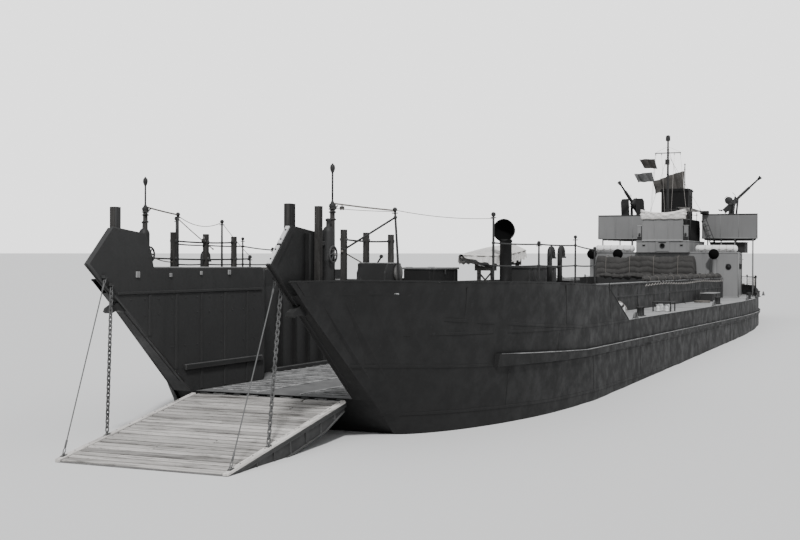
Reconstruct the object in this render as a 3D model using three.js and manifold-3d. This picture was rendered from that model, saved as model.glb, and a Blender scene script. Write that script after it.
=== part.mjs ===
// A tank landing craft of the 31 foot beam class, as a half-size model.
// Millimetres, +X to the bow, +Y to port, +Z up.
// The origin is amidships on the centreline, on the flat bottom.
import * as THREE from 'three';
import { mergeVertices } from 'three/addons/utils/BufferGeometryUtils.js';
import Module from 'manifold-3d';

const wasm = await Module();
wasm.setup();

// Driving dimensions of the half-size model
const lengthOverall = 24375;        // horn tips to stern, 48.75 m on the real craft
const halfBeam = 2360;              // 31 ft beam
const bowX = lengthOverall / 2;
const sternX = -bowX;
const tankDeckZ = 625;              // tank deck above the flat bottom
const sideDeckZ = 1220;
const foreDeckZ = 1690;
const hingeX = 10478;               // ramp hinge
const hingeDrop = 30;               // hinge axis below the tank deck
const sillSetback = 45;             // deck edge behind the hinge axis
const gatewayHalf = 950;            // inner faces of the bow walls
const holdHalf = 1400;              // inner faces of the hold behind them
const hornTipZ = 1970;
const hornTopZ = 2320;
const wallTopZ = { port: 1815, starboard: 1925 };   // inner wall aft of the horn
const bulwarkBowZ = 1815;
const bulwarkEndZ = 1706;
const bulwarkEndX = 6047;           // where the raised side ends
const bulwarkFootX = 4960;          // where its sloping edge meets the side deck
const gap = 0.3;                    // seat clearance between touching pieces

// Ramp
const rampLength = 2285;
const rampHalf = 905;
const rampRestDeg = 10.24;
const pinRadius = 14;

// Superstructure stations and heights
const houseFrontX = -7772;
const houseAftX = -10672;
const houseFrontHalf = 1725;
const houseAftHalf = 1330;
const houseTopZ = 2255;
const wheelFrontX = -7672;
const wheelAftX = -9500;
const wheelHalf = 622;
const wheelTopZ = 2520;
const bridgeHalf = 478;
const bridgeTopZ = 3040;
const platformFrontX = -9142;
const platformAftX = -10642;
const platformFloorZ = 2600;
const platformTopZ = 3185;
const platformInnerY = 640;
const platformFrontY = 1935;
const platformAftY = 1650;
const holdAftX = -7122;
const coamingTopZ = 1685;

// Screws and rudders
const screwY = 900;
const screwX = -10990;
const screwZ = 170;
const rudderX = -11330;
const stockRadius = 22;

const paint = {
  hull: [0x2a2d2f, 0.75, 0.3],
  deck: [0x8d8c85, 0.85, 0.1],
  grey: [0x74787a, 0.7, 0.2],
  white: [0xdedcd4, 0.7, 0.1],
  dark: [0x1d1f20, 0.6, 0.4],
  timber: [0x8c8069, 0.85, 0],
  steel: [0x55585a, 0.5, 0.7],
  bronze: [0x8a6a3a, 0.4, 0.9],
  canvas: [0xcfcabb, 0.9, 0],
  flag: [0x3a2b2b, 0.9, 0],
};

const craft = new THREE.Group();

// Meshes and solids
function solidOf(geometry) {
  const bare = geometry.clone();
  bare.deleteAttribute('normal');
  bare.deleteAttribute('uv');
  const merged = mergeVertices(bare, 1e-3);
  return new wasm.Manifold(new wasm.Mesh({
    numProp: 3,
    vertProperties: new Float32Array(merged.attributes.position.array),
    triVerts: new Uint32Array(merged.index.array),
  }));
}

function geometryOf(solid) {
  const mesh = solid.getMesh();
  const geometry = new THREE.BufferGeometry();
  geometry.setAttribute('position', new THREE.BufferAttribute(mesh.vertProperties, 3));
  geometry.setIndex(new THREE.BufferAttribute(mesh.triVerts, 1));
  return geometry;
}

function join(...solids) {
  return solids.reduce((sum, piece) => sum.add(piece));
}

function cut(solid, ...tools) {
  return tools.reduce((rest, tool) => rest.subtract(tool), solid);
}

function addPiece(name, solid, [color, roughness, metalness]) {
  const material = new THREE.MeshStandardMaterial({ color, roughness, metalness });
  const mesh = new THREE.Mesh(geometryOf(solid), material);
  mesh.name = name;
  craft.add(mesh);
}

// Simple forms
function block(x0, x1, y0, y1, z0, z1) {
  const geometry = new THREE.BoxGeometry(x1 - x0, Math.abs(y1 - y0), z1 - z0);
  geometry.translate((x0 + x1) / 2, (y0 + y1) / 2, (z0 + z1) / 2);
  return solidOf(geometry);
}

function extrude(points, depth, xAxis, yAxis, zAxis, offset) {
  const outline = points.map(([a, b]) => new THREE.Vector2(a, b));
  if (THREE.ShapeUtils.area(outline) < 0) outline.reverse();
  const shape = new THREE.Shape(outline);
  const geometry = new THREE.ExtrudeGeometry(shape, { depth, bevelEnabled: false });
  geometry.applyMatrix4(new THREE.Matrix4().makeBasis(xAxis, yAxis, zAxis));
  geometry.translate(...offset);
  return solidOf(geometry);
}

const unitX = new THREE.Vector3(1, 0, 0);
const unitY = new THREE.Vector3(0, 1, 0);
const unitZ = new THREE.Vector3(0, 0, 1);
const minusY = new THREE.Vector3(0, -1, 0);

// Side view outline [x, z] carried across from y0 to y1
function slabY(points, y0, y1) {
  const [low, high] = [Math.min(y0, y1), Math.max(y0, y1)];
  return extrude(points, high - low, unitX, unitZ, minusY, [0, high, 0]);
}

// Plan outline [x, y] carried up from z0 to z1
function slabZ(points, z0, z1) {
  return extrude(points, z1 - z0, unitX, unitY, unitZ, [0, 0, z0]);
}

// Front view outline [y, z] carried along from x0 to x1
function slabX(points, x0, x1) {
  return extrude(points, x1 - x0, unitY, unitZ, unitX, [x0, 0, 0]);
}

function rod(from, to, radius, sides = 8, endRadius = radius) {
  const a = new THREE.Vector3(...from);
  const b = new THREE.Vector3(...to);
  const along = b.clone().sub(a);
  const geometry = new THREE.CylinderGeometry(endRadius, radius, along.length(), sides);
  const turn = new THREE.Quaternion().setFromUnitVectors(unitY, along.normalize());
  geometry.applyQuaternion(turn);
  geometry.translate((a.x + b.x) / 2, (a.y + b.y) / 2, (a.z + b.z) / 2);
  return solidOf(geometry);
}

// Lathe profile [radius, height] turned about the line from a point along an axis
function turned(profile, origin, axis, sides) {
  const points = profile.map(([r, h]) => new THREE.Vector2(r, h));
  const geometry = new THREE.LatheGeometry(points, sides);
  geometry.applyQuaternion(new THREE.Quaternion().setFromUnitVectors(unitY, axis.clone().normalize()));
  geometry.translate(...origin);
  return solidOf(geometry);
}

// Hull form
function lerp(a, b, t) {
  return a + (b - a) * Math.min(1, Math.max(0, t));
}

const stemRake = (bowX - hingeX) / (hornTipZ - tankDeckZ);

function stemX(z) {
  if (z > tankDeckZ) return hingeX + (z - tankDeckZ) * stemRake;
  return hingeX - sillSetback - (tankDeckZ - z);
}

function kneeX(z) {
  const knee = hingeX - 171 + (z - tankDeckZ) * 0.58;
  return Math.min(knee, stemX(z));
}

function frontHalf(z) {
  return lerp(1225, 1075, (z - 219) / 1180);
}

function bezier(p, q, r, s, count) {
  const curve = new THREE.CubicBezierCurve(
    new THREE.Vector2(...p), new THREE.Vector2(...q), new THREE.Vector2(...r), new THREE.Vector2(...s));
  return curve.getPoints(count).map((v) => [v.x, v.y]);
}

const taperX = -3522;               // where the sides start to draw in to the stern

// Half plan of the hull at a height, from the stem round to the stern on the centreline
function halfPlan(z, inset = 0) {
  const knee = kneeX(z);
  const front = frontHalf(z);
  const bow = bezier([stemX(z), front], [knee, front + lerp(225, 75, (z - 219) / 1180)],
    [knee - 900, 2250], [knee - 3575, halfBeam], 10);
  const stern = bezier([taperX, halfBeam], [-8022, halfBeam], [sternX, 1850], [sternX, 0], 12);
  const scale = 1 - inset / halfBeam;
  const shrink = 1 - inset / bowX;
  return [...bow, ...stern].map(([x, y]) => [x * shrink, y * scale]);
}

function planRing(z, inset = 0) {
  const half = halfPlan(z, inset);
  const mirrored = half.slice(0, -1).reverse().map(([x, y]) => [x, -y]);
  return [...half, ...mirrored].map(([x, y]) => [x, y, z]);
}

// Closed solid through rings of equal count, lowest first, counter-clockwise from above
function loft(rings) {
  const count = rings[0].length;
  const positions = rings.flat(2);
  const index = [];
  for (let level = 0; level < rings.length - 1; level += 1) {
    for (let i = 0; i < count; i += 1) {
      const j = (i + 1) % count;
      const [a, b] = [level * count + i, level * count + j];
      const [c, d] = [a + count, b + count];
      index.push(a, b, d, a, d, c);
    }
  }
  const cap = (ring) => THREE.ShapeUtils.triangulateShape(ring.map(([x, y]) => new THREE.Vector2(x, y)), []);
  for (const [i, j, k] of cap(rings[0])) index.push(i, k, j);
  const top = (rings.length - 1) * count;
  for (const [i, j, k] of cap(rings[rings.length - 1])) index.push(top + i, top + j, top + k);
  const geometry = new THREE.BufferGeometry();
  geometry.setAttribute('position', new THREE.BufferAttribute(new Float32Array(positions), 3));
  geometry.setIndex(index);
  return solidOf(geometry);
}

// Bottom: flat, rounded at the bilge, cut up at the stern over the screws
function hullBottom() {
  const body = loft([planRing(0, 130), planRing(50, 45), planRing(180), planRing(tankDeckZ)]);
  const cutUp = slabY([[-8600, -50], [-11400, 430], [-12400, 520], [-12400, -50]], -2500, 2500);
  const lugs = hingeStations.map((y) => hullLug(y));
  const stockBores = [-1, 1].map((side) => rod([rudderX, side * screwY, 300], [rudderX, side * screwY, 500],
    stockRadius + 0.6, 16));
  return join(cut(body, cutUp, ...stockBores), ...lugs);
}

const hingeStations = [-800, -400, 0, 400, 800];
const hingeZ = tankDeckZ - hingeDrop;

function hullLug(y) {
  const side = [[hingeX - 90, hingeZ - 55], [hingeX - 90, tankDeckZ - 4], [hingeX - 20, tankDeckZ - 4],
    [hingeX + 20, hingeZ + 12], [hingeX + 20, hingeZ - 14], [hingeX + 2, hingeZ - 24]];
  const bore = rod([hingeX, y - 60, hingeZ], [hingeX, y + 60, hingeZ], pinRadius + gap, 16);
  return cut(slabY(side, y - 40, y + 40), bore);
}

// Wing tanks, one each side of the gateway and the hold, decked over
function innerPlan(side) {
  // [x, half-width] of the gateway and the hold, open at the bow
  return [[13500, gatewayHalf], [9000, gatewayHalf], [8200, holdHalf], [holdAftX, holdHalf]]
    .map(([x, y]) => [x, y * side]);
}

function wellPlan() {
  return [...innerPlan(1), ...innerPlan(-1).reverse()];
}

function wingTank(side) {
  const low = tankDeckZ + gap;
  const body = loft([planRing(low), planRing(foreDeckZ)]);
  const well = slabZ(wellPlan(), low - 10, foreDeckZ + 10);
  const otherSide = block(-13000, 14000, side > 0 ? -3000 : -10, side > 0 ? 10 : 3000, 0, 3000);
  const aftPart = block(-13000, holdAftX, -3000, 3000, 0, 3000);
  const lowDeck = block(-13000, bulwarkEndX, -3000, 3000, sideDeckZ, 3000);
  return join(cut(body, well, otherSide, aftPart, lowDeck), hatchCoaming(hatchX, side * hatchY, foreDeckZ, hatchHalf),
    stemHook(side));
}

// Hook standing out from the stem
function stemHook(side) {
  const outline = [[11600, 1560], [11650, 1605], [11720, 1600], [11850, 1545], [11870, 1510], [11835, 1495],
    [11740, 1520], [11620, 1500]];
  return slabY(outline, side * (gatewayHalf + 15), side * (gatewayHalf + 90));
}

function aftHull() {
  const low = tankDeckZ + gap;
  const body = loft([planRing(low), planRing(sideDeckZ)]);
  const coamingAft = block(holdAftX - 35 - gap, holdAftX - gap, -holdHalf, holdHalf, sideDeckZ - 5, 1675);
  const cowls = [1205, -1030, -1660].map((y) => cowl(houseFrontX + 150, y, sideDeckZ - 5, 1000, 112));
  return join(cut(body, block(holdAftX - gap, 14000, -3000, 3000, 0, 3000)), coamingAft, ...cowls, sternPlate());
}

// Low plate on the deck edge round the stern, rising as it goes aft
function sternPlate() {
  const outer = loft([planRing(sideDeckZ - 5), planRing(1480)]);
  const inner = loft([planRing(sideDeckZ - 20, 26), planRing(1490, 26)]);
  const keep = slabY([[-7200, sideDeckZ - 5], [-7200, 1258], [-10500, 1455], [-12300, 1465],
    [-12300, sideDeckZ - 5]], -3000, 3000);
  return outer.subtract(inner).intersect(keep);
}

// Cover of the hold, stowed in a bundle across its after end
function stowedCover() {
  const low = sideDeckZ + gap;
  const outline = [[-1490, low], [820, low], [840, 1900], [815, 2120], [770, 2172], [-1440, 2184], [-1490, 2130],
    [-1510, 1900]];
  return slabX(outline, -7555, -7190);
}

// Outer bulwark plate on the raised part, ending in a long slope to the side deck
const plateThickness = 30;

function bulwark(side) {
  const low = foreDeckZ + gap;
  const outer = loft([planRing(sideDeckZ + gap), planRing(2000)]);
  const inner = loft([planRing(sideDeckZ - 5, 0), planRing(2010, 0)].map((ring) => ring.map(([x, y, z]) =>
    [x - 60, y * (1 - plateThickness / halfBeam * 1.3), z])));
  const keep = slabY([[stemX(low) - 90, low], [bulwarkEndX - gap, low], [bulwarkEndX - gap, sideDeckZ + gap],
    [bulwarkFootX, sideDeckZ + gap], [bulwarkFootX, sideDeckZ + 15], [bulwarkEndX, bulwarkEndZ], [8283, 1775],
    [10103, 1800], [11010, bulwarkBowZ], [stemX(bulwarkBowZ) - 90, bulwarkBowZ]], 0, side * 3000);
  return outer.intersect(keep).subtract(inner);
}

// Bow wall: the gateway's inner wall above the fore deck, rising to the horn, with its stem flange and a post
const hornPostTopZ = 2525;

function bowWall(side) {
  const low = foreDeckZ + gap;
  const x = (xRel) => hingeX + xRel;
  const top = side > 0 ? wallTopZ.port : wallTopZ.starboard;
  const outline = [[9000, low], [stemX(low), low], [bowX, hornTipZ], [x(1354), hornTopZ], [x(823), 2265],
    [x(750), 2145], [x(685), top + 5], [9000, top]];
  const plate = slabY(outline, side * gatewayHalf, side * (gatewayHalf + 45));
  const flangeRun = [[stemX(low), low], [bowX, hornTipZ], [x(1354), hornTopZ], [x(1320), hornTopZ - 35],
    [bowX - 75, hornTipZ - 15], [stemX(low) - 75, low]];
  const flange = slabY(flangeRun, side * gatewayHalf, side * (gatewayHalf + 62));
  const brackets = [chainBracket, wireBracket].map(([bx, bz]) => block(bx - 30, bx + 30,
    side * (gatewayHalf + 5), side * (gatewayHalf - 39), bz - bracketHalf, bz + bracketHalf));
  const post = side > 0
    ? block(x(1200), x(1270), gatewayHalf - 70, gatewayHalf + 10, 1900, hornPostTopZ)
    : block(x(1185), x(1255), -(gatewayHalf + 35), -(gatewayHalf + 115), low, hornPostTopZ);
  return join(plate, flange, ...brackets, post);
}

// Coaming along the hold above the side deck
function coaming(side) {
  const strip = (x0, width) => [[-7100, holdHalf], [x0, holdHalf], [x0, holdHalf + width], [-7100, holdHalf + width]]
    .map(([x, y]) => [x, y * side]);
  const stepX = bulwarkEndX - 63;
  const fore = [[stepX, holdHalf], [8200, holdHalf], [8990, gatewayHalf + 5], [8990, gatewayHalf + 45],
    [8220, holdHalf + 35], [stepX, holdHalf + 35]].map(([x, y]) => [x, y * side]);
  const foreTop = side > 0 ? 1750 : 1900;
  const wall = slabZ(strip(bulwarkEndX - 2 * gap, 35), sideDeckZ + gap, coamingTopZ - 5);
  const lip = slabZ(strip(bulwarkEndX - 50, 90), coamingTopZ - 25, coamingTopZ);
  const step = block(stepX, bulwarkEndX - 2 * gap, side * holdHalf, side * (holdHalf + 35), coamingTopZ - 60, foreTop);
  return join(wall, slabZ(fore, foreDeckZ + gap, foreTop), lip, step);
}

// Rubbing strake that follows the side, square-cut at its forward end
function strake(side) {
  const rings = [planRing(tankDeckZ + gap), planRing(foreDeckZ)];
  const grown = (dx, dy) => loft(rings.map((ring) => ring.map(([x, y, z]) =>
    [x + Math.sign(x) * dx, y * (1 + dy / halfBeam), z])));
  const outer = grown(40, 45);
  const inner = grown(gap, 2 * gap);
  const keep = slabY([[9190, 900], [9190, 1035], [7040, 965], [-12300, 925], [-12300, 880 + 0.5],
    [7000, 880 + 0.5]], side * 5, side * 3000);
  return outer.intersect(keep).subtract(inner);
}

// Chain and wire brackets on the bow walls [x, z], and how far along the ramp they reach
const chainBracket = [hingeX + 1405, 1775];
const wireBracket = [hingeX + 1500, 1850];
const chainAlong = 1550;
const wireAlong = 2190;
const eyeTop = 50;
const bracketHalf = 13;

// Ramp, modelled flat along +X from its hinge and then laid at its rest slope
function rampSolid() {
  const plankCount = 24;
  const plankPitch = (rampLength - 45) / plankCount;
  const deck = block(42, rampLength, -rampHalf, rampHalf, -30, 18);
  const planks = [];
  for (let i = 0; i < plankCount; i += 1) {
    const start = 45 + i * plankPitch;
    planks.push(block(start + 4, start + plankPitch - 4, -rampHalf + 60, rampHalf - 60, 10, 30));
  }
  const kerbs = [-1, 1].map((side) => block(60, rampLength, side * (rampHalf - 55), side * rampHalf, 10, 38));
  const girderSide = [[60, -25], [90, -70], [500, -150], [1300, -165], [2000, -120], [rampLength - 10, -40],
    [rampLength - 10, -25]];
  const girders = [-880, -300, 300, 880].map((y) => slabY(girderSide, y - 25, y + 25));
  const lugs = [-600, -200, 200, 600].map((y) => {
    const lug = slabY([[-24, -24], [-24, 18], [0, 26], [60, 18], [60, -28], [0, -28]], y - 70, y + 70);
    return cut(lug, rod([0, y - 90, 0], [0, y + 90, 0], pinRadius + 0.6, 16));
  });
  const eyes = [chainAlong, wireAlong].flatMap((along) => [-1, 1].map((side) =>
    block(along - 25, along + 25, side * (rampHalf - 50), side * (rampHalf - 4), 30, eyeTop)));
  return join(deck, ...planks, ...kerbs, ...girders, ...lugs, ...eyes);
}

function laidRamp() {
  return rampSolid().rotate([0, rampRestDeg, 0]).translate([hingeX, 0, hingeZ]);
}

function rampPin() {
  return rod([hingeX, -870, hingeZ], [hingeX, 870, hingeZ], pinRadius, 16);
}

// Point on the ramp's upper face, at a distance from the hinge
function rampPoint(along, y, above) {
  const slope = THREE.MathUtils.degToRad(rampRestDeg);
  return [hingeX + along * Math.cos(slope) + above * Math.sin(slope), y,
    hingeZ - along * Math.sin(slope) + above * Math.cos(slope)];
}

// Chain and wire, each from a bracket on the bow wall to an eye on the ramp's kerb
function rampStay(side, bracket, along, radius) {
  const [x, z] = bracket;
  const [topY, footY] = [side * (gatewayHalf - 22), side * (rampHalf - 27)];
  const run = new THREE.Vector3(...rampPoint(along, footY, eyeTop)).sub(new THREE.Vector3(x, topY, z)).normalize();
  const slope = THREE.MathUtils.degToRad(rampRestDeg);
  const normal = new THREE.Vector3(Math.sin(slope), 0, Math.cos(slope));
  const lift = (cosine) => gap + radius * Math.sqrt(1 - cosine * cosine);
  const top = [x, topY, z - bracketHalf - lift(run.z)];
  const foot = rampPoint(along, footY, eyeTop + lift(run.dot(normal)));
  return rod(top, foot, radius, 8);
}

// Deckhouse under the bridge and the gun platforms, hollow, with two doors in its after wall
const wall = 22;
const doorHeight = 880;
const doorWidth = 340;
const doorY = 820;

function housePlan(inset) {
  return [[houseFrontX - inset, houseFrontHalf - inset], [houseAftX + inset, houseAftHalf - inset],
    [houseAftX + inset, -houseAftHalf + inset], [houseFrontX - inset, -houseFrontHalf + inset]];
}

function deckhouse() {
  const low = sideDeckZ + gap;
  const shell = slabZ(housePlan(0), low, houseTopZ);
  const room = slabZ(housePlan(wall), low + wall, houseTopZ - wall);
  const doorways = [-1, 1].map((side) => block(houseAftX - 20, houseAftX + 60,
    side * doorY - doorWidth / 2, side * doorY + doorWidth / 2, low + 70, low + 70 + doorHeight));
  const stairwell = block(wheelAftX + 150, wheelFrontX - 250, -300, 300, houseTopZ - 60, houseTopZ + 20);
  return join(cut(shell, room, ...doorways, stairwell), ...[-1, 1].flatMap(doorPins));
}

// Hinge pins of a house door, each between two brackets on the wall
const doorHingeX = houseAftX - 30;
const doorHingeY = doorY + doorWidth / 2 + 22;
const doorHingeHeights = [1450, 1950];

function doorPins(side) {
  const y = side * doorHingeY;
  return doorHingeHeights.flatMap((z) => [
    rod([doorHingeX, y, z + 5], [doorHingeX, y, z + 125], 8, 12),
    block(doorHingeX - 10, houseAftX + 5, y - 9, y + 9, z, z + 18),
    block(doorHingeX - 10, houseAftX + 5, y - 9, y + 9, z + 112, z + 130)]);
}

function houseDoor(side) {
  const low = sideDeckZ + gap + 70 + 6;
  const y = side * doorY;
  const [innerEdge, outerEdge] = [doorY - doorWidth / 2 - 18, doorY + doorWidth / 2 + 6];
  const leaf = block(houseAftX - 22, houseAftX - 6, side * innerEdge, side * outerEdge, low - 24,
    low + doorHeight + 12);
  const panel = block(houseAftX - 12, houseAftX + 12, y - doorWidth / 2 + 6, y + doorWidth / 2 - 6, low,
    low + doorHeight - 12);
  const knuckles = doorHingeHeights.map((z) => join(
    rod([doorHingeX, side * doorHingeY, z + 24], [doorHingeX, side * doorHingeY, z + 106], 15, 12),
    block(doorHingeX + 6, houseAftX - 8, side * (doorHingeY - 30), side * doorHingeY, z + 24, z + 106)));
  const pinBore = rod([doorHingeX, side * doorHingeY, low - 60], [doorHingeX, side * doorHingeY, low + doorHeight],
    8.6, 12);
  return cut(join(leaf, panel, ...knuckles), pinBore);
}

// Wheelhouse with a round centre port and narrow side windows, standing on the house
function wheelhouse() {
  const low = houseTopZ + gap;
  const shell = block(wheelAftX, wheelFrontX, -wheelHalf, wheelHalf, low, wheelTopZ);
  const room = block(wheelAftX + wall, wheelFrontX - wall, -wheelHalf + wall, wheelHalf - wall, low - 20,
    wheelTopZ - wall);
  const port = rod([wheelFrontX - 80, 0, 2410], [wheelFrontX + 80, 0, 2410], 42, 16);
  const slits = [-1, 1].map((side) => block(wheelFrontX - 80, wheelFrontX + 80, side * 440 - 32, side * 440 + 32,
    2400, 2435));
  const panel = block(wheelFrontX - 5, wheelFrontX + 14, -150, 150, low + 30, wheelTopZ - 6);
  const doorway = block(wheelAftX - 50, wheelAftX + 60, -260, 80, low - 20, wheelTopZ - 30);
  const lampBoxes = [-1, 1].map((side) => block(wheelFrontX - 90, wheelFrontX - 10, side * 492, side * 585,
    wheelTopZ - 5, 2875));
  return cut(join(shell, panel, ...lampBoxes), room, port, ...slits, doorway);
}

// Open bridge above: floor and screen
function bridge() {
  const low = wheelTopZ + gap;
  const [front, aft] = [wheelFrontX + 20, wheelAftX - 60];
  const box = block(aft, front, -bridgeHalf, bridgeHalf, low, bridgeTopZ);
  const room = block(aft - 50, front - 18, -bridgeHalf + 18, bridgeHalf - 18, low + 20, bridgeTopZ + 50);
  return cut(box, room);
}

// Gun platform: floor, bulwark round it, posts down to the house roof or the side deck
function platformPlan(side, inset) {
  return [[platformFrontX - inset, platformInnerY + inset], [platformFrontX - inset, platformFrontY - inset],
    [platformAftX + inset, platformAftY - inset], [platformAftX + inset, platformInnerY + inset]]
    .map(([x, y]) => [x, y * side]);
}

function gunPlatform(side) {
  const tub = slabZ(platformPlan(side, 0), platformFloorZ, platformTopZ);
  const room = slabZ(platformPlan(side, 18), platformFloorZ + 25, platformTopZ + 50);
  const posts = [[platformFrontX - 60, 760], [platformFrontX - 60, 1080], [platformFrontX - 60, 1400],
    [-10000, 760], [-10000, 1300]]
    .map(([x, y]) => rod([x, side * y, houseTopZ + gap], [x, side * y, platformFloorZ + 10], 16, 8));
  const longPost = rod([platformFrontX - 30, side * 1830, sideDeckZ + gap],
    [platformFrontX - 30, side * 1830, platformFloorZ + 10], 18, 8);
  return join(cut(tub, room), ...posts, longPost, gunBase(side));
}

// Guns: a pedestal head with a shield turns on a base, and the barrel tips in it
const gunX = -9872;
const gunY = 1200;
const gunAxisZ = 3440;
const baseTopZ = 3000;

function gunBase(side) {
  const floor = platformFloorZ + 20;
  return turned([[0, 0], [170, 0], [170, 20], [110, 60], [80, baseTopZ - floor], [0, baseTopZ - floor]],
    [gunX, side * gunY, floor], unitZ, 12);
}

function gunHead(side, heading) {
  const ring = turned([[0, 0], [105, 0], [105, 40], [60, 80], [0, 80]], [0, 0, baseTopZ + gap], unitZ, 12);
  const column = block(-45, 45, -95, 95, baseTopZ + 70, baseTopZ + 160);
  const cheeks = [-1, 1].map((s) => {
    const cheek = slabY([[-60, baseTopZ + 100], [60, baseTopZ + 100], [40, gunAxisZ + 40], [-40, gunAxisZ + 40]],
      s * 70, s * 95);
    return cut(cheek, rod([0, s * 60, gunAxisZ], [0, s * 110, gunAxisZ], 18.6, 16));
  });
  const shields = [-1, 1].map((s) => slabY([[70, baseTopZ + 110], [90, baseTopZ + 110], [140, gunAxisZ + 190],
    [120, gunAxisZ + 190]], s * 94, s * 330));
  const arms = [-1, 1].map((s) => block(30, 100, s * 90, s * 110, baseTopZ + 120, baseTopZ + 200));
  return join(ring, column, ...cheeks, ...shields, ...arms)
    .rotate([0, 0, heading]).translate([gunX, side * gunY, 0]);
}

function gunBarrel(side, heading, elevation) {
  const breech = block(-230, 190, -48, 48, -60, 60);
  const trunnion = rod([0, -94, 0], [0, 94, 0], 18, 16);
  const barrel = rod([180, 0, 10], [880, 0, 10], 38, 10, 22);
  const muzzle = rod([870, 0, 10], [970, 0, 10], 24, 10, 48);
  const magazine = turned([[0, -40], [95, -40], [95, 40], [0, 40]], [30, 0, 118], unitY, 12);
  return join(breech, trunnion, barrel, muzzle, magazine).rotate([0, -elevation, 0]).rotate([0, 0, heading])
    .translate([gunX, side * gunY, gunAxisZ]);
}

// Funnel, mast, staff and flags
const funnelY = -150;
const staffX = -10450;
const staffY = -55;

function funnel() {
  const [front, aft, half, top] = [-9680, -10230, 335, 3858];
  const casing = block(aft, front, -half, half, houseTopZ + gap, top);
  const lip = block(aft - 20, front + 20, -half - 20, half + 20, top - 70, top - 30);
  const mouth = block(aft + 60, front - 60, -half + 60, half - 60, top - 500, top + 20);
  return cut(join(casing, lip), mouth).translate([0, funnelY, 0]);
}

const mastX = -8222;

function mast() {
  const foot = wheelTopZ + 20 + 2 * gap;
  const pole = rod([mastX, 0, foot], [mastX, 0, 4960], 34, 10, 22);
  const yard = rod([mastX, -310, 4620], [mastX, 310, 4620], 12, 8);
  const lantern = turned([[0, 0], [40, 0], [52, 20], [52, 90], [30, 120], [0, 120]], [mastX, 0, 4900], unitZ, 10);
  const lower = block(mastX + 15, mastX + 110, -45, 45, 4340, 4460);
  return join(pole, yard, lantern, lower);
}

function ensignStaff() {
  return rod([staffX, staffY, houseTopZ + gap], [staffX, staffY, 4500], 16, 8, 11);
}

// Two signal flags on a halyard from the yard's starboard arm to the gun platform
function signalHoist() {
  const top = [mastX, -300, 4604];
  const foot = [platformFrontX - 60, -platformInnerY - 9, platformTopZ + 4.2];
  const line = rod(top, foot, 6, 6);
  const at = (z) => {
    const t = (top[2] - z) / (top[2] - foot[2]);
    return [lerp(top[0], foot[0], t), lerp(top[1], foot[1], t)];
  };
  const flag = (z0, z1, width) => {
    const [x, y] = at((z0 + z1) / 2);
    return block(x - 4, x + 4, y - width, y + 3, z0, z1);
  };
  return join(line, flag(4270, 4490, 330), flag(3990, 4190, 330));
}

// Canvas dodger across the front of the bridge screen, turned back a little at its ends
function dodger() {
  const [front, aft] = [wheelFrontX + 48, wheelFrontX - 170];
  const outer = block(aft, front, -bridgeHalf - 26, bridgeHalf + 26, bridgeTopZ + gap, bridgeTopZ + 230);
  const inner = block(aft - 60, front - 55, -bridgeHalf + 22, bridgeHalf - 22, bridgeTopZ - 50, bridgeTopZ + 300);
  return cut(outer, inner);
}

// White float, long and flat with rounded ends, lying on the front of the house roof
function float(side) {
  const [x, radius, z] = [houseFrontX - 150, 85, houseTopZ + gap];
  const [y0, y1] = [wheelHalf + 90, houseFrontHalf - 40];
  const outline = [];
  for (let i = 0; i < 12; i += 1) {
    const angle = (i + 0.5) * Math.PI / 6;
    outline.push([x + radius * Math.cos(angle) * 1.2, z + radius * (1 + Math.sin(angle) / Math.cos(Math.PI / 12))]);
  }
  return slabY(outline, side * y0, side * y1);
}

// Cowl ventilators: a trunk that turns over into a round mouth facing forward
function cowl(x, y, base, height, radius) {
  const elbowZ = base + height;
  const trunk = rod([x, y, base], [x, y, elbowZ], radius * 0.5, 12);
  const bell = turned([[0, -radius * 0.75], [radius * 0.55, -radius * 0.6], [radius * 0.85, 0],
    [radius, radius * 0.55], [radius * 0.86, radius * 0.55], [radius * 0.6, -radius * 0.1], [0, -radius * 0.15]],
  [x, y, elbowZ], unitX, 14);
  return join(trunk, bell);
}

// Posts and rails: [x, y, foot, top, radius]
function postRail(posts, railRadius, railDrops) {
  const parts = posts.map(([x, y, foot, top, radius]) => rod([x, y, foot + gap], [x, y, top], radius, 8));
  for (let i = 0; i < posts.length - 1; i += 1) {
    for (const drop of railDrops) {
      const [a, b] = [posts[i], posts[i + 1]];
      const z = (post) => Math.min(post[3] - 12, drop);
      parts.push(rod([a[0], a[1], z(a)], [b[0], b[1], z(b)], railRadius, 6));
    }
  }
  return join(...parts);
}

// Square timbers [x, top], thin stanchions [foot x, y, top x, top] and pipe rails [x0, x1, z] by the gateway
const postY = gatewayHalf + 120;
const timberHalf = 30;
const postRows = {
  port: {
    timbers: [[10920, 2310], [10426, 2292], [9837, 2285]],
    stanchions: [[10562, 1500, 10682, 2500]],
    rails: [[9837, 10920, 2215]],
  },
  starboard: {
    timbers: [[10647, 2306], [10028, 2299], [9451, 2283]],
    stanchions: [[10565, -postY, 10565, 2490], [9704, -postY, 9704, 2440], [9100, -postY, 9100, 2050]],
    rails: [[9451, 10647, 2215], [9100, 11060, 2032]],
  },
};

function timber(x, y, top) {
  return block(x - timberHalf, x + timberHalf, y - timberHalf, y + timberHalf, foreDeckZ + gap, top);
}

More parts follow.
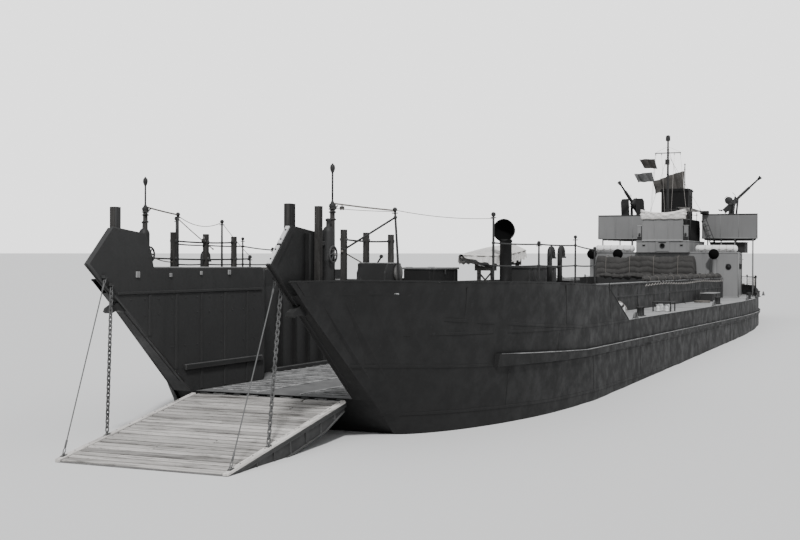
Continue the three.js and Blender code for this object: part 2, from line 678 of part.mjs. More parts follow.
function bowPosts(side) {
  const { timbers, stanchions, rails } = side > 0 ? postRows.port : postRows.starboard;
  const y = side * postY;
  const parts = timbers.map(([x, top]) => timber(x, y, top));
  for (const [footX, stanchionY, topX, top] of stanchions) {
    parts.push(rod([footX, stanchionY, foreDeckZ + gap + 2], [topX, stanchionY, top], 12, 8));
    parts.push(rod([topX, stanchionY, top - 12], [topX, stanchionY, top + 22], 22, 8));
  }
  for (const [x0, x1, z] of rails) parts.push(rod([x0, y, z], [x1, y, z], 9, 6));
  if (side > 0) {
    parts.push(rod([10672, 1500, 2430], [10935, 1085, 2120], 10, 8));
    parts.push(block(10260, 10660, 1075, 1390, foreDeckZ + gap, 1998));
  }
  return join(...parts);
}

// Hand winches on the fore deck, each a pedestal with a lantern mast beside it and a wheel on its port face
const winches = {
  port: { pedestal: [11225, 1060], mast: [11150, 1065], top: 2885, wheel: [11262, 1132] },
  starboard: { pedestal: [11144, -1082], mast: [11144, -1070], top: 2810, wheel: [11144, -1012] },
};
const wheelZ = 2068;
const wheelAxle = 12;
const mastStepZ = 2525;

function lightMast(side) {
  const { pedestal, mast: [x, y], top, wheel } = side > 0 ? winches.port : winches.starboard;
  const foot = foreDeckZ + gap;
  const winch = turned([[0, 0], [62, 0], [62, 25], [55, 60], [55, 590], [38, 630], [20, 640], [20, 690], [30, 700],
    [0, 720]], [...pedestal, foot], unitZ, 12);
  const lower = rod([x, y, foot], [x, y, mastStepZ], 26, 8);
  const upper = rod([x, y, mastStepZ - 5], [x, y, top], 9, 8);
  const lantern = turned([[0, -24], [17, -17], [24, 0], [17, 17], [0, 24]], [x, y, top], unitZ, 8);
  const axle = rod([wheel[0], pedestal[1], wheelZ], [wheel[0], wheel[1] + 16, wheelZ], wheelAxle, 16);
  const parts = [winch, lower, upper, lantern, axle];
  if (side > 0) {
    const [tallX, tallY, tallTop] = [11363, 1030, 2517];
    parts.push(timber(tallX, tallY, tallTop));
    parts.push(block(pedestal[0], tallX - 10, tallY + 5, tallY + 25, 2150, 2190));
  }
  return join(...parts);
}

// Guard rail inside the raised bulwark: [x, half-width, top]
function sideRail(side) {
  const posts = [[9250, 1985, 2500], [8340, 2190, 2215], [7260, 2290, 2300], [6450, 2300, 2175]]
    .map(([x, y, top]) => [x, side * y, foreDeckZ, top, 12]);
  return postRail(posts, 8, [2205, 1965]);
}

// Guard rail round the stern, just inside the deck edge
function sternRail() {
  const half = [-8300, -9100, -9900, -10700, -11400, -11850].map((x) => [x, planHalfAt(x - 75, sideDeckZ) - 45]);
  const round = [...half, [-12080, 0], ...half.slice().reverse().map(([x, y]) => [x, -y])];
  const top = sideDeckZ + 480;
  return postRail(round.map(([x, y]) => [x, y, sideDeckZ, top, 11]), 7, [top - 12, top - 230]);
}

function planHalfAt(x, z) {
  const half = halfPlan(z);
  for (let i = 0; i < half.length - 1; i += 1) {
    const [x0, y0] = half[i];
    const [x1, y1] = half[i + 1];
    if (x <= x0 && x >= x1) return lerp(y0, y1, (x0 - x) / (x0 - x1));
  }
  return 0;
}

// Hatches with hinged lids
const hatchX = 6500;
const hatchY = 1850;
const hatchHalf = 200;

function hatchCoaming(x, y, deckZ, half) {
  return cut(block(x - half, x + half, y - half, y + half, deckZ - 10, deckZ + 90),
    block(x - half + 15, x + half - 15, y - half + 15, y + half - 15, deckZ + 20, deckZ + 120));
}

function hatchLid(x, y, deckZ, half) {
  const low = deckZ + 90 + gap;
  return block(x - half - 12, x + half + 12, y - half - 12, y + half + 12, low, low + 26);
}

// Screws, shafts and rudders
function shaftLine(side) {
  const y = side * screwY;
  const tube = rod([-8100, y, screwZ], [screwX + 70, y, screwZ], 26, 10);
  const strut = slabY([[screwX + 220, screwZ], [screwX + 120, screwZ], [screwX + 150, 380 - gap],
    [screwX + 260, 350 - gap]], y - 14, y + 14);
  const stub = rod([screwX + 90, y, screwZ], [screwX - 60, y, screwZ], 15, 10);
  return { tube, strut, stub };
}

function shaft(side) {
  const { tube, strut, stub } = shaftLine(side);
  const hull = hullBottom();
  return cut(join(tube, strut, stub), hull, hull.translate([0, 0, -gap]));
}

function screw(side) {
  const y = side * screwY;
  const hub = cut(rod([screwX + 60, y, screwZ], [screwX - 70, y, screwZ], 42, 12, 30),
    rod([screwX + 80, y, screwZ], [screwX - 66, y, screwZ], 15.6, 16));
  const blades = [0, 120, 240].map((angle) => slabX([[-20, 0], [20, 0], [70, 90], [50, 150], [0, 165], [-50, 140],
    [-55, 80]], -9, 9).rotate([0, 0, side * 28]).translate([0, 0, 22]).rotate([angle, 0, 0])
    .translate([screwX, y, screwZ]));
  return join(hub, ...blades);
}

function rudder(side) {
  const y = side * screwY;
  const blade = slabZ([[-11560, y], [-11500, y - 20], [-11250, y - 14], [-11230, y], [-11250, y + 14],
    [-11500, y + 20]], 20, 380);
  const stock = rod([rudderX, y, 370], [rudderX, y, 480], stockRadius, 16);
  return join(blade, stock);
}

// Hand wheel of a winch
function handReel(side) {
  const [x, y] = (side > 0 ? winches.port : winches.starboard).wheel;
  const centre = [x, y, wheelZ];
  const rim = turned([[64, -10], [84, -10], [84, 10], [64, 10], [64, -10]], centre, unitY, 20);
  const spokes = [0, 60, 120].map((angle) => block(-70, 70, -7, 7, -7, 7).rotate([0, angle, 0]).translate(centre));
  const hub = rod([x, y - 14, wheelZ], [x, y + 14, wheelZ], 24, 12);
  const bore = rod([x, y - 40, wheelZ], [x, y + 40, wheelZ], wheelAxle + 0.6, 16);
  return cut(join(rim, ...spokes, hub), bore);
}

// Dinghy under a canvas cover, on two crutches: [x, half-width, keel, gunwale, ridge] from aft
const dinghyY = 1565;

function dinghy() {
  const stations = [[7165, 60, 2120, 2150, 2175], [7400, 150, 2042, 2150, 2218], [7850, 200, 1975, 2115, 2200],
    [8300, 205, 1958, 2085, 2170], [8700, 170, 1995, 2070, 2130], [9105, 20, 2055, 2075, 2085]];
  const rings = stations.map(([x, w, keel, gunwale, ridge]) => {
    const turn = keel + 0.3 * (gunwale - keel);
    const shoulder = gunwale + 0.75 * (ridge - gunwale);
    return [[0, keel], [0.6 * w, turn], [w, gunwale], [0.5 * w, shoulder], [0, ridge], [-0.5 * w, shoulder],
      [-w, gunwale], [-0.6 * w, turn]].map(([y, z]) => [y, z, x]);
  });
  const boat = loft(rings).rotate([90, 0, 90]).translate([0, dinghyY, 0]);
  const crutches = [[7490, 2050], [8350, 1985]].map(([x, top]) => block(x - 20, x + 20, dinghyY - 110, dinghyY + 110,
    foreDeckZ + gap, top));
  return join(boat, ...crutches);
}

// Stern winch with its drum
function winchFrame() {
  const low = sideDeckZ + gap;
  const cheeks = [-1, 1].map((s) => slabY([[-11280, low], [-10980, low], [-11080, low + 260], [-11180, low + 260]],
    s * 230, s * 250));
  const bed = block(-11290, -10970, -260, 260, low, low + 18);
  const axle = rod([-11130, -250, low + 190], [-11130, 250, low + 190], 14, 16);
  return join(...cheeks, bed, axle);
}

function winchDrum() {
  const z = sideDeckZ + gap + 190;
  const profile = [[14.6, -215], [130, -215], [130, -200], [80, -200], [80, 200], [130, 200], [130, 215],
    [14.6, 215], [14.6, -215]];
  return turned(profile, [-11130, 0, z], unitY, 16);
}

function kedgeAnchor() {
  const low = sideDeckZ + gap;
  const shank = block(-11980, -11480, -18, 18, low + 30, low + 66);
  const crown = block(-12010, -11950, -190, 190, low, low + 70);
  const flukes = [-1, 1].map((s) => slabZ([[-12000, s * 190], [-12000, s * 120], [-11760, s * 150]], low, low + 40));
  const stock = block(-11540, -11510, -160, 160, low, low + 60);
  return join(shank, crown, ...flukes, stock);
}

// Assembly
addPiece('hull_bottom', hullBottom(), paint.hull);
addPiece('aft_hull', aftHull(), paint.hull);
addPiece('ramp', laidRamp(), paint.timber);
addPiece('ramp_hinge_pin', rampPin(), paint.steel);
addPiece('deckhouse', deckhouse(), paint.grey);
addPiece('wheelhouse', wheelhouse(), paint.grey);
addPiece('bridge_screen', bridge(), paint.grey);
addPiece('bridge_dodger', dodger(), paint.canvas);
addPiece('funnel', funnel(), paint.dark);
addPiece('mast', mast(), paint.dark);
addPiece('ensign_staff', ensignStaff(), paint.dark);
addPiece('ensign', block(staffX - 4, staffX + 4, staffY - 763, staffY - 12.9, 3845, 4320), paint.flag);
addPiece('signal_hoist', signalHoist(), paint.flag);
addPiece('stern_winch_frame', winchFrame(), paint.dark);
addPiece('stern_winch_drum', winchDrum(), paint.steel);
addPiece('kedge_anchor', kedgeAnchor(), paint.dark);
addPiece('fore_cowl', cowl(8478, 1850, foreDeckZ + gap, 665, 125), paint.dark);
addPiece('stowed_hold_cover', stowedCover(), paint.dark);
addPiece('port_dinghy', dinghy(), paint.canvas);

const sides = [['port', 1], ['starboard', -1]];
const gunAim = { port: [90, 43], starboard: [-15, 35] };
for (const [name, side] of sides) {
  addPiece(`${name}_wing_tank`, wingTank(side), paint.hull);
  addPiece(`${name}_bulwark`, bulwark(side), paint.hull);
  addPiece(`${name}_bow_wall`, bowWall(side), paint.hull);
  addPiece(`${name}_coaming`, coaming(side), paint.grey);
  addPiece(`${name}_rubbing_strake`, strake(side), paint.hull);
  addPiece(`${name}_ramp_chain`, rampStay(side, chainBracket, chainAlong, 11), paint.steel);
  addPiece(`${name}_ramp_wire`, rampStay(side, wireBracket, wireAlong, 7), paint.steel);
  addPiece(`${name}_house_door`, houseDoor(side), paint.grey);
  addPiece(`${name}_gun_platform`, gunPlatform(side), paint.grey);
  addPiece(`${name}_gun_head`, gunHead(side, gunAim[name][0]), paint.dark);
  addPiece(`${name}_gun`, gunBarrel(side, ...gunAim[name]), paint.dark);
  addPiece(`${name}_float`, float(side), paint.white);
  addPiece(`${name}_bow_posts`, bowPosts(side), paint.timber);
  addPiece(`${name}_light_mast`, lightMast(side), paint.dark);
  addPiece(`${name}_side_rail`, sideRail(side), paint.dark);
  addPiece(`${name}_fore_hatch_lid`, hatchLid(hatchX, side * hatchY, foreDeckZ, hatchHalf), paint.grey);
  addPiece(`${name}_shaft`, shaft(side), paint.steel);
  addPiece(`${name}_screw`, screw(side), paint.bronze);
  addPiece(`${name}_rudder`, rudder(side), paint.hull);
}
addPiece('hand_reel', handReel(1), paint.steel);
addPiece('starboard_hand_reel', handReel(-1), paint.steel);
addPiece('stern_rail', sternRail(), paint.dark);

export default craft;
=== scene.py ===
import math

import bpy
import numpy as np
from mathutils import Euler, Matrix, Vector


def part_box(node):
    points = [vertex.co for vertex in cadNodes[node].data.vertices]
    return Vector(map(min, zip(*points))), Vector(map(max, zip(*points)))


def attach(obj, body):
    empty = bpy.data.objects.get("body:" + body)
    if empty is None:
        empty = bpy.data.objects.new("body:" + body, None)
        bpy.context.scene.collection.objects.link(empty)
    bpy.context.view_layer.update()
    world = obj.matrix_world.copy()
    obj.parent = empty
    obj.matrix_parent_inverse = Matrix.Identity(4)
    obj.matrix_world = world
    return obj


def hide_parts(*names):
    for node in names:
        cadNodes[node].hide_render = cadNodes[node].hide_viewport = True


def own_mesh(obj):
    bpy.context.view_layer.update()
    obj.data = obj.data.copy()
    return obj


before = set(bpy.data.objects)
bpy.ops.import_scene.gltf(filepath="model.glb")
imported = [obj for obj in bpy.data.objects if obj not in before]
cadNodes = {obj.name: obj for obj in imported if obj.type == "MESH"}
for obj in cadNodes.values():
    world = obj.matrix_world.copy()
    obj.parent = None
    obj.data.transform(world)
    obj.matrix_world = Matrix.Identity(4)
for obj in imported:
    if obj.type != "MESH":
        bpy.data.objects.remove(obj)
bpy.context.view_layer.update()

# Places are in metres of the half-size model, +X to the bow, +Y to port, +Z up
modelScale = 0.5
pinLow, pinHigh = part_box("ramp_hinge_pin")
hinge = (np.array(pinLow) + np.array(pinHigh)) / 2
sideNames = {"port": 1, "starboard": -1}


def fromHinge(*place):
    # A place given in full-size metres from the middle of the ramp's sill, 30 mm above the pin, halved
    return hinge + np.array([0, 0, 0.03]) + np.array(place, float) * modelScale


# Camera: where the photographer stood, fitted to the ramp, horns, deck edge and gun platforms
cameraValues = {
    "place": (22.5675, 13.1056, 2.7362),  # full-size metres from the sill
    "yaw": 3.5653,
    "pitch": -0.0058,
    "roll": 0.0035,
    "lens": 56.87,
    "sensor": 36,
    "clip": (0.1, 400),
}


def makeCamera(values):
    data = bpy.data.cameras.new("viewCamera")
    data.lens = values["lens"]
    data.sensor_width = values["sensor"]
    data.clip_start, data.clip_end = values["clip"]
    camera = bpy.data.objects.new("viewCamera", data)
    bpy.context.scene.collection.objects.link(camera)
    yaw, pitch, roll = values["yaw"], values["pitch"], values["roll"]
    look = Vector((math.cos(pitch) * math.cos(yaw), math.cos(pitch) * math.sin(yaw), math.sin(pitch)))
    right = Vector((math.sin(yaw), -math.cos(yaw), 0))
    up = right.cross(look)
    across = math.cos(roll) * right + math.sin(roll) * up
    over = math.cos(roll) * up - math.sin(roll) * right
    matrix = camera.matrix_world.to_3x3()
    for row in range(3):
        matrix[row] = (across[row], over[row], -look[row])
    camera.matrix_world = matrix.to_4x4()
    camera.location = fromHinge(*values["place"])
    bpy.context.scene.camera = camera


makeCamera(cameraValues)
print("stage: camera")


# Shader building blocks
def makeGroup(name, inputs, outputs):
    group = bpy.data.node_groups.new(name, "ShaderNodeTree")
    for label, kind, default in inputs:
        socket = group.interface.new_socket(label, in_out="INPUT", socket_type=kind)
        socket.default_value = default
    for label, kind in outputs:
        group.interface.new_socket(label, in_out="OUTPUT", socket_type=kind)
    source = group.nodes.new("NodeGroupInput")
    sink = group.nodes.new("NodeGroupOutput")
    return group, source, sink


def noiseAt(tree, vector, scale, detail=4.0, roughness=0.55):
    node = tree.nodes.new("ShaderNodeTexNoise")
    node.inputs["Scale"].default_value = scale
    node.inputs["Detail"].default_value = detail
    node.inputs["Roughness"].default_value = roughness
    tree.links.new(vector, node.inputs["Vector"])
    return node.outputs["Fac"]


def stretched(tree, vector, factors):
    node = tree.nodes.new("ShaderNodeMapping")
    node.inputs["Scale"].default_value = factors
    tree.links.new(vector, node.inputs["Vector"])
    return node.outputs["Vector"]


def ranged(tree, value, low, high, outLow=0.0, outHigh=1.0):
    node = tree.nodes.new("ShaderNodeMapRange")
    node.interpolation_type = "SMOOTHSTEP"
    tree.links.new(value, node.inputs["Value"])
    for label, number in (("From Min", low), ("From Max", high), ("To Min", outLow), ("To Max", outHigh)):
        node.inputs[label].default_value = number
    return node.outputs["Result"]


def combined(tree, kind, a, b, clamp=False):
    node = tree.nodes.new("ShaderNodeMath")
    node.operation = kind
    node.use_clamp = clamp
    for slot, value in ((0, a), (1, b)):
        if isinstance(value, (int, float)):
            node.inputs[slot].default_value = value
        else:
            tree.links.new(value, node.inputs[slot])
    return node.outputs["Value"]


def mixedColour(tree, factor, a, b, kind="MIX"):
    node = tree.nodes.new("ShaderNodeMix")
    node.data_type = "RGBA"
    node.blend_type = kind
    for slot, value in ((0, factor), (6, a), (7, b)):
        if isinstance(value, (int, float, tuple)):
            node.inputs[slot].default_value = value
        else:
            tree.links.new(value, node.inputs[slot])
    return node.outputs[2]


def makeWeatherGroup():
    # Patchy paint: broad patches, runs that fall down the plate, fine grit, and worn edges
    group, source, sink = makeGroup("weatheredPaint", [
        ("Vector", "NodeSocketVector", (0, 0, 0)), ("Paint", "NodeSocketColor", (0.1, 0.1, 0.1, 1)),
        ("Worn", "NodeSocketColor", (0.3, 0.3, 0.3, 1)), ("Stain", "NodeSocketColor", (0.05, 0.04, 0.03, 1)),
        ("Wear", "NodeSocketFloat", 0.5), ("Runs", "NodeSocketFloat", 0.5),
        ("Dust", "NodeSocketFloat", 0.5)],
        [("Color", "NodeSocketColor"), ("Roughness", "NodeSocketFloat"), ("Height", "NodeSocketFloat")])
    vector = source.outputs["Vector"]
    broad = noiseAt(group, vector, 0.9, 5)
    patches = noiseAt(group, vector, 5.0, 6, 0.65)
    runs = noiseAt(group, stretched(group, vector, (9, 9, 0.7)), 1.0, 5, 0.6)
    grit = noiseAt(group, vector, 60, 3, 0.6)
    tone = mixedColour(group, ranged(group, broad, 0.35, 0.65, 0.0, 0.35), source.outputs["Paint"],
                       source.outputs["Stain"])
    runMask = combined(group, "MULTIPLY", ranged(group, runs, 0.52, 0.72), source.outputs["Runs"])
    toned = mixedColour(group, runMask, tone, source.outputs["Stain"])
    chips = combined(group, "MULTIPLY", ranged(group, patches, 0.60, 0.70), source.outputs["Wear"])
    chips = combined(group, "MULTIPLY", chips, ranged(group, grit, 0.42, 0.60))
    bevel = group.nodes.new("ShaderNodeBevel")
    bevel.samples = 4
    bevel.inputs["Radius"].default_value = 0.012
    geometry = group.nodes.new("ShaderNodeNewGeometry")
    dot = group.nodes.new("ShaderNodeVectorMath")
    dot.operation = "DOT_PRODUCT"
    group.links.new(bevel.outputs["Normal"], dot.inputs[0])
    group.links.new(geometry.outputs["Normal"], dot.inputs[1])
    edge = ranged(group, dot.outputs["Value"], 0.995, 0.90, 0.0, 1.0)
    edge = combined(group, "MULTIPLY", edge, ranged(group, patches, 0.35, 0.60))
    edge = combined(group, "MULTIPLY", edge, source.outputs["Wear"])
    worn = combined(group, "MAXIMUM", chips, edge, True)
    painted = mixedColour(group, worn, toned, source.outputs["Worn"])
    split = group.nodes.new("ShaderNodeSeparateXYZ")
    group.links.new(geometry.outputs["Normal"], split.inputs[0])
    up = combined(group, "MULTIPLY", ranged(group, split.outputs["Z"], 0.55, 0.95), source.outputs["Dust"])
    up = combined(group, "MULTIPLY", up, ranged(group, patches, 0.30, 0.62, 0.45, 1.0))
    dusty = mixedColour(group, up, painted, source.outputs["Worn"])
    group.links.new(dusty, sink.inputs["Color"])
    rough = combined(group, "ADD", ranged(group, patches, 0.3, 0.7, 0.52, 0.78),
                     combined(group, "MULTIPLY", up, 0.15))
    group.links.new(rough, sink.inputs["Roughness"])
    height = combined(group, "ADD", combined(group, "MULTIPLY", broad, 1.0),
                      combined(group, "MULTIPLY", grit, 0.06))
    height = combined(group, "SUBTRACT", height, combined(group, "MULTIPLY", worn, 0.08))
    group.links.new(height, sink.inputs["Height"])
    return group


def makeTimberGroup():
    # Sawn timber: long grain from noise drawn out along the plank, with checks and worn pale faces
    group, source, sink = makeGroup("weatheredTimber", [
        ("Vector", "NodeSocketVector", (0, 0, 0)), ("Pale", "NodeSocketColor", (0.5, 0.5, 0.5, 1)),
        ("Deep", "NodeSocketColor", (0.1, 0.1, 0.1, 1)), ("Worn", "NodeSocketFloat", 0.5),
        ("Plank", "NodeSocketFloat", 0.5)],
        [("Color", "NodeSocketColor"), ("Roughness", "NodeSocketFloat"), ("Height", "NodeSocketFloat")])
    vector = source.outputs["Vector"]
    grain = noiseAt(group, vector, 3.0, 8, 0.7)
    fibre = noiseAt(group, vector, 14.0, 4, 0.6)
    checks = ranged(group, fibre, 0.40, 0.30)
    patch = noiseAt(group, vector, 0.7, 4, 0.6)
    worn = combined(group, "MULTIPLY", ranged(group, patch, 0.35, 0.62), source.outputs["Worn"])
    base = mixedColour(group, ranged(group, grain, 0.30, 0.70), source.outputs["Deep"],
                       source.outputs["Pale"])
    faded = mixedColour(group, worn, base, source.outputs["Pale"])
    tint = combined(group, "ADD", 0.62, combined(group, "MULTIPLY", source.outputs["Plank"], 0.6))
    shade = group.nodes.new("ShaderNodeCombineColor")
    for label in ("Red", "Green", "Blue"):
        group.links.new(tint, shade.inputs[label])
    varied = mixedColour(group, 1.0, faded, shade.outputs["Color"], "MULTIPLY")
    cracked = mixedColour(group, combined(group, "MULTIPLY", checks, 0.8), varied, source.outputs["Deep"])
    group.links.new(cracked, sink.inputs["Color"])
    group.links.new(ranged(group, grain, 0.2, 0.8, 0.7, 0.92), sink.inputs["Roughness"])
    height = combined(group, "SUBTRACT", combined(group, "MULTIPLY", fibre, 0.7),
                      combined(group, "MULTIPLY", checks, 0.6))
    group.links.new(height, sink.inputs["Height"])
    return group


def makeWeaveGroup():
    # Cloth: two crossed thread waves on the piece's UV map, with faded and soiled areas
    group, source, sink = makeGroup("clothWeave", [
        ("Vector", "NodeSocketVector", (0, 0, 0)), ("Cloth", "NodeSocketColor", (0.6, 0.6, 0.6, 1)),
        ("Soil", "NodeSocketColor", (0.2, 0.2, 0.2, 1)), ("Threads", "NodeSocketFloat", 300.0),
        ("Soiling", "NodeSocketFloat", 0.4)],
        [("Color", "NodeSocketColor"), ("Roughness", "NodeSocketFloat"), ("Height", "NodeSocketFloat")])
    vector = source.outputs["Vector"]
    waves = []
    for axis in ("X", "Y"):
        split = group.nodes.new("ShaderNodeSeparateXYZ")
        group.links.new(vector, split.inputs[0])
        turns = combined(group, "MULTIPLY", split.outputs[axis], source.outputs["Threads"])
        waves.append(combined(group, "SINE", turns, 0.0))
    weave = combined(group, "MULTIPLY", waves[0], waves[1])
    soil = combined(group, "MULTIPLY", ranged(group, noiseAt(group, vector, 2.5, 6, 0.65), 0.42, 0.68),
                    source.outputs["Soiling"])
    fade = noiseAt(group, vector, 9.0, 4, 0.6)
    dyed = mixedColour(group, soil, source.outputs["Cloth"], source.outputs["Soil"])
    threaded = mixedColour(group, ranged(group, weave, -1.0, 1.0, 0.0, 0.12), dyed, source.outputs["Soil"])
    varied = mixedColour(group, ranged(group, fade, 0.35, 0.7, 0.0, 0.2), threaded, source.outputs["Soil"])
    group.links.new(varied, sink.inputs["Color"])
    group.links.new(ranged(group, fade, 0.2, 0.8, 0.82, 0.95), sink.inputs["Roughness"])
    group.links.new(combined(group, "ADD", weave, combined(group, "MULTIPLY", fade, 2.0)),
                    sink.inputs["Height"])
    return group


weatherGroup = makeWeatherGroup()
timberGroup = makeTimberGroup()
weaveGroup = makeWeaveGroup()


def newMaterial(name, group, coordinates, bumpDistance, bumpStrength, specular, metallic=0.0):
    # Texture Coordinate -> Mapping -> the shared group -> Principled, with a Bump for the group's Height
    material = bpy.data.materials.new(name)
    material.use_nodes = True
    tree = material.node_tree
    shader = tree.nodes["Principled BSDF"]
    shader.inputs["Metallic"].default_value = metallic
    shader.inputs["Specular IOR Level"].default_value = specular
    where = tree.nodes.new("ShaderNodeTexCoord")
    mapping = tree.nodes.new("ShaderNodeMapping")
    tree.links.new(where.outputs[coordinates], mapping.inputs["Vector"])
    use = tree.nodes.new("ShaderNodeGroup")
    use.node_tree = group
    tree.links.new(mapping.outputs["Vector"], use.inputs["Vector"])
    bump = tree.nodes.new("ShaderNodeBump")
    bump.inputs["Distance"].default_value = bumpDistance
    bump.inputs["Strength"].default_value = bumpStrength
    tree.links.new(use.outputs["Height"], bump.inputs["Height"])
    tree.links.new(bump.outputs["Normal"], shader.inputs["Normal"])
    tree.links.new(use.outputs["Color"], shader.inputs["Base Color"])
    tree.links.new(use.outputs["Roughness"], shader.inputs["Roughness"])
    return material, tree, use, mapping


def grey(value, warmth=0.0):
    return (value * (1 + warmth), value, value * (1 - warmth), 1)


# Paints: albedo of the paint, its worn places and its stains, then wear, runs and dust, and the dents in
# metres
paintColumns = ("paint", "worn", "stain", "wear", "runs", "dust", "dent")
paintRows = {
    "hullPaint": (0.013, 0.050, 0.009, 0.25, 0.25, 0.3, 0.006),
    "bowPaint": (0.034, 0.070, 0.022, 0.04, 0.45, 0.1, 0.006),
    "afterHullPaint": (0.024, 0.090, 0.018, 0.3, 0.25, 0.75, 0.006),
    "housePaint": (0.21, 0.34, 0.11, 0.25, 0.35, 0.4, 0.004),
    "deckPaint": (0.15, 0.34, 0.07, 0.7, 0.2, 0.8, 0.004),
    "sideDeck": (0.27, 0.36, 0.08, 0.7, 0.2, 0.7, 0.003),
    "tankDeckPaint": (0.07, 0.20, 0.03, 0.8, 0.1, 0.6, 0.003),
    "platformPaint": (0.17, 0.28, 0.09, 0.25, 0.35, 0.4, 0.004),
    "paleGrey": (0.34, 0.50, 0.16, 0.3, 0.4, 0.3, 0.003),
    # Dark paint of the cowls and funnel, also the painted shadow under the hull's laps
    "cowlPaintAndLapShadow": (0.012, 0.05, 0.008, 0.2, 0.2, 0.15, 0.002),
    # Black for the cowls' throats: painted shade
    "paintedThroatShade": (0.006, 0.008, 0.004, 0.0, 0.1, 0.1, 0.0003),
    "glassDark": (0.010, 0.02, 0.006, 0.0, 0.2, 0.1, 0.0003),
    "darkPaint": (0.020, 0.10, 0.010, 0.35, 0.3, 0.25, 0.002),
    "whitePaint": (0.62, 0.80, 0.24, 0.3, 0.45, 0.2, 0.003),
    "gunMetal": (0.035, 0.20, 0.015, 0.6, 0.2, 0.15, 0.001),
    "bareSteel": (0.16, 0.34, 0.05, 0.7, 0.5, 0.2, 0.002),
    "darkSteel": (0.030, 0.14, 0.012, 0.5, 0.4, 0.35, 0.002),
    "chainSteel": (0.055, 0.20, 0.02, 0.7, 0.2, 0.2, 0.001),
    "wireRope": (0.10, 0.22, 0.04, 0.4, 0.2, 0.2, 0.001),
    # Worn steel, also the painted highlight along the rubbing strake
    "wornSteelAndStrakeHighlight": (0.10, 0.42, 0.04, 0.9, 0.2, 0.9, 0.002),
    "bronze": (0.22, 0.34, 0.08, 0.5, 0.3, 0.1, 0.001),
}
paintValues = {name: dict(zip(paintColumns, row)) for name, row in paintRows.items()}
# Warmth, specular and metallic, where they aren't those of common paint
commonFinish = (0.0, 0.35, 0.0)
paintFinish = {
    "hullPaint": (0.0, 0.22, 0.0), "paintedThroatShade": (0.0, 0.0, 0.0), "cowlPaintAndLapShadow": (0.0, 0.12, 0.0),
    "bareSteel": (0.02, 0.5, 0.6), "gunMetal": (0.0, 0.5, 0.4), "bronze": (0.25, 0.5, 0.9),
}


def makePaint(name, values, warmth, specular, metallic):
    material, _, use, _ = newMaterial(name, weatherGroup, "Object", values["dent"], 0.9, specular, metallic)
    for label, key in (("Paint", "paint"), ("Worn", "worn"), ("Stain", "stain")):
        use.inputs[label].default_value = grey(values[key], warmth)
    for label, key in (("Wear", "wear"), ("Runs", "runs"), ("Dust", "dust")):
        use.inputs[label].default_value = values[key]
    return material


sideFade = (5.0, -10.0)  # where along the hull the paint starts and ends to pale


def makeSidePaint():
    # The hull's sides: darkest at the bow, and paler from the shoulder towards the stern
    material = makePaint("sidePaint", paintValues["hullPaint"], *paintFinish["hullPaint"])
    tree = material.node_tree
    use = next(node for node in tree.nodes if node.type == "GROUP")
    place = next(node for node in tree.nodes if node.type == "MAPPING").outputs["Vector"]
    split = tree.nodes.new("ShaderNodeSeparateXYZ")
    tree.links.new(place, split.inputs[0])
    aft = ranged(tree, split.outputs["X"], *sideFade)
    for label, key in (("Paint", "paint"), ("Worn", "worn"), ("Stain", "stain")):
        bow, stern = grey(paintValues["hullPaint"][key]), grey(paintValues["afterHullPaint"][key])
        tree.links.new(mixedColour(tree, aft, bow, stern), use.inputs[label])
    return material


materials = {name: makePaint(name, values, *paintFinish.get(name, commonFinish))
             for name, values in paintValues.items()}
materials["sidePaint"] = makeSidePaint()

timberValues = {
    "rampTimber": {"pale": 0.52, "deep": 0.06, "worn": 0.75, "run": "y"},
    "kerbTimber": {"pale": 0.60, "deep": 0.16, "worn": 0.85, "run": "x"},
    "postTimber": {"pale": 0.055, "deep": 0.014, "worn": 0.14, "run": "z"},
    "deckTimber": {"pale": 0.30, "deep": 0.06, "worn": 0.45, "run": "y"},
}
grainStretch = {"x": (0.6, 9, 9), "y": (9, 0.6, 9), "z": (9, 9, 0.6)}


def makeTimber(name, values):
    # The grain runs along the axis named by run, and each plank has its own tone from its attribute
    material, tree, use, mapping = newMaterial(name, timberGroup, "Object", 0.004, 0.8, 0.2)
    mapping.inputs["Scale"].default_value = grainStretch[values["run"]]
    use.inputs["Pale"].default_value = grey(values["pale"], 0.04)
    use.inputs["Deep"].default_value = grey(values["deep"], 0.06)
    use.inputs["Worn"].default_value = values["worn"]
    attribute = tree.nodes.new("ShaderNodeAttribute")
    attribute.attribute_name = "plankTone"
    tree.links.new(attribute.outputs["Fac"], use.inputs["Plank"])
    return material


materials.update({name: makeTimber(name, values) for name, values in timberValues.items()})

# Cloth: albedo of the cloth and of its soil, threads per UV unit, how soiled it is, and its warmth
clothValues = {
    "paleCanvas": (0.82, 0.42, 900.0, 0.35, 0.03),
    "floatCanvas": (0.80, 0.30, 700.0, 0.35, 0.0),
    "greyBunting": (0.16, 0.09, 900.0, 0.4, 0.0),
    # Black cloth: painted shade for the bridge's port side
    "paintedShadeCanvas": (0.018, 0.008, 900.0, 0.5, 0.02),
    "darkCanvas": (0.06, 0.02, 900.0, 0.5, 0.03),
    "bunting": (0.075, 0.03, 700.0, 0.5, 0.06),
    "rope": (0.17, 0.06, 60.0, 0.5, 0.08),
    "paleRope": (0.45, 0.20, 60.0, 0.5, 0.05),
}


def makeCloth(name, cloth, soil, threads, soiling, warmth):
    material, _, use, _ = newMaterial(name, weaveGroup, "UV", 0.0015, 0.6, 0.15)
    use.inputs["Cloth"].default_value = grey(cloth, warmth)
    use.inputs["Soil"].default_value = grey(soil, warmth)
    use.inputs["Threads"].default_value = threads
    use.inputs["Soiling"].default_value = soiling
    return material


materials.update({name: makeCloth(name, *values) for name, values in clothValues.items()})
print("stage: materials")


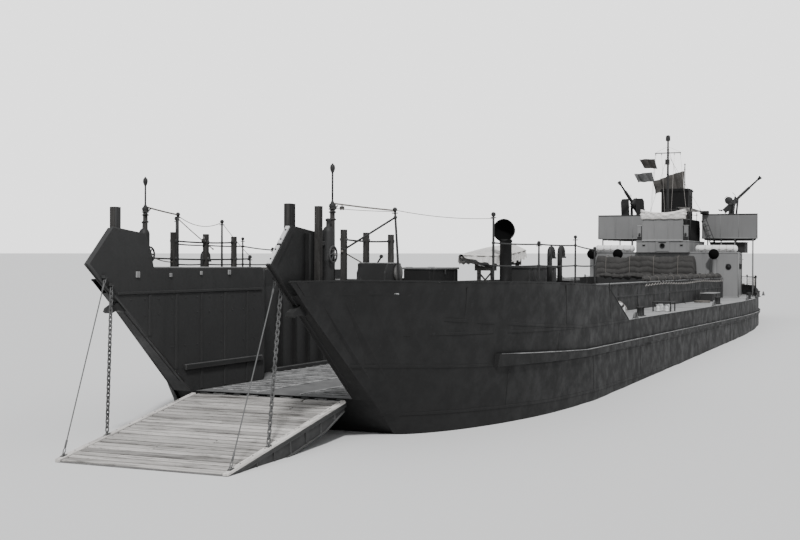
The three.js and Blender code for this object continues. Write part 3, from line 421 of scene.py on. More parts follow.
# CAD nodes that stay in view, with the paint each one wears; those in pairs are named without their side
nodePaint = {
    "hull_bottom": "hullPaint", "aft_hull": "afterHullPaint", "ramp_hinge_pin": "bareSteel",
    "deckhouse": "housePaint", "wheelhouse": "housePaint", "bridge_screen": "housePaint",
    "funnel": "cowlPaintAndLapShadow",
    "mast": "darkPaint", "ensign_staff": "darkPaint", "stern_winch_frame": "darkPaint",
    "kedge_anchor": "darkPaint",
}
pairPaint = {
    "wing_tank": "bowPaint", "bulwark": "hullPaint", "bow_wall": "bowPaint", "coaming": "afterHullPaint",
    "rubbing_strake": "hullPaint", "house_door": "housePaint", "gun_platform": "platformPaint",
    "fore_hatch_lid": "deckPaint", "shaft": "bareSteel", "screw": "bronze", "rudder": "hullPaint",
}
# The port bow is in its own shadow and reads darker than the starboard one
shadowPaint = {"port_bow_wall": "hullPaint", "port_wing_tank": "hullPaint"}


def paintNode(node, paint):
    data = cadNodes[node].data
    data.materials.clear()
    data.materials.append(materials[paint])


pairs = {f"{side}_{part}": paint for side in sideNames for part, paint in pairPaint.items()}
for node, paint in {**nodePaint, **pairs, **shadowPaint}.items():
    paintNode(node, paint)
print("stage: frame painted")
# Shapes: points, faces and smoothness, in metres, laid end to end into one mesh by makePiece
def shapeOf(points, faceSets, smooth=False, uv=None):
    faces = [np.asarray(faces, int) for faces in faceSets if len(faces)]
    return {"points": np.asarray(points, float).reshape(-1, 3), "faces": faces, "smooth": smooth, "uv": uv}


def gridFaces(rows, columns, around=False):
    # Quads of a grid numbered row by row; around joins the last column to the first
    row, column = np.meshgrid(np.arange(rows - 1), np.arange(columns if around else columns - 1),
                              indexing="ij")
    here, beside = row * columns + column, row * columns + (column + 1) % columns
    return np.stack([here, here + columns, beside + columns, beside], -1).reshape(-1, 4)


def boxTemplate():
    # A block with its edges cut: each corner is three points, one full out along each axis
    signs = np.array([(x, y, z) for x in (-1, 1) for y in (-1, 1) for z in (-1, 1)], float)
    full = np.repeat(np.eye(3)[None], 8, 0)
    corner = lambda x, y, z, axis: ((x > 0) * 4 + (y > 0) * 2 + (z > 0)) * 3 + axis
    quads, triangles = [], [[c * 3, c * 3 + 1, c * 3 + 2] for c in range(8)]
    for axis in range(3):
        first, second = [(1, 2), (2, 0), (0, 1)][axis]
        for s in (-1, 1):
            ring = []
            for a, b in ((-1, -1), (1, -1), (1, 1), (-1, 1)):
                place = [0, 0, 0]
                place[axis], place[first], place[second] = s, a, b
                ring.append(corner(*place, axis))
            quads.append(ring)
        for a in (-1, 1):
            for b in (-1, 1):
                low, high = [0, 0, 0], [0, 0, 0]
                low[axis], high[axis] = -1, 1
                low[first] = high[first] = a
                low[second] = high[second] = b
                quads.append([corner(*low, first), corner(*high, first), corner(*high, second),
                              corner(*low, second)])
    points = (signs[:, None, :] * (full + (1 - full) * 0.8)).reshape(-1, 3)
    turned = []
    for face in quads + triangles:
        a, b, c = points[face[:3]]
        outward = np.dot(np.cross(b - a, c - a), points[face].mean(0)) > 0
        turned.append(face if outward else face[::-1])
    quads, triangles = np.array(turned[:len(quads)]), np.array(turned[len(quads):])
    return np.repeat(signs, 3, 0), np.tile(np.eye(3), (8, 1)), quads, triangles


boxSigns, boxAxes, boxQuads, boxTriangles = boxTemplate()


def box(low, high, chamfer=0.003):
    # Each point is the centre plus its signs times the half size, less the chamfer off its own axis
    low, high = np.minimum(low, high).astype(float), np.maximum(low, high).astype(float)
    half = (high - low) / 2
    cut = min(chamfer, 0.45 * half.min())
    points = (low + high) / 2 + boxSigns * (half - cut * (1 - boxAxes))
    return shapeOf(points, [boxQuads, boxTriangles])


def tube(path, radius, sides=8, guide=(0, 0, 1), closed=False):
    # A circle carried along a path and kept square to it: path point plus radius times cosine and sine
    path = np.asarray(path, float)
    ahead = np.roll(path, -1, 0) - np.roll(path, 1, 0) if closed else np.gradient(path, axis=0)
    ahead /= np.linalg.norm(ahead, axis=1, keepdims=True)
    guide = np.asarray(guide, float)
    if np.abs(ahead @ guide).max() > 0.97 * np.linalg.norm(guide):
        guide = np.array([0.31, 0.87, 0.12]) if abs(ahead[0, 1]) < 0.9 else np.array([0.87, 0.12, 0.31])
    side = np.cross(ahead, guide)
    side /= np.linalg.norm(side, axis=1, keepdims=True)
    over = np.cross(side, ahead)
    angles = np.arange(sides) * 2 * np.pi / sides
    radius = np.broadcast_to(np.asarray(radius, float), (len(path),))[:, None, None]
    rings = path[:, None] + radius * (np.cos(angles)[:, None] * side[:, None]
                                      + np.sin(angles)[:, None] * over[:, None])
    if closed:
        rings = np.concatenate([rings, rings[:1]])
        faces = gridFaces(len(path) + 1, sides, True) % (len(path) * sides)
        return shapeOf(rings[:-1], [faces], True)
    ends = [np.arange(sides)[None], np.arange(sides)[None, ::-1] + (len(path) - 1) * sides]
    return shapeOf(rings, [gridFaces(len(path), sides, True)] + ends, True)


def rod(start, end, radius, sides=8, endRadius=None):
    return tube([start, end], [radius, radius if endRadius is None else endRadius], sides)


def turned(profile, origin, axis=(0, 0, 1), sides=16):
    # A profile of radius and height turned about an axis; its ends get flat faces, unless they meet
    profile = np.maximum(np.asarray(profile, float), [[1e-5, -1e9]])
    turn = np.array(Vector((0, 0, 1)).rotation_difference(Vector(axis)).to_matrix())
    angles = np.arange(sides) * 2 * np.pi / sides
    rings = np.stack([profile[:, :1] * np.cos(angles), profile[:, :1] * np.sin(angles),
                      np.repeat(profile[:, 1:], sides, 1)], -1)
    faces = gridFaces(len(profile), sides, True)[:, ::-1]
    ends = [np.arange(sides)[None, ::-1], np.arange(sides)[None] + (len(profile) - 1) * sides]
    if np.allclose(profile[0], profile[-1]):
        rings, faces, ends = rings[:-1], faces % ((len(profile) - 1) * sides), []
    return shapeOf(rings.reshape(-1, 3) @ turn.T + np.asarray(origin), [faces] + ends, True)


def ball(centre, radius, sides=12):
    # A half circle from pole to pole, turned
    angles = np.linspace(-np.pi / 2, np.pi / 2, 7)
    return turned(np.stack([radius * np.cos(angles), radius * np.sin(angles)], 1), centre, sides=sides)


def prism(outline, axis, low, high):
    # An outline in the two other axes, named in the order x, y, z, carried along the named axis
    outline = np.asarray(outline, float)[:, ::-1 if axis == "y" else 1]
    nextPoint = np.roll(outline, -1, 0)
    if np.sum(outline[:, 0] * nextPoint[:, 1] - nextPoint[:, 0] * outline[:, 1]) < 0:
        outline = outline[::-1]
    count = len(outline)
    order = {"x": (1, 2, 0), "y": (2, 0, 1), "z": (0, 1, 2)}[axis]
    points = np.zeros((2, count, 3))
    points[..., order[0]], points[..., order[1]] = outline[:, 0], outline[:, 1]
    points[0, :, order[2]], points[1, :, order[2]] = low, high
    ends = [np.arange(count)[None, ::-1], np.arange(count)[None] + count]
    return shapeOf(points, [gridFaces(2, count, True)[:, ::-1]] + ends)


def sheet(points, smooth=True, uv=True, flip=False):
    # An open surface through a grid of points, with its rows and columns as its UV map
    rows, columns = points.shape[:2]
    faces = gridFaces(rows, columns)
    v, u = np.meshgrid(np.linspace(0, 1, rows), np.linspace(0, 1, columns), indexing="ij")
    laid = np.stack([u, v], -1).reshape(-1, 2) if uv else None
    return {**shapeOf(points, [faces[:, ::-1] if flip else faces], smooth, laid), "open": True}


def facingOut(shape):
    # A closed shape with a negative volume is inside out: its faces are wound the other way
    points = shape["points"] - shape["points"].mean(0)
    volume = 0
    for group in shape["faces"]:
        a = points[group[:, 0]]
        for k in range(1, group.shape[1] - 1):
            volume += np.sum(a * np.cross(points[group[:, k]], points[group[:, k + 1]]))
    turnedOver = volume < 0 and not shape.get("open")
    return [group[:, ::-1] for group in shape["faces"]] if turnedOver else shape["faces"]


def copies(shape, offsets):
    # The same shape at each offset
    offsets = np.atleast_2d(np.asarray(offsets, float))
    count = len(shape["points"])
    starts = np.arange(len(offsets)) * count
    points = (offsets[:, None] + shape["points"][None]).reshape(-1, 3)
    faces = [(starts[:, None, None] + f[None]).reshape(-1, f.shape[1]) for f in shape["faces"]]
    uv = None if shape["uv"] is None else np.tile(shape["uv"], (len(offsets), 1))
    return {**shape, "points": points, "faces": faces, "uv": uv}


def moved(shape, offset=(0, 0, 0), matrix=None):
    points = shape["points"] if matrix is None else shape["points"] @ np.asarray(matrix).T
    return {**shape, "points": points + np.asarray(offset)}


def mirrored(shape):
    # The other side: y turned over, and the faces wound the other way
    return {**shape, "points": shape["points"] * [1, -1, 1], "faces": [f[:, ::-1] for f in shape["faces"]]}


def onSide(shape, sign):
    # A shape drawn to port, for the side asked for
    return shape if sign > 0 else mirrored(shape)


def partsOnSide(parts, sign):
    return [(onSide(shape, sign), finish) for shape, finish in parts]


def slab(x, y, z0, z1, halfX, halfY, chamfer=0.003):
    # A box upright on a place in the plan
    return box((x - halfX, y - halfY, z0), (x + halfX, y + halfY, z1), chamfer)


def circle(count):
    # Cosines and sines of angles evenly round a circle
    angles = np.arange(count) * 2 * np.pi / count
    return np.cos(angles), np.sin(angles)


def bolt(radius, high, topRadius, topHigh, place=(0, 0, 0), axis=(0, 0, 1)):
    # A six-sided head with a cut top
    return turned([(radius, 0), (radius, high), (topRadius, topHigh)], place, axis, 6)


def makePiece(name, parts, body, replaces=()):
    # Parts are (shape, material name) or (shape, material name, tone); they become one mesh object
    names = list(dict.fromkeys(part[1] for part in parts))
    points, faces, finishes, smooth, tones, uvs = [], [], [], [], [], []
    start = 0
    for shape, finish, *tone in parts:
        points.append(shape["points"])
        for group in facingOut(shape):
            faces += (group + start).tolist()
            finishes += [names.index(finish)] * len(group)
            smooth += [shape["smooth"] and group.shape[1] <= 4] * len(group)
            tones += [tone[0] if tone else 0.5] * len(group)
        uvs.append(np.zeros((len(shape["points"]), 2)) if shape["uv"] is None else shape["uv"])
        start += len(shape["points"])
    mesh = bpy.data.meshes.new(name)
    mesh.from_pydata(np.concatenate(points).tolist(), [], faces)
    mesh.polygons.foreach_set("material_index", finishes)
    mesh.polygons.foreach_set("use_smooth", smooth)
    mesh.attributes.new("plankTone", "FLOAT", "FACE").data.foreach_set("value", tones)
    corners = np.zeros(len(mesh.loops), int)
    mesh.loops.foreach_get("vertex_index", corners)
    mesh.uv_layers.new(name="cloth").data.foreach_set("uv", np.concatenate(uvs)[corners].ravel())
    for finish in names:
        mesh.materials.append(materials[finish])
    piece = bpy.data.objects.new(name, mesh)
    bpy.context.scene.collection.objects.link(piece)
    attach(piece, body)
    if replaces:
        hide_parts(*replaces)
    return piece


def spaced(start, end, count):
    # Points evenly along a line
    start, end = np.asarray(start, float), np.asarray(end, float)
    return start + np.linspace(0, 1, count)[:, None] * (end - start)


def hanging(start, end, drop, count=9):
    # A line between two points, let down by drop times 4t(1-t)
    t = np.linspace(0, 1, count)[:, None]
    return spaced(start, end, count) - np.array([0, 0, 1.0]) * drop * 4 * t * (1 - t)


# Ramp: planks laid across steel girders, with worn kerbs, on the slope it rests at
rampValues = {
    "slope": math.radians(10.24),
    "length": 2.285,
    "half": 0.905,
    "plankRows": 24,
    "plankStart": 0.045,
    "plankTop": 0.030,
    "kerbTop": 0.038,
    "girderPlaces": (-0.88, -0.30, 0.30, 0.88),
    "girderLine": ((0.06, -0.025), (0.09, -0.07), (0.5, -0.15), (1.3, -0.165), (2.0, -0.12), (2.275, -0.04)),
    "lugPlaces": (-0.6, -0.2, 0.2, 0.6),
    "eyePlaces": (1.55, 2.19),
    "kerbWidth": 0.055,
    "kerbLengths": ((0.06, 0.80), (0.806, 1.53), (1.536, 2.285)),
    "darkRows": 9,  # planks by the sill, which are darker
}
rampTurn = np.array(Euler((0, rampValues["slope"], 0)).to_matrix())


def ontoRamp(shape):
    # From the ramp laid flat along +X to its rest slope about the hinge
    return moved(shape, hinge, rampTurn)


def onRamp(*place):
    return rampTurn @ np.array(place, float) + hinge


def rampPlanks(values, rng):
    # Each row is one or two planks with their own tone, height and length
    pitch = (values["length"] - values["plankStart"]) / values["plankRows"]
    edge = values["half"] - 0.062
    parts = []
    for row in range(values["plankRows"]):
        x0 = values["plankStart"] + row * pitch
        joint = rng.uniform(-0.5, 0.5)
        pieces = [(-edge, edge)] if row % 3 else [(-edge, joint - 0.002), (joint + 0.002, edge)]
        shade = 0.12 if row < values["darkRows"] else 0.0
        for y0, y1 in pieces:
            top = values["plankTop"] + rng.uniform(-0.0035, 0.0015)
            ends = rng.uniform(-0.008, 0.006, 2)
            plank = box((x0 + rng.uniform(0.012, 0.017), y0 + ends[0], 0.008),
                        (x0 + pitch - rng.uniform(0.012, 0.017), y1 + ends[1], top), 0.004)
            parts.append((ontoRamp(plank), "rampTimber",
                          float(np.clip(rng.normal(0.55 - shade, 0.22), 0, 1))))
    return parts


def rampKerbs(values, rng):
    # Three lengths of timber along each edge, their tops worn pale, bolted down
    parts = []
    for side in (-1, 1):
        for start, end in values["kerbLengths"]:
            low = (start, side * (values["half"] - values["kerbWidth"]), 0.008)
            high = (end, side * values["half"], values["kerbTop"] + rng.uniform(-0.001, 0.001))
            parts.append((ontoRamp(box(low, high, 0.006)), "kerbTimber", float(rng.uniform(0.6, 1.0))))
        bolts = [(x, side * (values["half"] - 0.028), values["kerbTop"] - 0.002)
                 for x in np.arange(0.14, 2.2, 0.21)]
        parts.append((ontoRamp(copies(bolt(0.007, 0.004, 0.004, 0.006), bolts)), "darkSteel"))
    return parts


def rampGirders(values):
    # Plate webs with a flange along the curved lower edge, and cross channels between them
    line = np.array(values["girderLine"])
    parts = []
    for y in values["girderPlaces"]:
        outer = abs(y) > 0.8
        web = 0.012 if outer else 0.008
        outline = np.concatenate([line, [(values["length"] - 0.01, -0.022), (0.06, -0.022)]])
        parts.append((prism(outline, "y", y - web, y + web), "darkSteel"))
        for (xa, za), (xb, zb) in zip(line[1:-1], line[2:]):
            flange = prism([(xa, za), (xb, zb), (xb, zb + 0.012), (xa, za + 0.012)], "y", y - 0.025,
                           y + 0.025)
            parts.append((flange, "darkSteel"))
        for x in np.arange(0.3, 2.1, 0.3):
            depth = np.interp(x, line[:, 0], line[:, 1])
            parts.append((slab(x, y, depth + 0.008, -0.024, 0.005, 0.024, 0.002), "darkSteel"))
    for x in np.arange(0.22, 2.2, 0.27):
        depth = np.interp(x, line[:, 0], line[:, 1]) * 0.6
        parts += [(slab(x, 0, depth, -0.024, 0.005, 0.868, 0.002), "darkSteel"),
                  (slab(x, 0, depth - 0.008, depth, 0.02, 0.855, 0.002), "darkSteel")]
    return [(ontoRamp(shape), finish) for shape, finish in parts]


def rampFrame(values):
    # Deck plate, edge channels, hinge lugs, the steel nose, and the eyes for chains and wires
    half, length = values["half"], values["length"]
    parts = [(box((0.042, -half + 0.004, -0.024), (length - 0.02, half - 0.004, 0.009), 0.003), "darkSteel"),
             (box((length - 0.045, -half, -0.03), (length, half, 0.020), 0.008), "bareSteel")]
    for side in (-1, 1):
        parts.append((box((0.05, side * (half - 0.012), -0.03), (length - 0.04, side * half, 0.006), 0.003),
                      "darkSteel"))
        for along in values["eyePlaces"]:
            y = side * (half - 0.027)
            parts.append((slab(along, y, 0.036, 0.043, 0.032, 0.021), "darkSteel"))
            angles = np.linspace(0, np.pi, 9)
            hoopX, hoopZ = along + 0.017 * np.cos(angles), 0.041 + 0.015 * np.sin(angles)
            hoop = np.stack([hoopX, 0 * angles + y, hoopZ], 1)
            parts.append((tube(hoop, 0.0052, 6, guide=(0, 1, 0)), "bareSteel"))
    for y in values["lugPlaces"]:
        outline = [(-0.024, -0.024), (-0.026, 0.006), (-0.012, 0.024), (0.0, 0.027), (0.06, 0.018),
                   (0.06, -0.028)]
        for start in (-0.07, 0.04):
            parts.append((prism(outline, "y", y + start, y + start + 0.03), "darkSteel"))
        boss = turned([(0.0146, -0.07), (0.023, -0.07), (0.023, 0.07), (0.0146, 0.07), (0.0146, -0.07)],
                      (0, y, 0),
                      (0, 1, 0), 16)
        parts.append((boss, "bareSteel"))
    return [(ontoRamp(shape), finish) for shape, finish in parts]


rampRandom = np.random.default_rng(4)
makePiece("ramp_planking", rampPlanks(rampValues, rampRandom) + rampKerbs(rampValues, rampRandom), "ramp")
makePiece("ramp_frame", rampFrame(rampValues) + rampGirders(rampValues), "ramp", ["ramp"])
print("stage: ramp")


# Hull side: the plan is a curve at each height, drawn from the same few sizes as the solid
hullValues = {
    "bow": 12.1875, "halfBeam": 2.36, "hinge": 10.478, "tankDeck": 0.625, "hornTip": 1.970,
    "taper": -3.522, "sternKnee": -8.022, "sternFullness": 1.85, "frameSpacing": 0.34, "bilge": 0.045,
    "standOff": 0.004, "dish": 0.0028, "dent": 0.0045, "waves": 14, "searchColumns": 2400,
}
# Top edge of the plating [x, z]: round the stern, along the side deck, up the slope, along the raised side
sheerLine = np.array([(-12.3, 1.465), (-10.5, 1.455), (-7.2, 1.258), (-7.05, 1.219), (4.955, 1.219),
                      (4.965, 1.236),
                      (6.047, 1.706), (8.283, 1.775), (10.103, 1.800), (11.010, 1.815), (12.5, 1.815)])


def controlPoints(z):
    # The four points of the bow curve at a height: stem, knee, shoulder and the start of the straight side
    v = hullValues
    rise = (v["bow"] - v["hinge"]) / (v["hornTip"] - v["tankDeck"])
    above = np.maximum(z - v["tankDeck"], 0)
    below = np.maximum(v["tankDeck"] - z, 0)
    stem = v["hinge"] + above * rise - below * 1.08
    lean = np.where(z > v["tankDeck"], 0.58, 0.717)
    knee = np.minimum(v["hinge"] - 0.171 + (z - v["tankDeck"]) * lean, stem)
    t = np.clip((z - 0.219) / 1.18, 0, 1)
    front = 1.225 - 0.15 * t
    swell = 0.225 - 0.15 * t
    return [(stem, front), (knee, front + swell), (knee - 0.9, 2.25 + 0 * z),
            (knee - 3.575, v["halfBeam"] + 0 * z)]


def curveAt(t, points):
    # Bernstein weights of a cubic curve: (1-t)^3, 3t(1-t)^2, 3t^2(1-t), t^3
    weights = [(1 - t) ** 3, 3 * t * (1 - t) ** 2, 3 * t ** 2 * (1 - t), t ** 3]
    return [sum(w * p[axis] for w, p in zip(weights, points)) for axis in (0, 1)]


def hullAt(u, z):
    # u runs 0 to 1 round the bow, 1 to 2 along the straight side and 2 to 3 round the stern
    v = hullValues
    u, z = np.broadcast_arrays(np.asarray(u, float), np.asarray(z, float))
    bowPoints = controlPoints(z)
    bowX, bowY = curveAt(np.clip(u, 0, 1), bowPoints)
    sternPoints = [(v["taper"], v["halfBeam"]), (v["sternKnee"], v["halfBeam"]),
                   (-v["bow"], v["sternFullness"]),
                   (-v["bow"], 0)]
    sternX, sternY = curveAt(np.clip(u - 2, 0, 1), sternPoints)
    straight = bowPoints[3][0] + (u - 1) * (v["taper"] - bowPoints[3][0])
    x = np.where(u <= 1, bowX, np.where(u >= 2, sternX, straight))
    y = np.where(u <= 1, bowY, np.where(u >= 2, sternY, v["halfBeam"]))
    inset = np.interp(z, [0, 0.05, 0.18], [0.13, 0.045, 0])
    return np.stack([x * (1 - inset / v["bow"]), y * (1 - inset / v["halfBeam"]), z], -1)


def topAt(u):
    # Where the column at u meets the sheer line, found by stepping down from the bow's height
    z = np.full_like(u, 1.8)
    for _ in range(12):
        z = np.interp(hullAt(u, z)[..., 0], sheerLine[:, 0], sheerLine[:, 1])
    return z


def ripple(x, z, seed):
    # Uneven plate: a sum of slow waves, with directions and lengths drawn once
    rng = np.random.default_rng(seed)
    total = np.zeros_like(x)
    for _ in range(hullValues["waves"]):
        length, phase, lean = rng.uniform(0.5, 2.2), rng.uniform(0, 6.28), rng.normal(0, 0.7)
        total += np.sin(2 * np.pi * (x + lean * z) / length + phase)
    return total / math.sqrt(hullValues["waves"])


def standAt(x, z, side, fade=1.0):
    # How far the plate stands off the solid: slow waves, less the dish between frames
    height = np.clip((z - 0.5) / 0.8, 0, 1)
    dish = np.sin(np.pi * x / hullValues["frameSpacing"]) ** 2 * np.sin(np.pi * height)
    wave = ripple(x, z, 11 if side > 0 else 12)
    lift = (hullValues["dent"] * (wave + 1) - hullValues["dish"] * dish).clip(-0.002, 0.02)
    return hullValues["standOff"] + lift * fade


hullColumns = np.concatenate([np.linspace(0, 1, 110), np.linspace(1, 2, 180)[1:],
                              np.linspace(2, 3, 100)[1:]])


def plating(side):
    # Rows rise from the bilge to the sheer line; the plate dishes between frames and waves a little
    top = topAt(hullColumns)
    rise = np.linspace(0, 1, 64)[:, None]
    z = hullValues["bilge"] + rise * (top - hullValues["bilge"])
    points = hullAt(hullColumns[None], z)
    normal = np.cross(np.gradient(points, axis=1), np.gradient(points, axis=0))
    normal /= np.linalg.norm(normal, axis=-1, keepdims=True)
    x = points[..., 0]
    fade = np.clip(rise * 12, 0, 1) * np.clip((1 - rise) * 12, 0, 1)
    skin = points + normal * standAt(x, z, side, fade)[..., None]
    skin[..., 1] = np.maximum(skin[..., 1], 0)
    return onSide(sheet(skin, uv=False, flip=True), side)


def onHull(xs, zs, off=0.0):
    # Points on the port side of the hull at given x and z, found by searching the columns
    xs, zs = np.broadcast_arrays(np.asarray(xs, float), np.asarray(zs, float))
    fine = np.linspace(0, 3, hullValues["searchColumns"])
    offs = np.broadcast_to(off, xs.shape)
    found = []
    for x, z, off in zip(xs.ravel(), zs.ravel(), offs.ravel()):
        line = hullAt(fine, np.full_like(fine, z))
        place = np.interp(-x, -line[:, 0], fine)
        before, here, after = hullAt(np.array([place - 0.01, place, place + 0.01]).clip(0, 3), np.full(3, z))
        run = after - before
        normal = np.array([run[1], -run[0], 0])
        normal /= np.linalg.norm(normal) + 1e-12
        if normal[1] < 0 and abs(normal[1]) > 0.05:
            normal = -normal
        found.append(here + normal * off)
    return np.array(found).reshape(xs.shape + (3,))


def seamStrip(line, width, proud, side, count=60):
    # A plate edge: a strip along a line on the side, its edges falling back to the plate
    line = np.array(line, float)
    run = np.concatenate([[0], np.cumsum(np.linalg.norm(np.diff(line, axis=0), axis=1))])
    at = np.linspace(0, run[-1], count)
    x, z = np.interp(at, run, line[:, 0]), np.interp(at, run, line[:, 1])
    slope = np.stack([np.gradient(x), np.gradient(z)], -1)
    slope /= np.linalg.norm(slope, axis=1, keepdims=True)
    across = np.array([-0.5, -0.42, 0.42, 0.5]) * width
    lift = np.array([-0.006, proud, proud, -0.006])
    rows = []
    for a, h in zip(across, lift):
        rowX, rowZ = x - slope[:, 1] * a, z + slope[:, 0] * a
        rows.append(onHull(rowX, rowZ, standAt(rowX, rowZ, side) + h))
    return sheet(np.stack(rows), smooth=False, uv=False)


# Lap seams seen on the side, as [x, z] lines: low, middle, upper and at the bilge
seamLines = (
    ((10.95, 1.000), (9.60, 0.930), (8.0, 0.890), (4.0, 0.860), (-6.0, 0.850), (-11.2, 0.86)),
    ((11.32, 1.296), (10.10, 1.280), (9.20, 1.268), (8.37, 1.253), (6.60, 1.236), (4.98, 1.228)),
    ((11.50, 1.450), (10.134, 1.433), (9.49, 1.382), (8.80, 1.336), (7.885, 1.278), (7.30, 1.250)),
    ((10.30, 0.470), (8.0, 0.440), (0.0, 0.430), (-7.0, 0.430)),
)
# Butts of the plates: foot, head, how far the head leans forward, and where each one is
buttRows = (
    (0.45, 0.85, 0.03, (8.9, 6.7, 4.3, 1.9, -0.6, -3.0, -5.4, -7.7, -9.6)),
    (1.28, 1.74, 0.1, (9.7, 7.7, 5.9)),
    (0.88, 1.20, 0.0, (7.9, 5.5, 3.1, 0.7, -1.8, -4.2, -6.6, -8.8)),
)


def hullSeams(side):
    strips = [seamStrip(line, 0.034, 0.0045, side, 120) for line in seamLines]
    for low, high, lean, places in buttRows:
        strips += [seamStrip([(x, low), (x + lean, high)], 0.020, 0.0032, side, 12) for x in places]
    return strips


def gunwale(side):
    # Half-round bead along the top edge, from the stem to the middle of the stern
    u = hullColumns
    top = topAt(u)
    line = hullAt(u, top)
    line[:, 2] = top + 0.004
    line[:, 1] = np.maximum(line[:, 1], 0)
    return onSide(tube(line, 0.011, 6), side)


def deckEdge(side):
    # Angle bar along the side deck's edge, worn bright by ropes
    x = np.linspace(4.7, -7.1, 60)
    line = onHull(x, np.full_like(x, 1.219))
    return onSide(tube(line - [0, 0.012, -0.004], 0.012, 4), side)


strakeReach = 0.045  # how far the strake stands out from the side
strakeTop = np.array([(-12.3, 0.925), (7.040, 0.965), (9.190, 1.035)])


def strakeHighlight(side):
    # A pale strip on the rubbing strake's upper edge, a painted highlight in the worn steel paint, from its
    # square forward end to the stern
    x = np.linspace(9.12, -11.6, 240)
    z = np.interp(x, strakeTop[:, 0], strakeTop[:, 1])
    wider = [1, 1 + strakeReach / hullValues["halfBeam"], 1]
    line = onHull(x, z) * wider + np.sign(x)[:, None] * [0.036, 0, 0]
    return onSide(tube(line, 0.0055 + 0.002 * np.sin(x * 3.3) * np.sin(x * 7.1), 6), side)


for side, sign in sideNames.items():
    makePiece(f"{side}_hull_plating", [(plating(sign), "sidePaint")], "hull")
    # The shadow of each lap is painted: a thin dark strip under it, in the dark cowl paint
    shadows = [seamStrip([(x, z - 0.018) for x, z in line], 0.011, 0.0055, sign, 120) for line in seamLines]
    seams = [(strip, "sidePaint") for strip in hullSeams(sign)] + [(strip, "cowlPaintAndLapShadow") for strip in shadows]
    makePiece(f"{side}_hull_seams", partsOnSide(seams, sign), "hull")
    edges = [(gunwale(sign), "sidePaint"), (deckEdge(sign), "wornSteelAndStrakeHighlight"), (strakeHighlight(sign), "wornSteelAndStrakeHighlight")]
    makePiece(f"{side}_gunwale", edges, "hull")
print("stage: hull plating")


# Bow: horns with their facings, posts and stays; places are [x, z] on the walls of the gateway
bowValues = {
    "gateway": 0.95, "wall": 0.045, "flange": 0.062, "foreDeck": 1.690,
    "horn": ((11.832, 1.690), (12.1875, 1.970), (11.832, 2.320), (11.301, 2.265), (11.228, 2.145)),
    "wallTop": {"port": 1.815, "starboard": 1.925}, "stemFoot": (10.62, 0.742), "stemRake": 1.271,
    # x and head of the stiffeners on the outer face; those without a head stop under the wall's top
    "stiffeners": ((11.55, 2.26), (11.30, 2.22), (10.75, None), (10.15, None), (9.6, None)),
}


def alongEdge(start, end, low, high, thickness):
    # A bar laid on an edge of the horn, from y low to y high, standing out by its thickness
    start, end = np.array(start, float), np.array(end, float)
    run = (end - start) / np.linalg.norm(end - start)
    out = np.array([run[1], -run[0]])
    return prism([start, end, end + out * thickness, start + out * thickness], "y", low, high)


def between(start, end, t):
    return tuple(np.array(start, float) + (np.array(end, float) - np.array(start, float)) * t)


def hornTrim(side):
    # Rounded bars along the edges, a pale facing up the port horn, stiffeners, bolts and plates
    foot, tip, peak, back, hollow = bowValues["horn"]
    inner, outer = bowValues["gateway"], bowValues["gateway"] + bowValues["flange"]
    wallTop = bowValues["wallTop"][side]
    parts = []

    def bar(start, end, y, radius, sides, finish):
        line = spaced((start[0], y, start[1]), (end[0], y, end[1]), 2)
        parts.append((tube(line, radius, sides), finish))

    edge = [peak, back, hollow, (11.163, wallTop + 0.005), (9.02, wallTop)]
    for start, end in zip(edge, edge[1:]):
        bar(start, end, inner + 0.022, 0.014, 8, "wornSteelAndStrakeHighlight" if start[0] < 11.2 else "bowPaint")
    stem = [bowValues["stemFoot"], foot, tip]
    for start, end in zip(stem, stem[1:]):
        for y in (outer - 0.008, inner + 0.006):
            bar(start, end, y, 0.010, 6, "bowPaint")
    if side == "port":
        for t0, t1 in ((0.02, 0.47), (0.53, 0.97)):
            parts.append((alongEdge(between(tip, peak, t0), between(tip, peak, t1), inner + 0.008,
                                    inner + 0.046, 0.014),
                          "whitePaint"))
        for t in (0.12, 0.36, 0.62, 0.86):
            place = between(tip, peak, t)
            parts.append((ball((place[0] + 0.012, inner + 0.03, place[1] + 0.012), 0.009, 6), "darkSteel"))
    head = bolt(0.009, 0.005, 0.005, 0.008, axis=(0, 1, 0))
    face = inner + bowValues["wall"]
    rows = [between(tip, peak, t) for t in np.linspace(0.08, 0.95, 9)]
    rows += [between(foot, tip, t) for t in np.linspace(0.1, 0.9, 6)]
    inward = np.array([-0.05, 0, -0.012])
    parts.append((copies(head, [np.array([x, face, z]) + inward for x, z in rows]), "darkSteel"))
    for x, high in bowValues["stiffeners"]:
        high = high or wallTop - 0.03
        parts.append((box((x - 0.006, face, 1.70), (x + 0.006, face + 0.045, high), 0.003), "bowPaint"))
        parts.append((box((x - 0.02, face + 0.041, 1.70), (x + 0.02, face + 0.049, high), 0.002),
                      "bowPaint"))
    # On the port side the bow paint gives way to the darker hull paint: painted shade for the port bow
    shaded = {"bowPaint": "hullPaint"} if side == "port" else {}
    return partsOnSide([(shape, shaded.get(finish, finish)) for shape, finish in parts], sideNames[side])


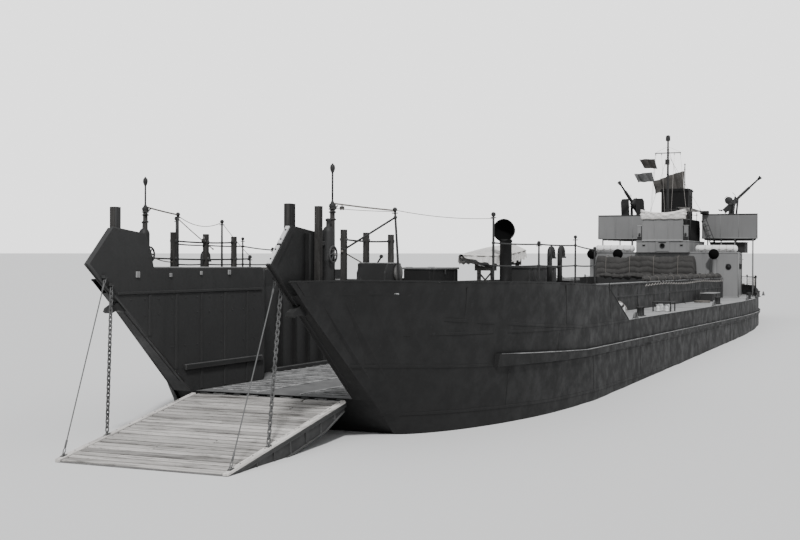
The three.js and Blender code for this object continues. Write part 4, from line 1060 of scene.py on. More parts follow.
def gatewayLining(side):
    # Inner faces of the gateway: vertical straps, a rubbing rail, bolts, and pale plates to starboard
    sign = sideNames[side]
    inner = bowValues["gateway"]
    parts = []
    stemAt = lambda x: (x - hullValues["hinge"]) / bowValues["stemRake"]
    for x in np.arange(9.35, 11.6, 0.47):
        low = max(0.64, stemAt(x) + 0.66)
        parts.append((box((x - 0.022, inner - 0.007, low), (x + 0.022, inner + 0.001, 1.66), 0.003),
                      "bowPaint"))
    parts.append((box((9.05, inner - 0.028, 0.86), (10.62, inner + 0.001, 0.92), 0.006), "darkSteel"))
    parts.append((box((9.05, inner - 0.012, 1.672), (11.76, inner + 0.001, 1.700), 0.004), "bowPaint"))
    plates = ((11.438, 1.866, 0.030), (10.874, 1.857, 0.020), (10.308, 1.875, 0.020), (9.747, 1.880, 0.026))
    for x, z, size in plates if side == "starboard" else ():
        parts.append((box((x - size, inner - 0.012, z - size), (x + size, inner + 0.001, z + size), 0.004),
                      "sideDeck"))
    rng = np.random.default_rng(21 if sign > 0 else 22)
    spots = [(x, inner, z) for x in np.arange(9.2, 11.7, 0.235) for z in (1.12, 1.46, 1.62)
             if z > stemAt(x) + 0.70 and rng.random() < 0.85]
    parts.append((copies(bolt(0.0075, -0.004, 0.004, -0.0065, axis=(0, 1, 0)), spots), "bowPaint"))
    return partsOnSide(parts, sign)


for side in sideNames:
    makePiece(f"{side}_horn_trim", hornTrim(side), "hull")
    makePiece(f"{side}_gateway_lining", gatewayLining(side), "hull")


# Chains and wires between the horns and the ramp
stayValues = {
    "topY": 0.928, "footY": 0.878, "eyeTop": 0.0505, "lift": 48.0,
    "chain": {"top": (11.883, 1.7600), "along": 1.55, "pitch": 0.040, "bar": 0.0070},
    "wire": {"top": (11.978, 1.8350), "along": 2.19, "radius": 0.0058},
    # The eye spliced at each end of a wire: distance along it and to its side
    "eyeLoop": ((0.07, 0), (0.05, 0.009), (0.03, 0.013), (0.015, 0.009), (0.010, 0), (0.015, -0.009),
                (0.03, -0.013),
                (0.05, -0.009)),
}


def chainLinks(top, foot, pitch, bar):
    # Ovals with straight sides, every second one turned a quarter about the line
    run = foot - top
    count = int(round(np.linalg.norm(run) / pitch))
    ahead = run / np.linalg.norm(run)
    side = np.cross(ahead, [0, 1, 0])
    side /= np.linalg.norm(side)
    over = np.cross(ahead, side)
    cosine, sine = circle(12)
    along = (pitch / 2 - bar * 1.1) * np.sign(cosine) + 2.2 * bar * cosine
    width = 2.2 * bar * sine
    middles = top + (np.arange(count)[:, None] + 0.5) * run / count
    parts = []
    for start, across, guide in ((0, side, over), (1, over, side)):
        oval = along[:, None] * ahead + width[:, None] * across
        parts.append(copies(tube(oval, bar, 6, guide=guide, closed=True), middles[start::2]))
    return parts


def shackle(place, ahead, size):
    # A U of round bar with a pin through its ends, its bow towards the line
    ahead = ahead / np.linalg.norm(ahead)
    angles = np.linspace(-0.5 * np.pi, 0.5 * np.pi, 9)
    across = np.array([0, 1.0, 0])
    bow = place + size * (np.cos(angles)[:, None] * 1.6 * ahead + np.sin(angles)[:, None] * across)
    bow = np.concatenate([[place - across * size - ahead * size * 0.6], bow,
                          [place + across * size - ahead * size * 0.6]])
    return [tube(bow, size * 0.28, 6), rod(bow[0] - across * 0.004, bow[-1] + across * 0.006, size * 0.3, 8)]


def followRamp(piece):
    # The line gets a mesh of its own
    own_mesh(piece)


for side, sign in sideNames.items():
    for kind in ("chain", "wire"):
        values = stayValues[kind]
        top = np.array([values["top"][0], sign * stayValues["topY"], values["top"][1]])
        foot = onRamp(values["along"], sign * stayValues["footY"], stayValues["eyeTop"])
        ahead = (foot - top) / np.linalg.norm(foot - top)
        if kind == "chain":
            links = chainLinks(top + ahead * 0.02, foot - ahead * 0.02, values["pitch"], values["bar"])
            parts = [(link, "chainSteel") for link in links]
        else:
            line = spaced(top + ahead * 0.06, foot - ahead * 0.06, 30)
            parts = [(tube(line, values["radius"], 8), "wireRope")]
            for place, way in ((top, 1), (foot, -1)):
                loop = np.array([place + way * ahead * d + np.array([0, w, 0]) for d,
                                 w in stayValues["eyeLoop"]])
                parts.append((tube(loop, 0.0048, 6, guide=(1, 0, 0.3), closed=True), "wireRope"))
                parts.append((rod(place + way * ahead * 0.062, place + way * ahead * 0.135, 0.0095, 8),
                              "wireRope"))
        parts += [(shape, "chainSteel") for shape in shackle(top + ahead * 0.004, ahead, 0.013)]
        parts += [(shape, "chainSteel") for shape in shackle(foot - ahead * 0.004, -ahead, 0.013)]
        piece = makePiece(f"{side}_{kind}_line", parts, "hull", [f"{side}_ramp_{kind}"])
        followRamp(piece)
print("stage: bow walls and stays")


# Timbers, stanchions and pipe rails beside the gateway
postValues = {
    "y": 1.07, "half": 0.026, "foot": bowValues["foreDeck"] + 0.0006,
    "timbers": {"port": ((10.920, 2.310), (10.426, 2.292), (9.837, 2.285)),
                "starboard": ((10.647, 2.306), (10.028, 2.299), (9.451, 2.283))},
    "rails": {"port": ((9.837, 10.920, 2.215),),
              "starboard": ((9.451, 10.647, 2.215), (9.100, 11.060, 2.032))},
    # foot x, y, top x, top z
    "stanchions": {"port": ((10.562, 1.500, 10.682, 2.500),),
                   "starboard": ((10.565, -1.07, 10.565, 2.490), (9.704, -1.07, 9.704, 2.440),
                                 (9.100, -1.07, 9.100, 2.050))},
}


def timberPost(x, y, low, high, half, tone):
    # A square baulk with its arrises cut, on a foot plate with bolts
    parts = [(slab(x, y, low, high, half, half, half * 0.12), "postTimber", tone)]
    parts.append((slab(x, y, low, low + 0.012, half + 0.02, half + 0.02, 0.004), "darkSteel"))
    head = bolt(0.006, 0.006, 0.003, 0.009, (0, 0, low + 0.011))
    reach = half + 0.011
    parts.append((copies(head, [(x + a * reach, y + b * reach, 0) for a in (-1, 1) for b in (-1, 1)]),
                  "bareSteel"))
    return parts


def ballStanchion(foot, top, radius=0.012):
    # A pipe with a collar at the foot and a ball with an eye at its top
    foot, top = np.array(foot, float), np.array(top, float)
    profile = [(0.032, 0), (0.032, 0.008), (0.018, 0.014), (0.0155, 0.04), (radius, 0.05)]
    pipe = tube(spaced(foot, top, 6), radius * np.array([1.1, 1, 1, 1, 0.95, 0.9]), 10)
    eye = rod(top - [0, 0.030, 0.030], top + [0, 0.030, -0.030], 0.006, 6)
    shapes = (pipe, turned(profile, foot, sides=12), ball(top + [0, 0, 0.004], radius * 1.95, 12), eye)
    return [(shape, "darkPaint") for shape in shapes]


def bowPosts(side):
    sign = sideNames[side]
    y, foot = sign * postValues["y"], postValues["foot"]
    parts = []
    for count, (x, top) in enumerate(postValues["timbers"][side]):
        parts += timberPost(x, y, foot, top, postValues["half"], 0.35 + 0.25 * count)
    for x0, y0, x1, top in postValues["stanchions"][side]:
        parts += ballStanchion((x0, y0, foot), (x1, y0, top))
    for x0, x1, z in postValues["rails"][side]:
        parts.append((tube(hanging((x0, y, z), (x1, y, z), 0.012, 15), 0.0088, 8), "darkPaint"))
        for x, _ in postValues["timbers"][side]:
            if x0 <= x <= x1:
                parts.append((slab(x, y, z - 0.014, z + 0.014, 0.012, 0.04, 0.004), "darkSteel"))
    return parts


mooringValues = {"x": (10.262, 10.658), "y": (1.078, 1.388), "top": 1.994, "ribs": 7}


def mooringWinch(values):
    # Hand winch in a ribbed box: cheek plates, ribs, a lid, a drum, a gear, and a lever with a ball
    (x0, x1), (y0, y1), low, high = values["x"], values["y"], postValues["foot"], values["top"]
    middle = (y0 + y1) / 2
    parts = [(box((x0, y0, low), (x1, y1, low + 0.018), 0.004), "darkSteel")]
    for y in (y0, y1 - 0.014):
        cheek = [(x0, low), (x1, low), (x1, high - 0.10), (x1 - 0.07, high), (x0 + 0.07, high),
                 (x0, high - 0.10)]
        parts.append((prism(cheek, "y", y, y + 0.014), "darkPaint"))
    for x in np.linspace(x0 + 0.01, x1 - 0.024, values["ribs"]):
        parts.append((box((x, y0 + 0.006, low), (x + 0.014, y1 - 0.006, high - 0.008), 0.004), "darkPaint"))
    parts.append((box((x0 + 0.06, y0 - 0.003, high - 0.012), (x1 - 0.06, y1 + 0.003, high), 0.005),
                  "deckPaint"))
    drum = [(0.0, y0 + 0.02), (0.105, y0 + 0.02), (0.105, y0 + 0.035), (0.07, y0 + 0.036),
            (0.07, y1 - 0.036),
            (0.105, y1 - 0.035), (0.105, y1 - 0.02), (0.0, y1 - 0.02)]
    parts.append((turned(drum, ((x0 + x1) / 2, 0, low + 0.15), (0, 1, 0), 20), "darkSteel"))
    gear = [(0.0, 0.0), (0.085, 0.0), (0.09, 0.006), (0.09, 0.018), (0.085, 0.024), (0.0, 0.024)]
    parts.append((turned(gear, (x0 + 0.12, y1 + 0.002, low + 0.20), (0, 1, 0), 24), "bareSteel"))
    parts.append((rod((x0 + 0.24, middle, high), (x0 + 0.20, middle + 0.02, high + 0.055), 0.009, 8),
                  "darkPaint"))
    parts.append((ball((x0 + 0.20, middle + 0.02, high + 0.06), 0.020), "darkPaint"))
    return parts


portPostParts = bowPosts("port") + mooringWinch(mooringValues)
strutTop, strutFoot = (10.672, 1.500, 2.430), (10.935, 1.085, 2.120)
portPostParts += [(rod(strutTop, strutFoot, 0.010, 8), "darkPaint"),
                  (ball(strutTop, 0.019), "darkPaint"), (ball(strutFoot, 0.016), "darkPaint")]
makePiece("port_gateway_posts", portPostParts, "hull", ["port_bow_posts"])
makePiece("starboard_gateway_posts", bowPosts("starboard"), "hull", ["starboard_bow_posts"])


# Hand winches: a pedestal, a lantern mast beside it, and a wheel
handWinches = {
    "port": {"pedestal": (11.225, 1.060), "mast": (11.150, 1.065), "top": 2.885, "wheel": (11.262, 1.132)},
    "starboard": {"pedestal": (11.144, -1.082), "mast": (11.144, -1.070), "top": 2.810,
                  "wheel": (11.144, -1.012)},
}
winchValues = {"foot": postValues["foot"], "wheelHeight": 2.068, "step": 2.525, "rim": 0.074, "bar": 0.010,
               "boltCircle": 0.066, "lashings": (2.40, 2.47, 2.50), "lashingReach": 0.030}


def pedestal(x, y):
    profile = [(0.075, 0), (0.075, 0.018), (0.062, 0.026), (0.056, 0.06), (0.055, 0.30), (0.060, 0.315),
               (0.060, 0.335),
               (0.055, 0.35), (0.055, 0.585), (0.050, 0.61), (0.036, 0.632), (0.021, 0.642), (0.020, 0.688),
               (0.030, 0.70),
               (0.024, 0.712), (0.008, 0.718)]
    foot, reach = winchValues["foot"], winchValues["boltCircle"]
    bolts = [(x + reach * c, y + reach * s, foot + 0.017) for c, s in zip(*circle(8))]
    return [(turned(profile, (x, y, foot), sides=24), "darkPaint"),
            (copies(turned([(0.006, 0), (0.006, 0.007)], (0, 0, 0), sides=6), bolts), "darkSteel")]


def lanternMast(x, y, top):
    # A thick foot with a cap, lashings and a peg, a thin rod above it, and a lantern
    foot, step = winchValues["foot"], winchValues["step"]
    lower = tube([(x, y, foot), (x, y, step - 0.3), (x, y, step)], [0.027, 0.026, 0.024], 12)
    cap = turned([(0.024, -0.02), (0.034, -0.012), (0.034, 0.012), (0.020, 0.028), (0.010, 0.05)],
                 (x, y, step), sides=14)
    light = turned([(0.009, -0.045), (0.016, -0.040), (0.016, -0.030), (0.022, -0.022), (0.025, 0),
                    (0.022, 0.022),
                    (0.012, 0.032), (0.005, 0.044)], (x, y, top), sides=12)
    parts = [(lower, "postTimber", 0.4), (cap, "darkPaint"),
             (rod((x, y, step), (x, y, top - 0.03), 0.0092, 8), "darkPaint"),
             (light, "darkPaint")]
    angles = np.arange(14) * 2 * np.pi / 14
    reach, lashings = winchValues["lashingReach"], winchValues["lashings"]
    for z in lashings:
        turn = np.stack([x + reach * np.cos(angles), y + reach * np.sin(angles),
                         z + 0.004 * np.sin(2 * angles)], 1)
        parts.append((tube(turn, 0.007, 6, closed=True), "darkCanvas"))
    z = lashings[-1]
    parts.append((rod((x - 0.045, y + 0.03, z + 0.03), (x + 0.045, y + 0.03, z - 0.03), 0.007, 6),
                  "darkPaint"))
    return parts


def handWheel(x, y, grip):
    # A round rim with six tapered spokes, a hub, and a handle near the rim where there is room for it
    centre, rim = np.array([x, y, winchValues["wheelHeight"]]), winchValues["rim"]
    cosine, sine = circle(36)
    ring = centre + rim * np.stack([cosine, 0 * cosine, sine], 1)
    parts = [(tube(ring, winchValues["bar"], 8, guide=(0, 1, 0), closed=True), "darkSteel")]
    for angle in np.arange(6) * np.pi / 3:
        way = np.array([math.cos(angle), 0, math.sin(angle)])
        parts.append((rod(centre + way * 0.017, centre + way * rim, 0.0075, 6, 0.0055), "darkSteel"))
    hub = [(0.0128, -0.018), (0.024, -0.018), (0.024, 0.010), (0.0128, 0.018), (0.0128, -0.018)]
    parts.append((turned(hub, centre, (0, 1, 0), 16), "darkSteel"))
    if grip:
        grip = centre + np.array([math.cos(0.6), 0, math.sin(0.6)]) * rim
        parts.append((rod(grip, grip + [0, 0.045, 0], 0.007, 8, 0.009), "postTimber"))
    return parts


for side, values in handWinches.items():
    sign = sideNames[side]
    wheelX, wheelY = values["wheel"]
    parts = pedestal(*values["pedestal"]) + lanternMast(*values["mast"], values["top"])
    axleEnd = (wheelX, wheelY + 0.022, winchValues["wheelHeight"])
    axle = rod((wheelX, values["pedestal"][1], winchValues["wheelHeight"]), axleEnd, 0.0115, 12)
    parts += [(axle, "bareSteel"), (ball(axleEnd, 0.014), "bareSteel")]
    if side == "port":
        parts += timberPost(11.363, 1.030, winchValues["foot"], 2.517, 0.030, 0.5)
        parts.append((box((11.225, 1.035, 2.150), (11.353, 1.055, 2.190), 0.004), "darkSteel"))
    makePiece(f"{side}_winch_and_lantern", parts, "hull", [f"{side}_light_mast"])
    reelBody = "hand_reel" if side == "port" else "starboard_hand_reel"
    makePiece(f"{side}_winch_wheel", handWheel(wheelX, wheelY, side == "port"), reelBody,
              [reelBody])

# Baulks on the horns, in timber over the solid posts
for side, low, high in (("port", (11.674, 0.876, 1.90), (11.752, 0.949, 2.528)),
                        ("starboard", (11.659, -1.069, 1.692), (11.737, -0.996, 2.528))):
    parts = [(box(low, high, 0.010), "postTimber", 0.3)]
    makePiece(f"{side}_horn_baulk", parts, "hull")
print("stage: posts and hand winches")


# Taut lines between posts: start, end, how much they hang, radius
lineValues = {
    "port": [((11.150, 1.065, 2.552), (10.682, 1.500, 2.496), 0.004, 0.0085),
             ((11.150, 1.065, 2.505), (10.682, 1.500, 2.485), 0.006, 0.0035),
             ((10.682, 1.500, 2.500), (9.250, 1.985, 2.462), 0.030, 0.0035),
             ((10.960, 1.072, 2.100), (10.461, 1.085, 1.968), 0.0, 0.0065),
             ((10.461, 1.085, 1.968), (10.093, 1.100, 1.720), 0.010, 0.0065)],
    "starboard": [((11.144, -1.070, 2.552), (10.565, -1.07, 2.490), 0.004, 0.0085),
                  ((10.565, -1.07, 2.480), (9.704, -1.07, 2.436), 0.075, 0.0040),
                  ((9.704, -1.07, 2.430), (9.100, -1.07, 2.060), 0.010, 0.0035),
                  ((10.565, -1.07, 2.450), (9.887, -1.07, 2.136), 0.008, 0.0055),
                  ((11.140, -1.040, 2.070), (10.673, -1.07, 1.991), 0.020, 0.0060),
                  ((10.673, -1.07, 1.991), (10.337, -1.07, 1.720), 0.015, 0.0060)],
}


def blockAt(place, size=0.030):
    # A pulley block: two cheeks, a sheave and an eye above
    place = np.array(place, float)
    cheek = turned([(0.001, -0.006), (size * 0.9, -0.006), (size, 0), (size * 0.9, 0.006), (0.001, 0.006)],
                   place,
                   (0, 1, 0), 12)
    return [(moved(cheek, (0, y, 0)), "postTimber") for y in (-0.012, 0.012)] + [
        (rod(place - [0, 0.02, 0], place + [0, 0.02, 0], 0.008, 8), "bareSteel"),
        (rod(place, place + [0, 0, size * 1.6], 0.006, 6), "bareSteel")]


for side, lines in lineValues.items():
    parts = [(tube(hanging(start, end, drop, 17), radius, 6), "rope") for start, end, drop, radius in lines]
    ends = [ball(place, radius * 1.9, 8) for start, end, _, radius in lines for place in (start, end)]
    parts += [(knot, "rope") for knot in ends]
    parts += blockAt((10.067, -1.07, 2.222)) if side == "starboard" else blockAt((11.02, 1.10, 2.51), 0.020)
    makePiece(f"{side}_gateway_lines", parts, "hull")
print("stage: gateway lines")


# Decks: plates laid over the tanks, with welds, ring bolts, bollards and fairleads
deckValues = {
    "fore": bowValues["foreDeck"] + 0.0012, "side": 1.2212, "tank": 0.6262, "slopeFoot": 6.0,
    "edge": 0.035, "sag": 0.0015, "frameSpacing": hullValues["frameSpacing"],
    # The hold's walls narrow at the gateway: x, and half the width between them
    "wallX": (-7.122, 8.20, 9.0, 10.5), "wallHalf": (1.392, 1.392, 0.942, 0.942),
    "ribStart": -6.9, "ribSpacing": 0.36,
}
innerLine = np.array([(-7.122, 1.437), (8.20, 1.437), (8.99, 0.998), (11.70, 0.998)])


def deckSheet(x0, x1, z, inner, count, edge=deckValues["edge"]):
    # A plate between the coaming and the ship's side: rows across, columns along
    x = np.linspace(x0, x1, count)
    outer = onHull(x, np.full_like(x, z))[:, 1] - edge
    low = np.interp(x, inner[:, 0], inner[:, 1])
    t = np.linspace(0, 1, 7)[:, None]
    y = low + (outer - low) * t
    sag = deckValues["sag"] * np.sin(np.pi * x / deckValues["frameSpacing"]) ** 2 * np.sin(np.pi * t)
    points = np.stack([np.broadcast_to(x, y.shape), y, z + 0 * y - sag + deckValues["sag"]], -1)
    return sheet(points, uv=False)


def deckWelds(x0, x1, z, inner, step):
    # Narrow beads across the deck where plates meet
    parts = []
    for x in np.arange(x0, x1, step):
        outer = onHull([x], [z])[0, 1] - 0.04
        low = np.interp(x, inner[:, 0], inner[:, 1])
        parts.append(tube([(x, low, z + 0.002), (x, outer, z + 0.002)], 0.005, 5))
    return parts


def bollards(x, y, z, size=0.055):
    # A pair of posts with caps on a shared base plate
    profile = [(size * 0.75, 0), (size * 0.62, 0.01), (size * 0.60, size * 1.9), (size * 0.80, size * 2.05),
               (size * 0.80, size * 2.3), (size * 0.1, size * 2.42)]
    post = turned(profile, (x, y, z + 0.012), sides=14)
    return [(slab(x, y, z - 0.002, z + 0.013, size * 2.6, size * 0.95, 0.004), "darkSteel"),
            (copies(post, [(-size * 1.55, 0, 0), (size * 1.55, 0, 0)]), "darkPaint")]


def fairlead(x, y, z):
    # Two horns curling towards each other on a base
    size = 0.09
    parts = [(slab(x, y, z - 0.002, z + 0.014, size, 0.03, 0.005), "darkSteel")]
    for way in (-1, 1):
        t = np.linspace(0, 1, 8)
        curve = np.stack([x + way * (size * 0.85 - size * 0.55 * t ** 2), y + 0 * t,
                          z + 0.01 + size * 0.95 * t], 1)
        parts.append((tube(curve, 0.020 - 0.010 * t, 8, guide=(0, 1, 0)), "wornSteelAndStrakeHighlight"))
    return parts


def ringBolts(places):
    # Rings lying on the deck, each through the head of its bolt
    angles = np.arange(12) * 2 * np.pi / 12
    reach = 0.020
    ring = np.stack([reach * np.cos(angles), reach * np.sin(angles), 0.005 + 0.003 * np.cos(2 * angles)], 1)
    return [(copies(tube(ring, 0.0042, 5, closed=True), places), "wornSteelAndStrakeHighlight"),
            (copies(bolt(0.010, 0.006, 0.004, 0.010, (reach, 0, 0)), places), "darkSteel")]


for side, sign in sideNames.items():
    fore, low = deckValues["fore"], deckValues["side"]
    parts = [(deckSheet(6.06, 11.45, fore, innerLine, 120), "deckPaint"),
             (deckSheet(-7.11, 5.99, low, innerLine, 240), "sideDeck")]
    parts += [(weld, "deckPaint") for weld in deckWelds(6.7, 11.4, fore, innerLine, 1.15)]
    parts += [(weld, "sideDeck") for weld in deckWelds(-6.6, 5.8, low, innerLine, 1.22)]
    for x, y in ((3.45, 2.16), (-2.65, 2.18), (-6.65, 2.13)):
        parts += bollards(x, y, low)
    for x, y in ((4.25, 2.28), (-1.6, 2.30), (-5.6, 2.27)):
        parts += fairlead(x, y, low)
    parts += ringBolts([(x, 1.60, low + 0.001) for x in np.arange(-6.2, 5.6, 1.22)])
    parts += ringBolts([(x, 1.62, fore + 0.001) for x in (6.95, 8.9, 10.9)])
    makePiece(f"{side}_deck_plating", partsOnSide(parts, sign), "hull")

# After deck, from side to side behind the hold
afterLine = np.array([(-12.2, 0.0), (-7.16, 0.0)])
afterParts = [(deckSheet(-12.0, -7.17, deckValues["side"], afterLine, 90, 0.045), "sideDeck")]
afterParts.append((mirrored(afterParts[0][0]), "sideDeck"))
for sign in (-1, 1):
    for x, y in ((-8.7, 2.02), (-11.35, 1.42)):
        afterParts += bollards(x, sign * y, deckValues["side"])
    afterParts += fairlead(-10.2, sign * 1.93, deckValues["side"])
makePiece("after_deck_plating", afterParts, "hull")
print("stage: decks")


# Tank deck and hold: bars across for grip, ribs up the sides, a kerb along the foot of the walls
def tankDeck():
    x, z = np.linspace(-7.10, 10.42, 180), deckValues["tank"]
    half = np.interp(x, deckValues["wallX"], deckValues["wallHalf"])
    t = np.linspace(-1, 1, 9)[:, None]
    points = np.stack([np.broadcast_to(x, (9, len(x))), t * half, z + 0.002 * (1 - t ** 2) + 0 * x], -1)
    parts = [(sheet(points, uv=False), "tankDeckPaint")]
    for place in np.arange(deckValues["ribStart"], 10.3, 0.19):
        reach = np.interp(place, deckValues["wallX"], [1.28, 1.28, 0.86, 0.86])
        for y0, y1 in ((-reach, -0.28), (0.28, reach)):
            parts.append((box((place - 0.009, y0, z - 0.001), (place + 0.009, y1, z + 0.011)), "wornSteelAndStrakeHighlight"))
    for y in (-0.255, 0.255):
        parts.append((box((-6.95, y - 0.012, z - 0.001), (10.3, y + 0.012, z + 0.010)), "wornSteelAndStrakeHighlight"))
    return parts


def holdRibs():
    # Each rib is a web and a flange; aft of the slope every second one goes on up the coaming
    parts, first, slope = [], deckValues["ribStart"], deckValues["slopeFoot"]
    for x in np.arange(first, 8.1, deckValues["ribSpacing"]):
        top = 1.17 if x < slope else 1.64
        for y0, y1, half in ((1.352, 1.401, 0.005), (1.346, 1.354, 0.018)):
            parts.append((box((x - half, y0, 0.64), (x + half, y1, top), 0.002), "hullPaint"))
    kerbLow, kerbHigh = deckValues["tank"] - 0.001, deckValues["tank"] + 0.055
    parts.append((box((-6.95, 1.30, kerbLow), (8.15, 1.345, kerbHigh), 0.008), "darkSteel"))
    for x in np.arange(first, slope, 2 * deckValues["ribSpacing"]):
        parts.append((box((x - 0.005, 1.372, 1.24), (x + 0.005, 1.401, 1.655), 0.002), "afterHullPaint"))
    return parts


holdParts = tankDeck()
for sign in sideNames.values():
    holdParts += partsOnSide(holdRibs(), sign)
makePiece("tank_deck_and_ribs", holdParts, "hull")


# Coaming: stays on the side deck, panel joints, a half-round lip and the cover's lashing line
def coamingTrim(side):
    low, middle, top, face = 1.2215, 1.46, 1.685, 1.435
    hookStart, hookSpacing = -6.95, 0.22
    parts = []
    for x in np.arange(-6.78, 5.9, 1.24):
        bracket = [(face - 0.002, low), (face + 0.045, low), (face + 0.012, low + 0.13),
                   (face - 0.002, top - 0.04)]
        parts.append((prism(bracket, "x", x - 0.005, x + 0.005), "afterHullPaint"))
        parts.append((box((x + 0.43, face - 0.001, low), (x + 0.437, face + 0.004, top - 0.03), 0.001),
                      "darkSteel"))
    lip = [(x, 1.490, top - 0.012) for x in (-7.09, 5.98)]
    parts.append((tube(lip, 0.013, 8), "wornSteelAndStrakeHighlight"))
    parts.append((box((-7.09, face - 0.001, middle - 0.012), (5.98, face + 0.012, middle + 0.012), 0.004),
                  "afterHullPaint"))
    hooks = [(x, 1.500, top - 0.035) for x in np.arange(hookStart, 5.9, hookSpacing)]
    hook = tube([(0, -0.008, 0.012), (0, 0.010, 0.006), (0, 0.014, -0.008), (0, 0.004, -0.016)], 0.0035, 5,
                guide=(1, 0, 0))
    parts.append((copies(hook, hooks), "darkSteel"))
    # The lashing line hangs from hook to hook: half a sine wave between each two
    x = np.arange(hookStart, 0.4, 0.0275)
    drop = 0.032 * np.abs(np.sin(np.pi * (x - hookStart) / hookSpacing)) + 0.012 * np.sin(x * 1.7)
    parts.append((tube(np.stack([x, 0 * x + 1.510, top - 0.040 - drop], 1), 0.0048, 6), "paleRope"))
    return partsOnSide(parts, sideNames[side])


for side in sideNames:
    makePiece(f"{side}_coaming_trim", coamingTrim(side), "hull")
print("stage: hold")


# Raised side: triangular stays behind the plate, and what stands on the fore deck
def bulwarkStays(side):
    parts = []
    for x in np.arange(6.35, 10.9, 0.62):
        outer = onHull([x], [1.72])[0, 1] - 0.040
        top = np.interp(x, sheerLine[:, 0], sheerLine[:, 1])
        stay = [(outer - 0.11, 1.692), (outer, 1.692), (outer, top - 0.006), (outer - 0.02, top - 0.006)]
        parts.append((prism(stay, "x", x - 0.004, x + 0.004), "hullPaint"))
    slope = [(5.02, 1.262), (6.02, 1.692)]
    line = np.array([(x, onHull([x], [z])[0, 1] - 0.055, z) for x, z in slope])
    parts.append((tube(spaced(line[0], line[1], 8), 0.010, 6), "hullPaint"))
    return partsOnSide(parts, sideNames[side])


def locker(x0, x1, y0, y1, z0, z1, body, lid):
    # A chest with an overhanging lid, two battens and straps, and a hasp as its last part
    parts = [(box((x0, y0, z0), (x1, y1, z1 - 0.022), 0.006), body),
             (box((x0 - 0.012, y0 - 0.012, z1 - 0.022), (x1 + 0.012, y1 + 0.012, z1), 0.006), lid)]
    for x in (x0 + 0.12 * (x1 - x0), x1 - 0.12 * (x1 - x0)):
        parts.append((box((x - 0.018, y0 - 0.008, z0), (x + 0.018, y1 + 0.008, z1 - 0.024), 0.004), body))
        parts.append((box((x - 0.014, y0 - 0.018, z1 - 0.03), (x + 0.014, y0 + 0.06, z1 + 0.004), 0.003),
                      "darkSteel"))
    middle = (x0 + x1) / 2
    parts.append((box((middle - 0.012, y1 + 0.006, z1 - 0.075), (middle + 0.012, y1 + 0.018, z1 - 0.012),
                      0.003), "darkSteel"))
    return parts


def gooseneck(x, y, z, high):
    # A vent pipe that turns over at its top and looks down
    angles = np.linspace(0, np.pi, 12)
    radius, reach = 0.030, 0.062
    bend = np.stack([x - reach + reach * np.cos(angles), y + 0 * angles,
                     z + high - reach + reach * np.sin(angles)], 1)
    path = np.concatenate([[(x, y, z)], bend, [(x - 2 * reach, y, z + high - reach - 0.05)]])
    flange = turned([(0.055, 0), (0.055, 0.012), (radius + 0.004, 0.018)], (x, y, z), sides=14)
    mouth = turned([(radius, -0.006), (radius + 0.010, -0.006), (radius + 0.010, 0.010), (radius, 0.014)],
                   (x - 2 * reach, y, z + high - reach - 0.05), sides=14)
    return [(tube(path, radius, 12, guide=(0, 1, 0)), "darkPaint"), (flange, "darkPaint"),
            (mouth, "darkPaint")]


def ropeCoil(x, y, z, radius, turns, thick):
    # A flat coil: the radius grows with the angle, and the turns lie on each other in two layers
    angles = np.linspace(0, 2 * np.pi * turns, int(28 * turns))
    lap = (angles / (2 * np.pi)) % (turns / 2)
    layer = np.floor(angles / (np.pi * turns)).clip(0, 1)
    reach = radius - lap * thick * 2
    points = np.stack([x + reach * np.cos(angles), y + reach * np.sin(angles),
                       z + thick + layer * thick * 1.8], 1)
    return tube(points, thick, 6)


foreDeck = deckValues["fore"] + 0.002
forePieces = {side: bulwarkStays(side) for side in sideNames}
forePieces["port"] += locker(8.78, 9.58, 1.10, 1.40, foreDeck, 1.945, "hullPaint", "deckPaint")
forePieces["port"] += locker(7.13, 8.16, 1.80, 2.02, foreDeck, 1.952, "afterHullPaint",
                             "afterHullPaint")[:-1]
forePieces["port"] += gooseneck(7.85, 2.16, foreDeck, 0.470) + gooseneck(7.46, 2.16, foreDeck, 0.480)
forePieces["port"].append((ropeCoil(9.95, 1.42, foreDeck, 0.17, 9, 0.010), "rope"))
forePieces["starboard"] += locker(7.30, 8.10, -2.12, -1.86, foreDeck, 1.93, "housePaint", "deckTimber")[:-1]
forePieces["starboard"] += gooseneck(8.7, -1.98, foreDeck, 0.42)
forePieces["starboard"].append((ropeCoil(10.0, -1.50, foreDeck, 0.19, 10, 0.011), "rope"))
for side, parts in forePieces.items():
    makePiece(f"{side}_fore_deck_fittings", parts, "hull")


# Guard rail on the raised side: ball stanchions with two pipe rails and short chains at their ends
railValues = {"posts": ((9.250, 1.985, 2.500), (8.340, 2.190, 2.215), (7.260, 2.290, 2.300),
                        (6.450, 2.300, 2.175)),
              "rails": (2.205, 1.965), "foot": postValues["foot"]}
for side, sign in sideNames.items():
    parts, posts = [], railValues["posts"]
    for x, y, top in posts:
        parts += ballStanchion((x, sign * y, railValues["foot"]), (x, sign * y, top),
                               0.0135 if top > 2.4 else 0.0115)
        for z in railValues["rails"]:
            parts.append((ball((x, sign * y, min(z, top - 0.012)), 0.019, 10), "darkPaint"))
    for (xa, ya, ta), (xb, yb, tb) in zip(posts, posts[1:]):
        for z in railValues["rails"]:
            ends = [(xa, sign * ya, min(z, ta - 0.012)), (xb, sign * yb, min(z, tb - 0.012))]
            parts.append((tube(hanging(*ends, 0.007, 11), 0.0085, 8), "darkPaint"))
    makePiece(f"{side}_guard_rail", parts, "hull", [f"{side}_side_rail"])
print("stage: fore deck")


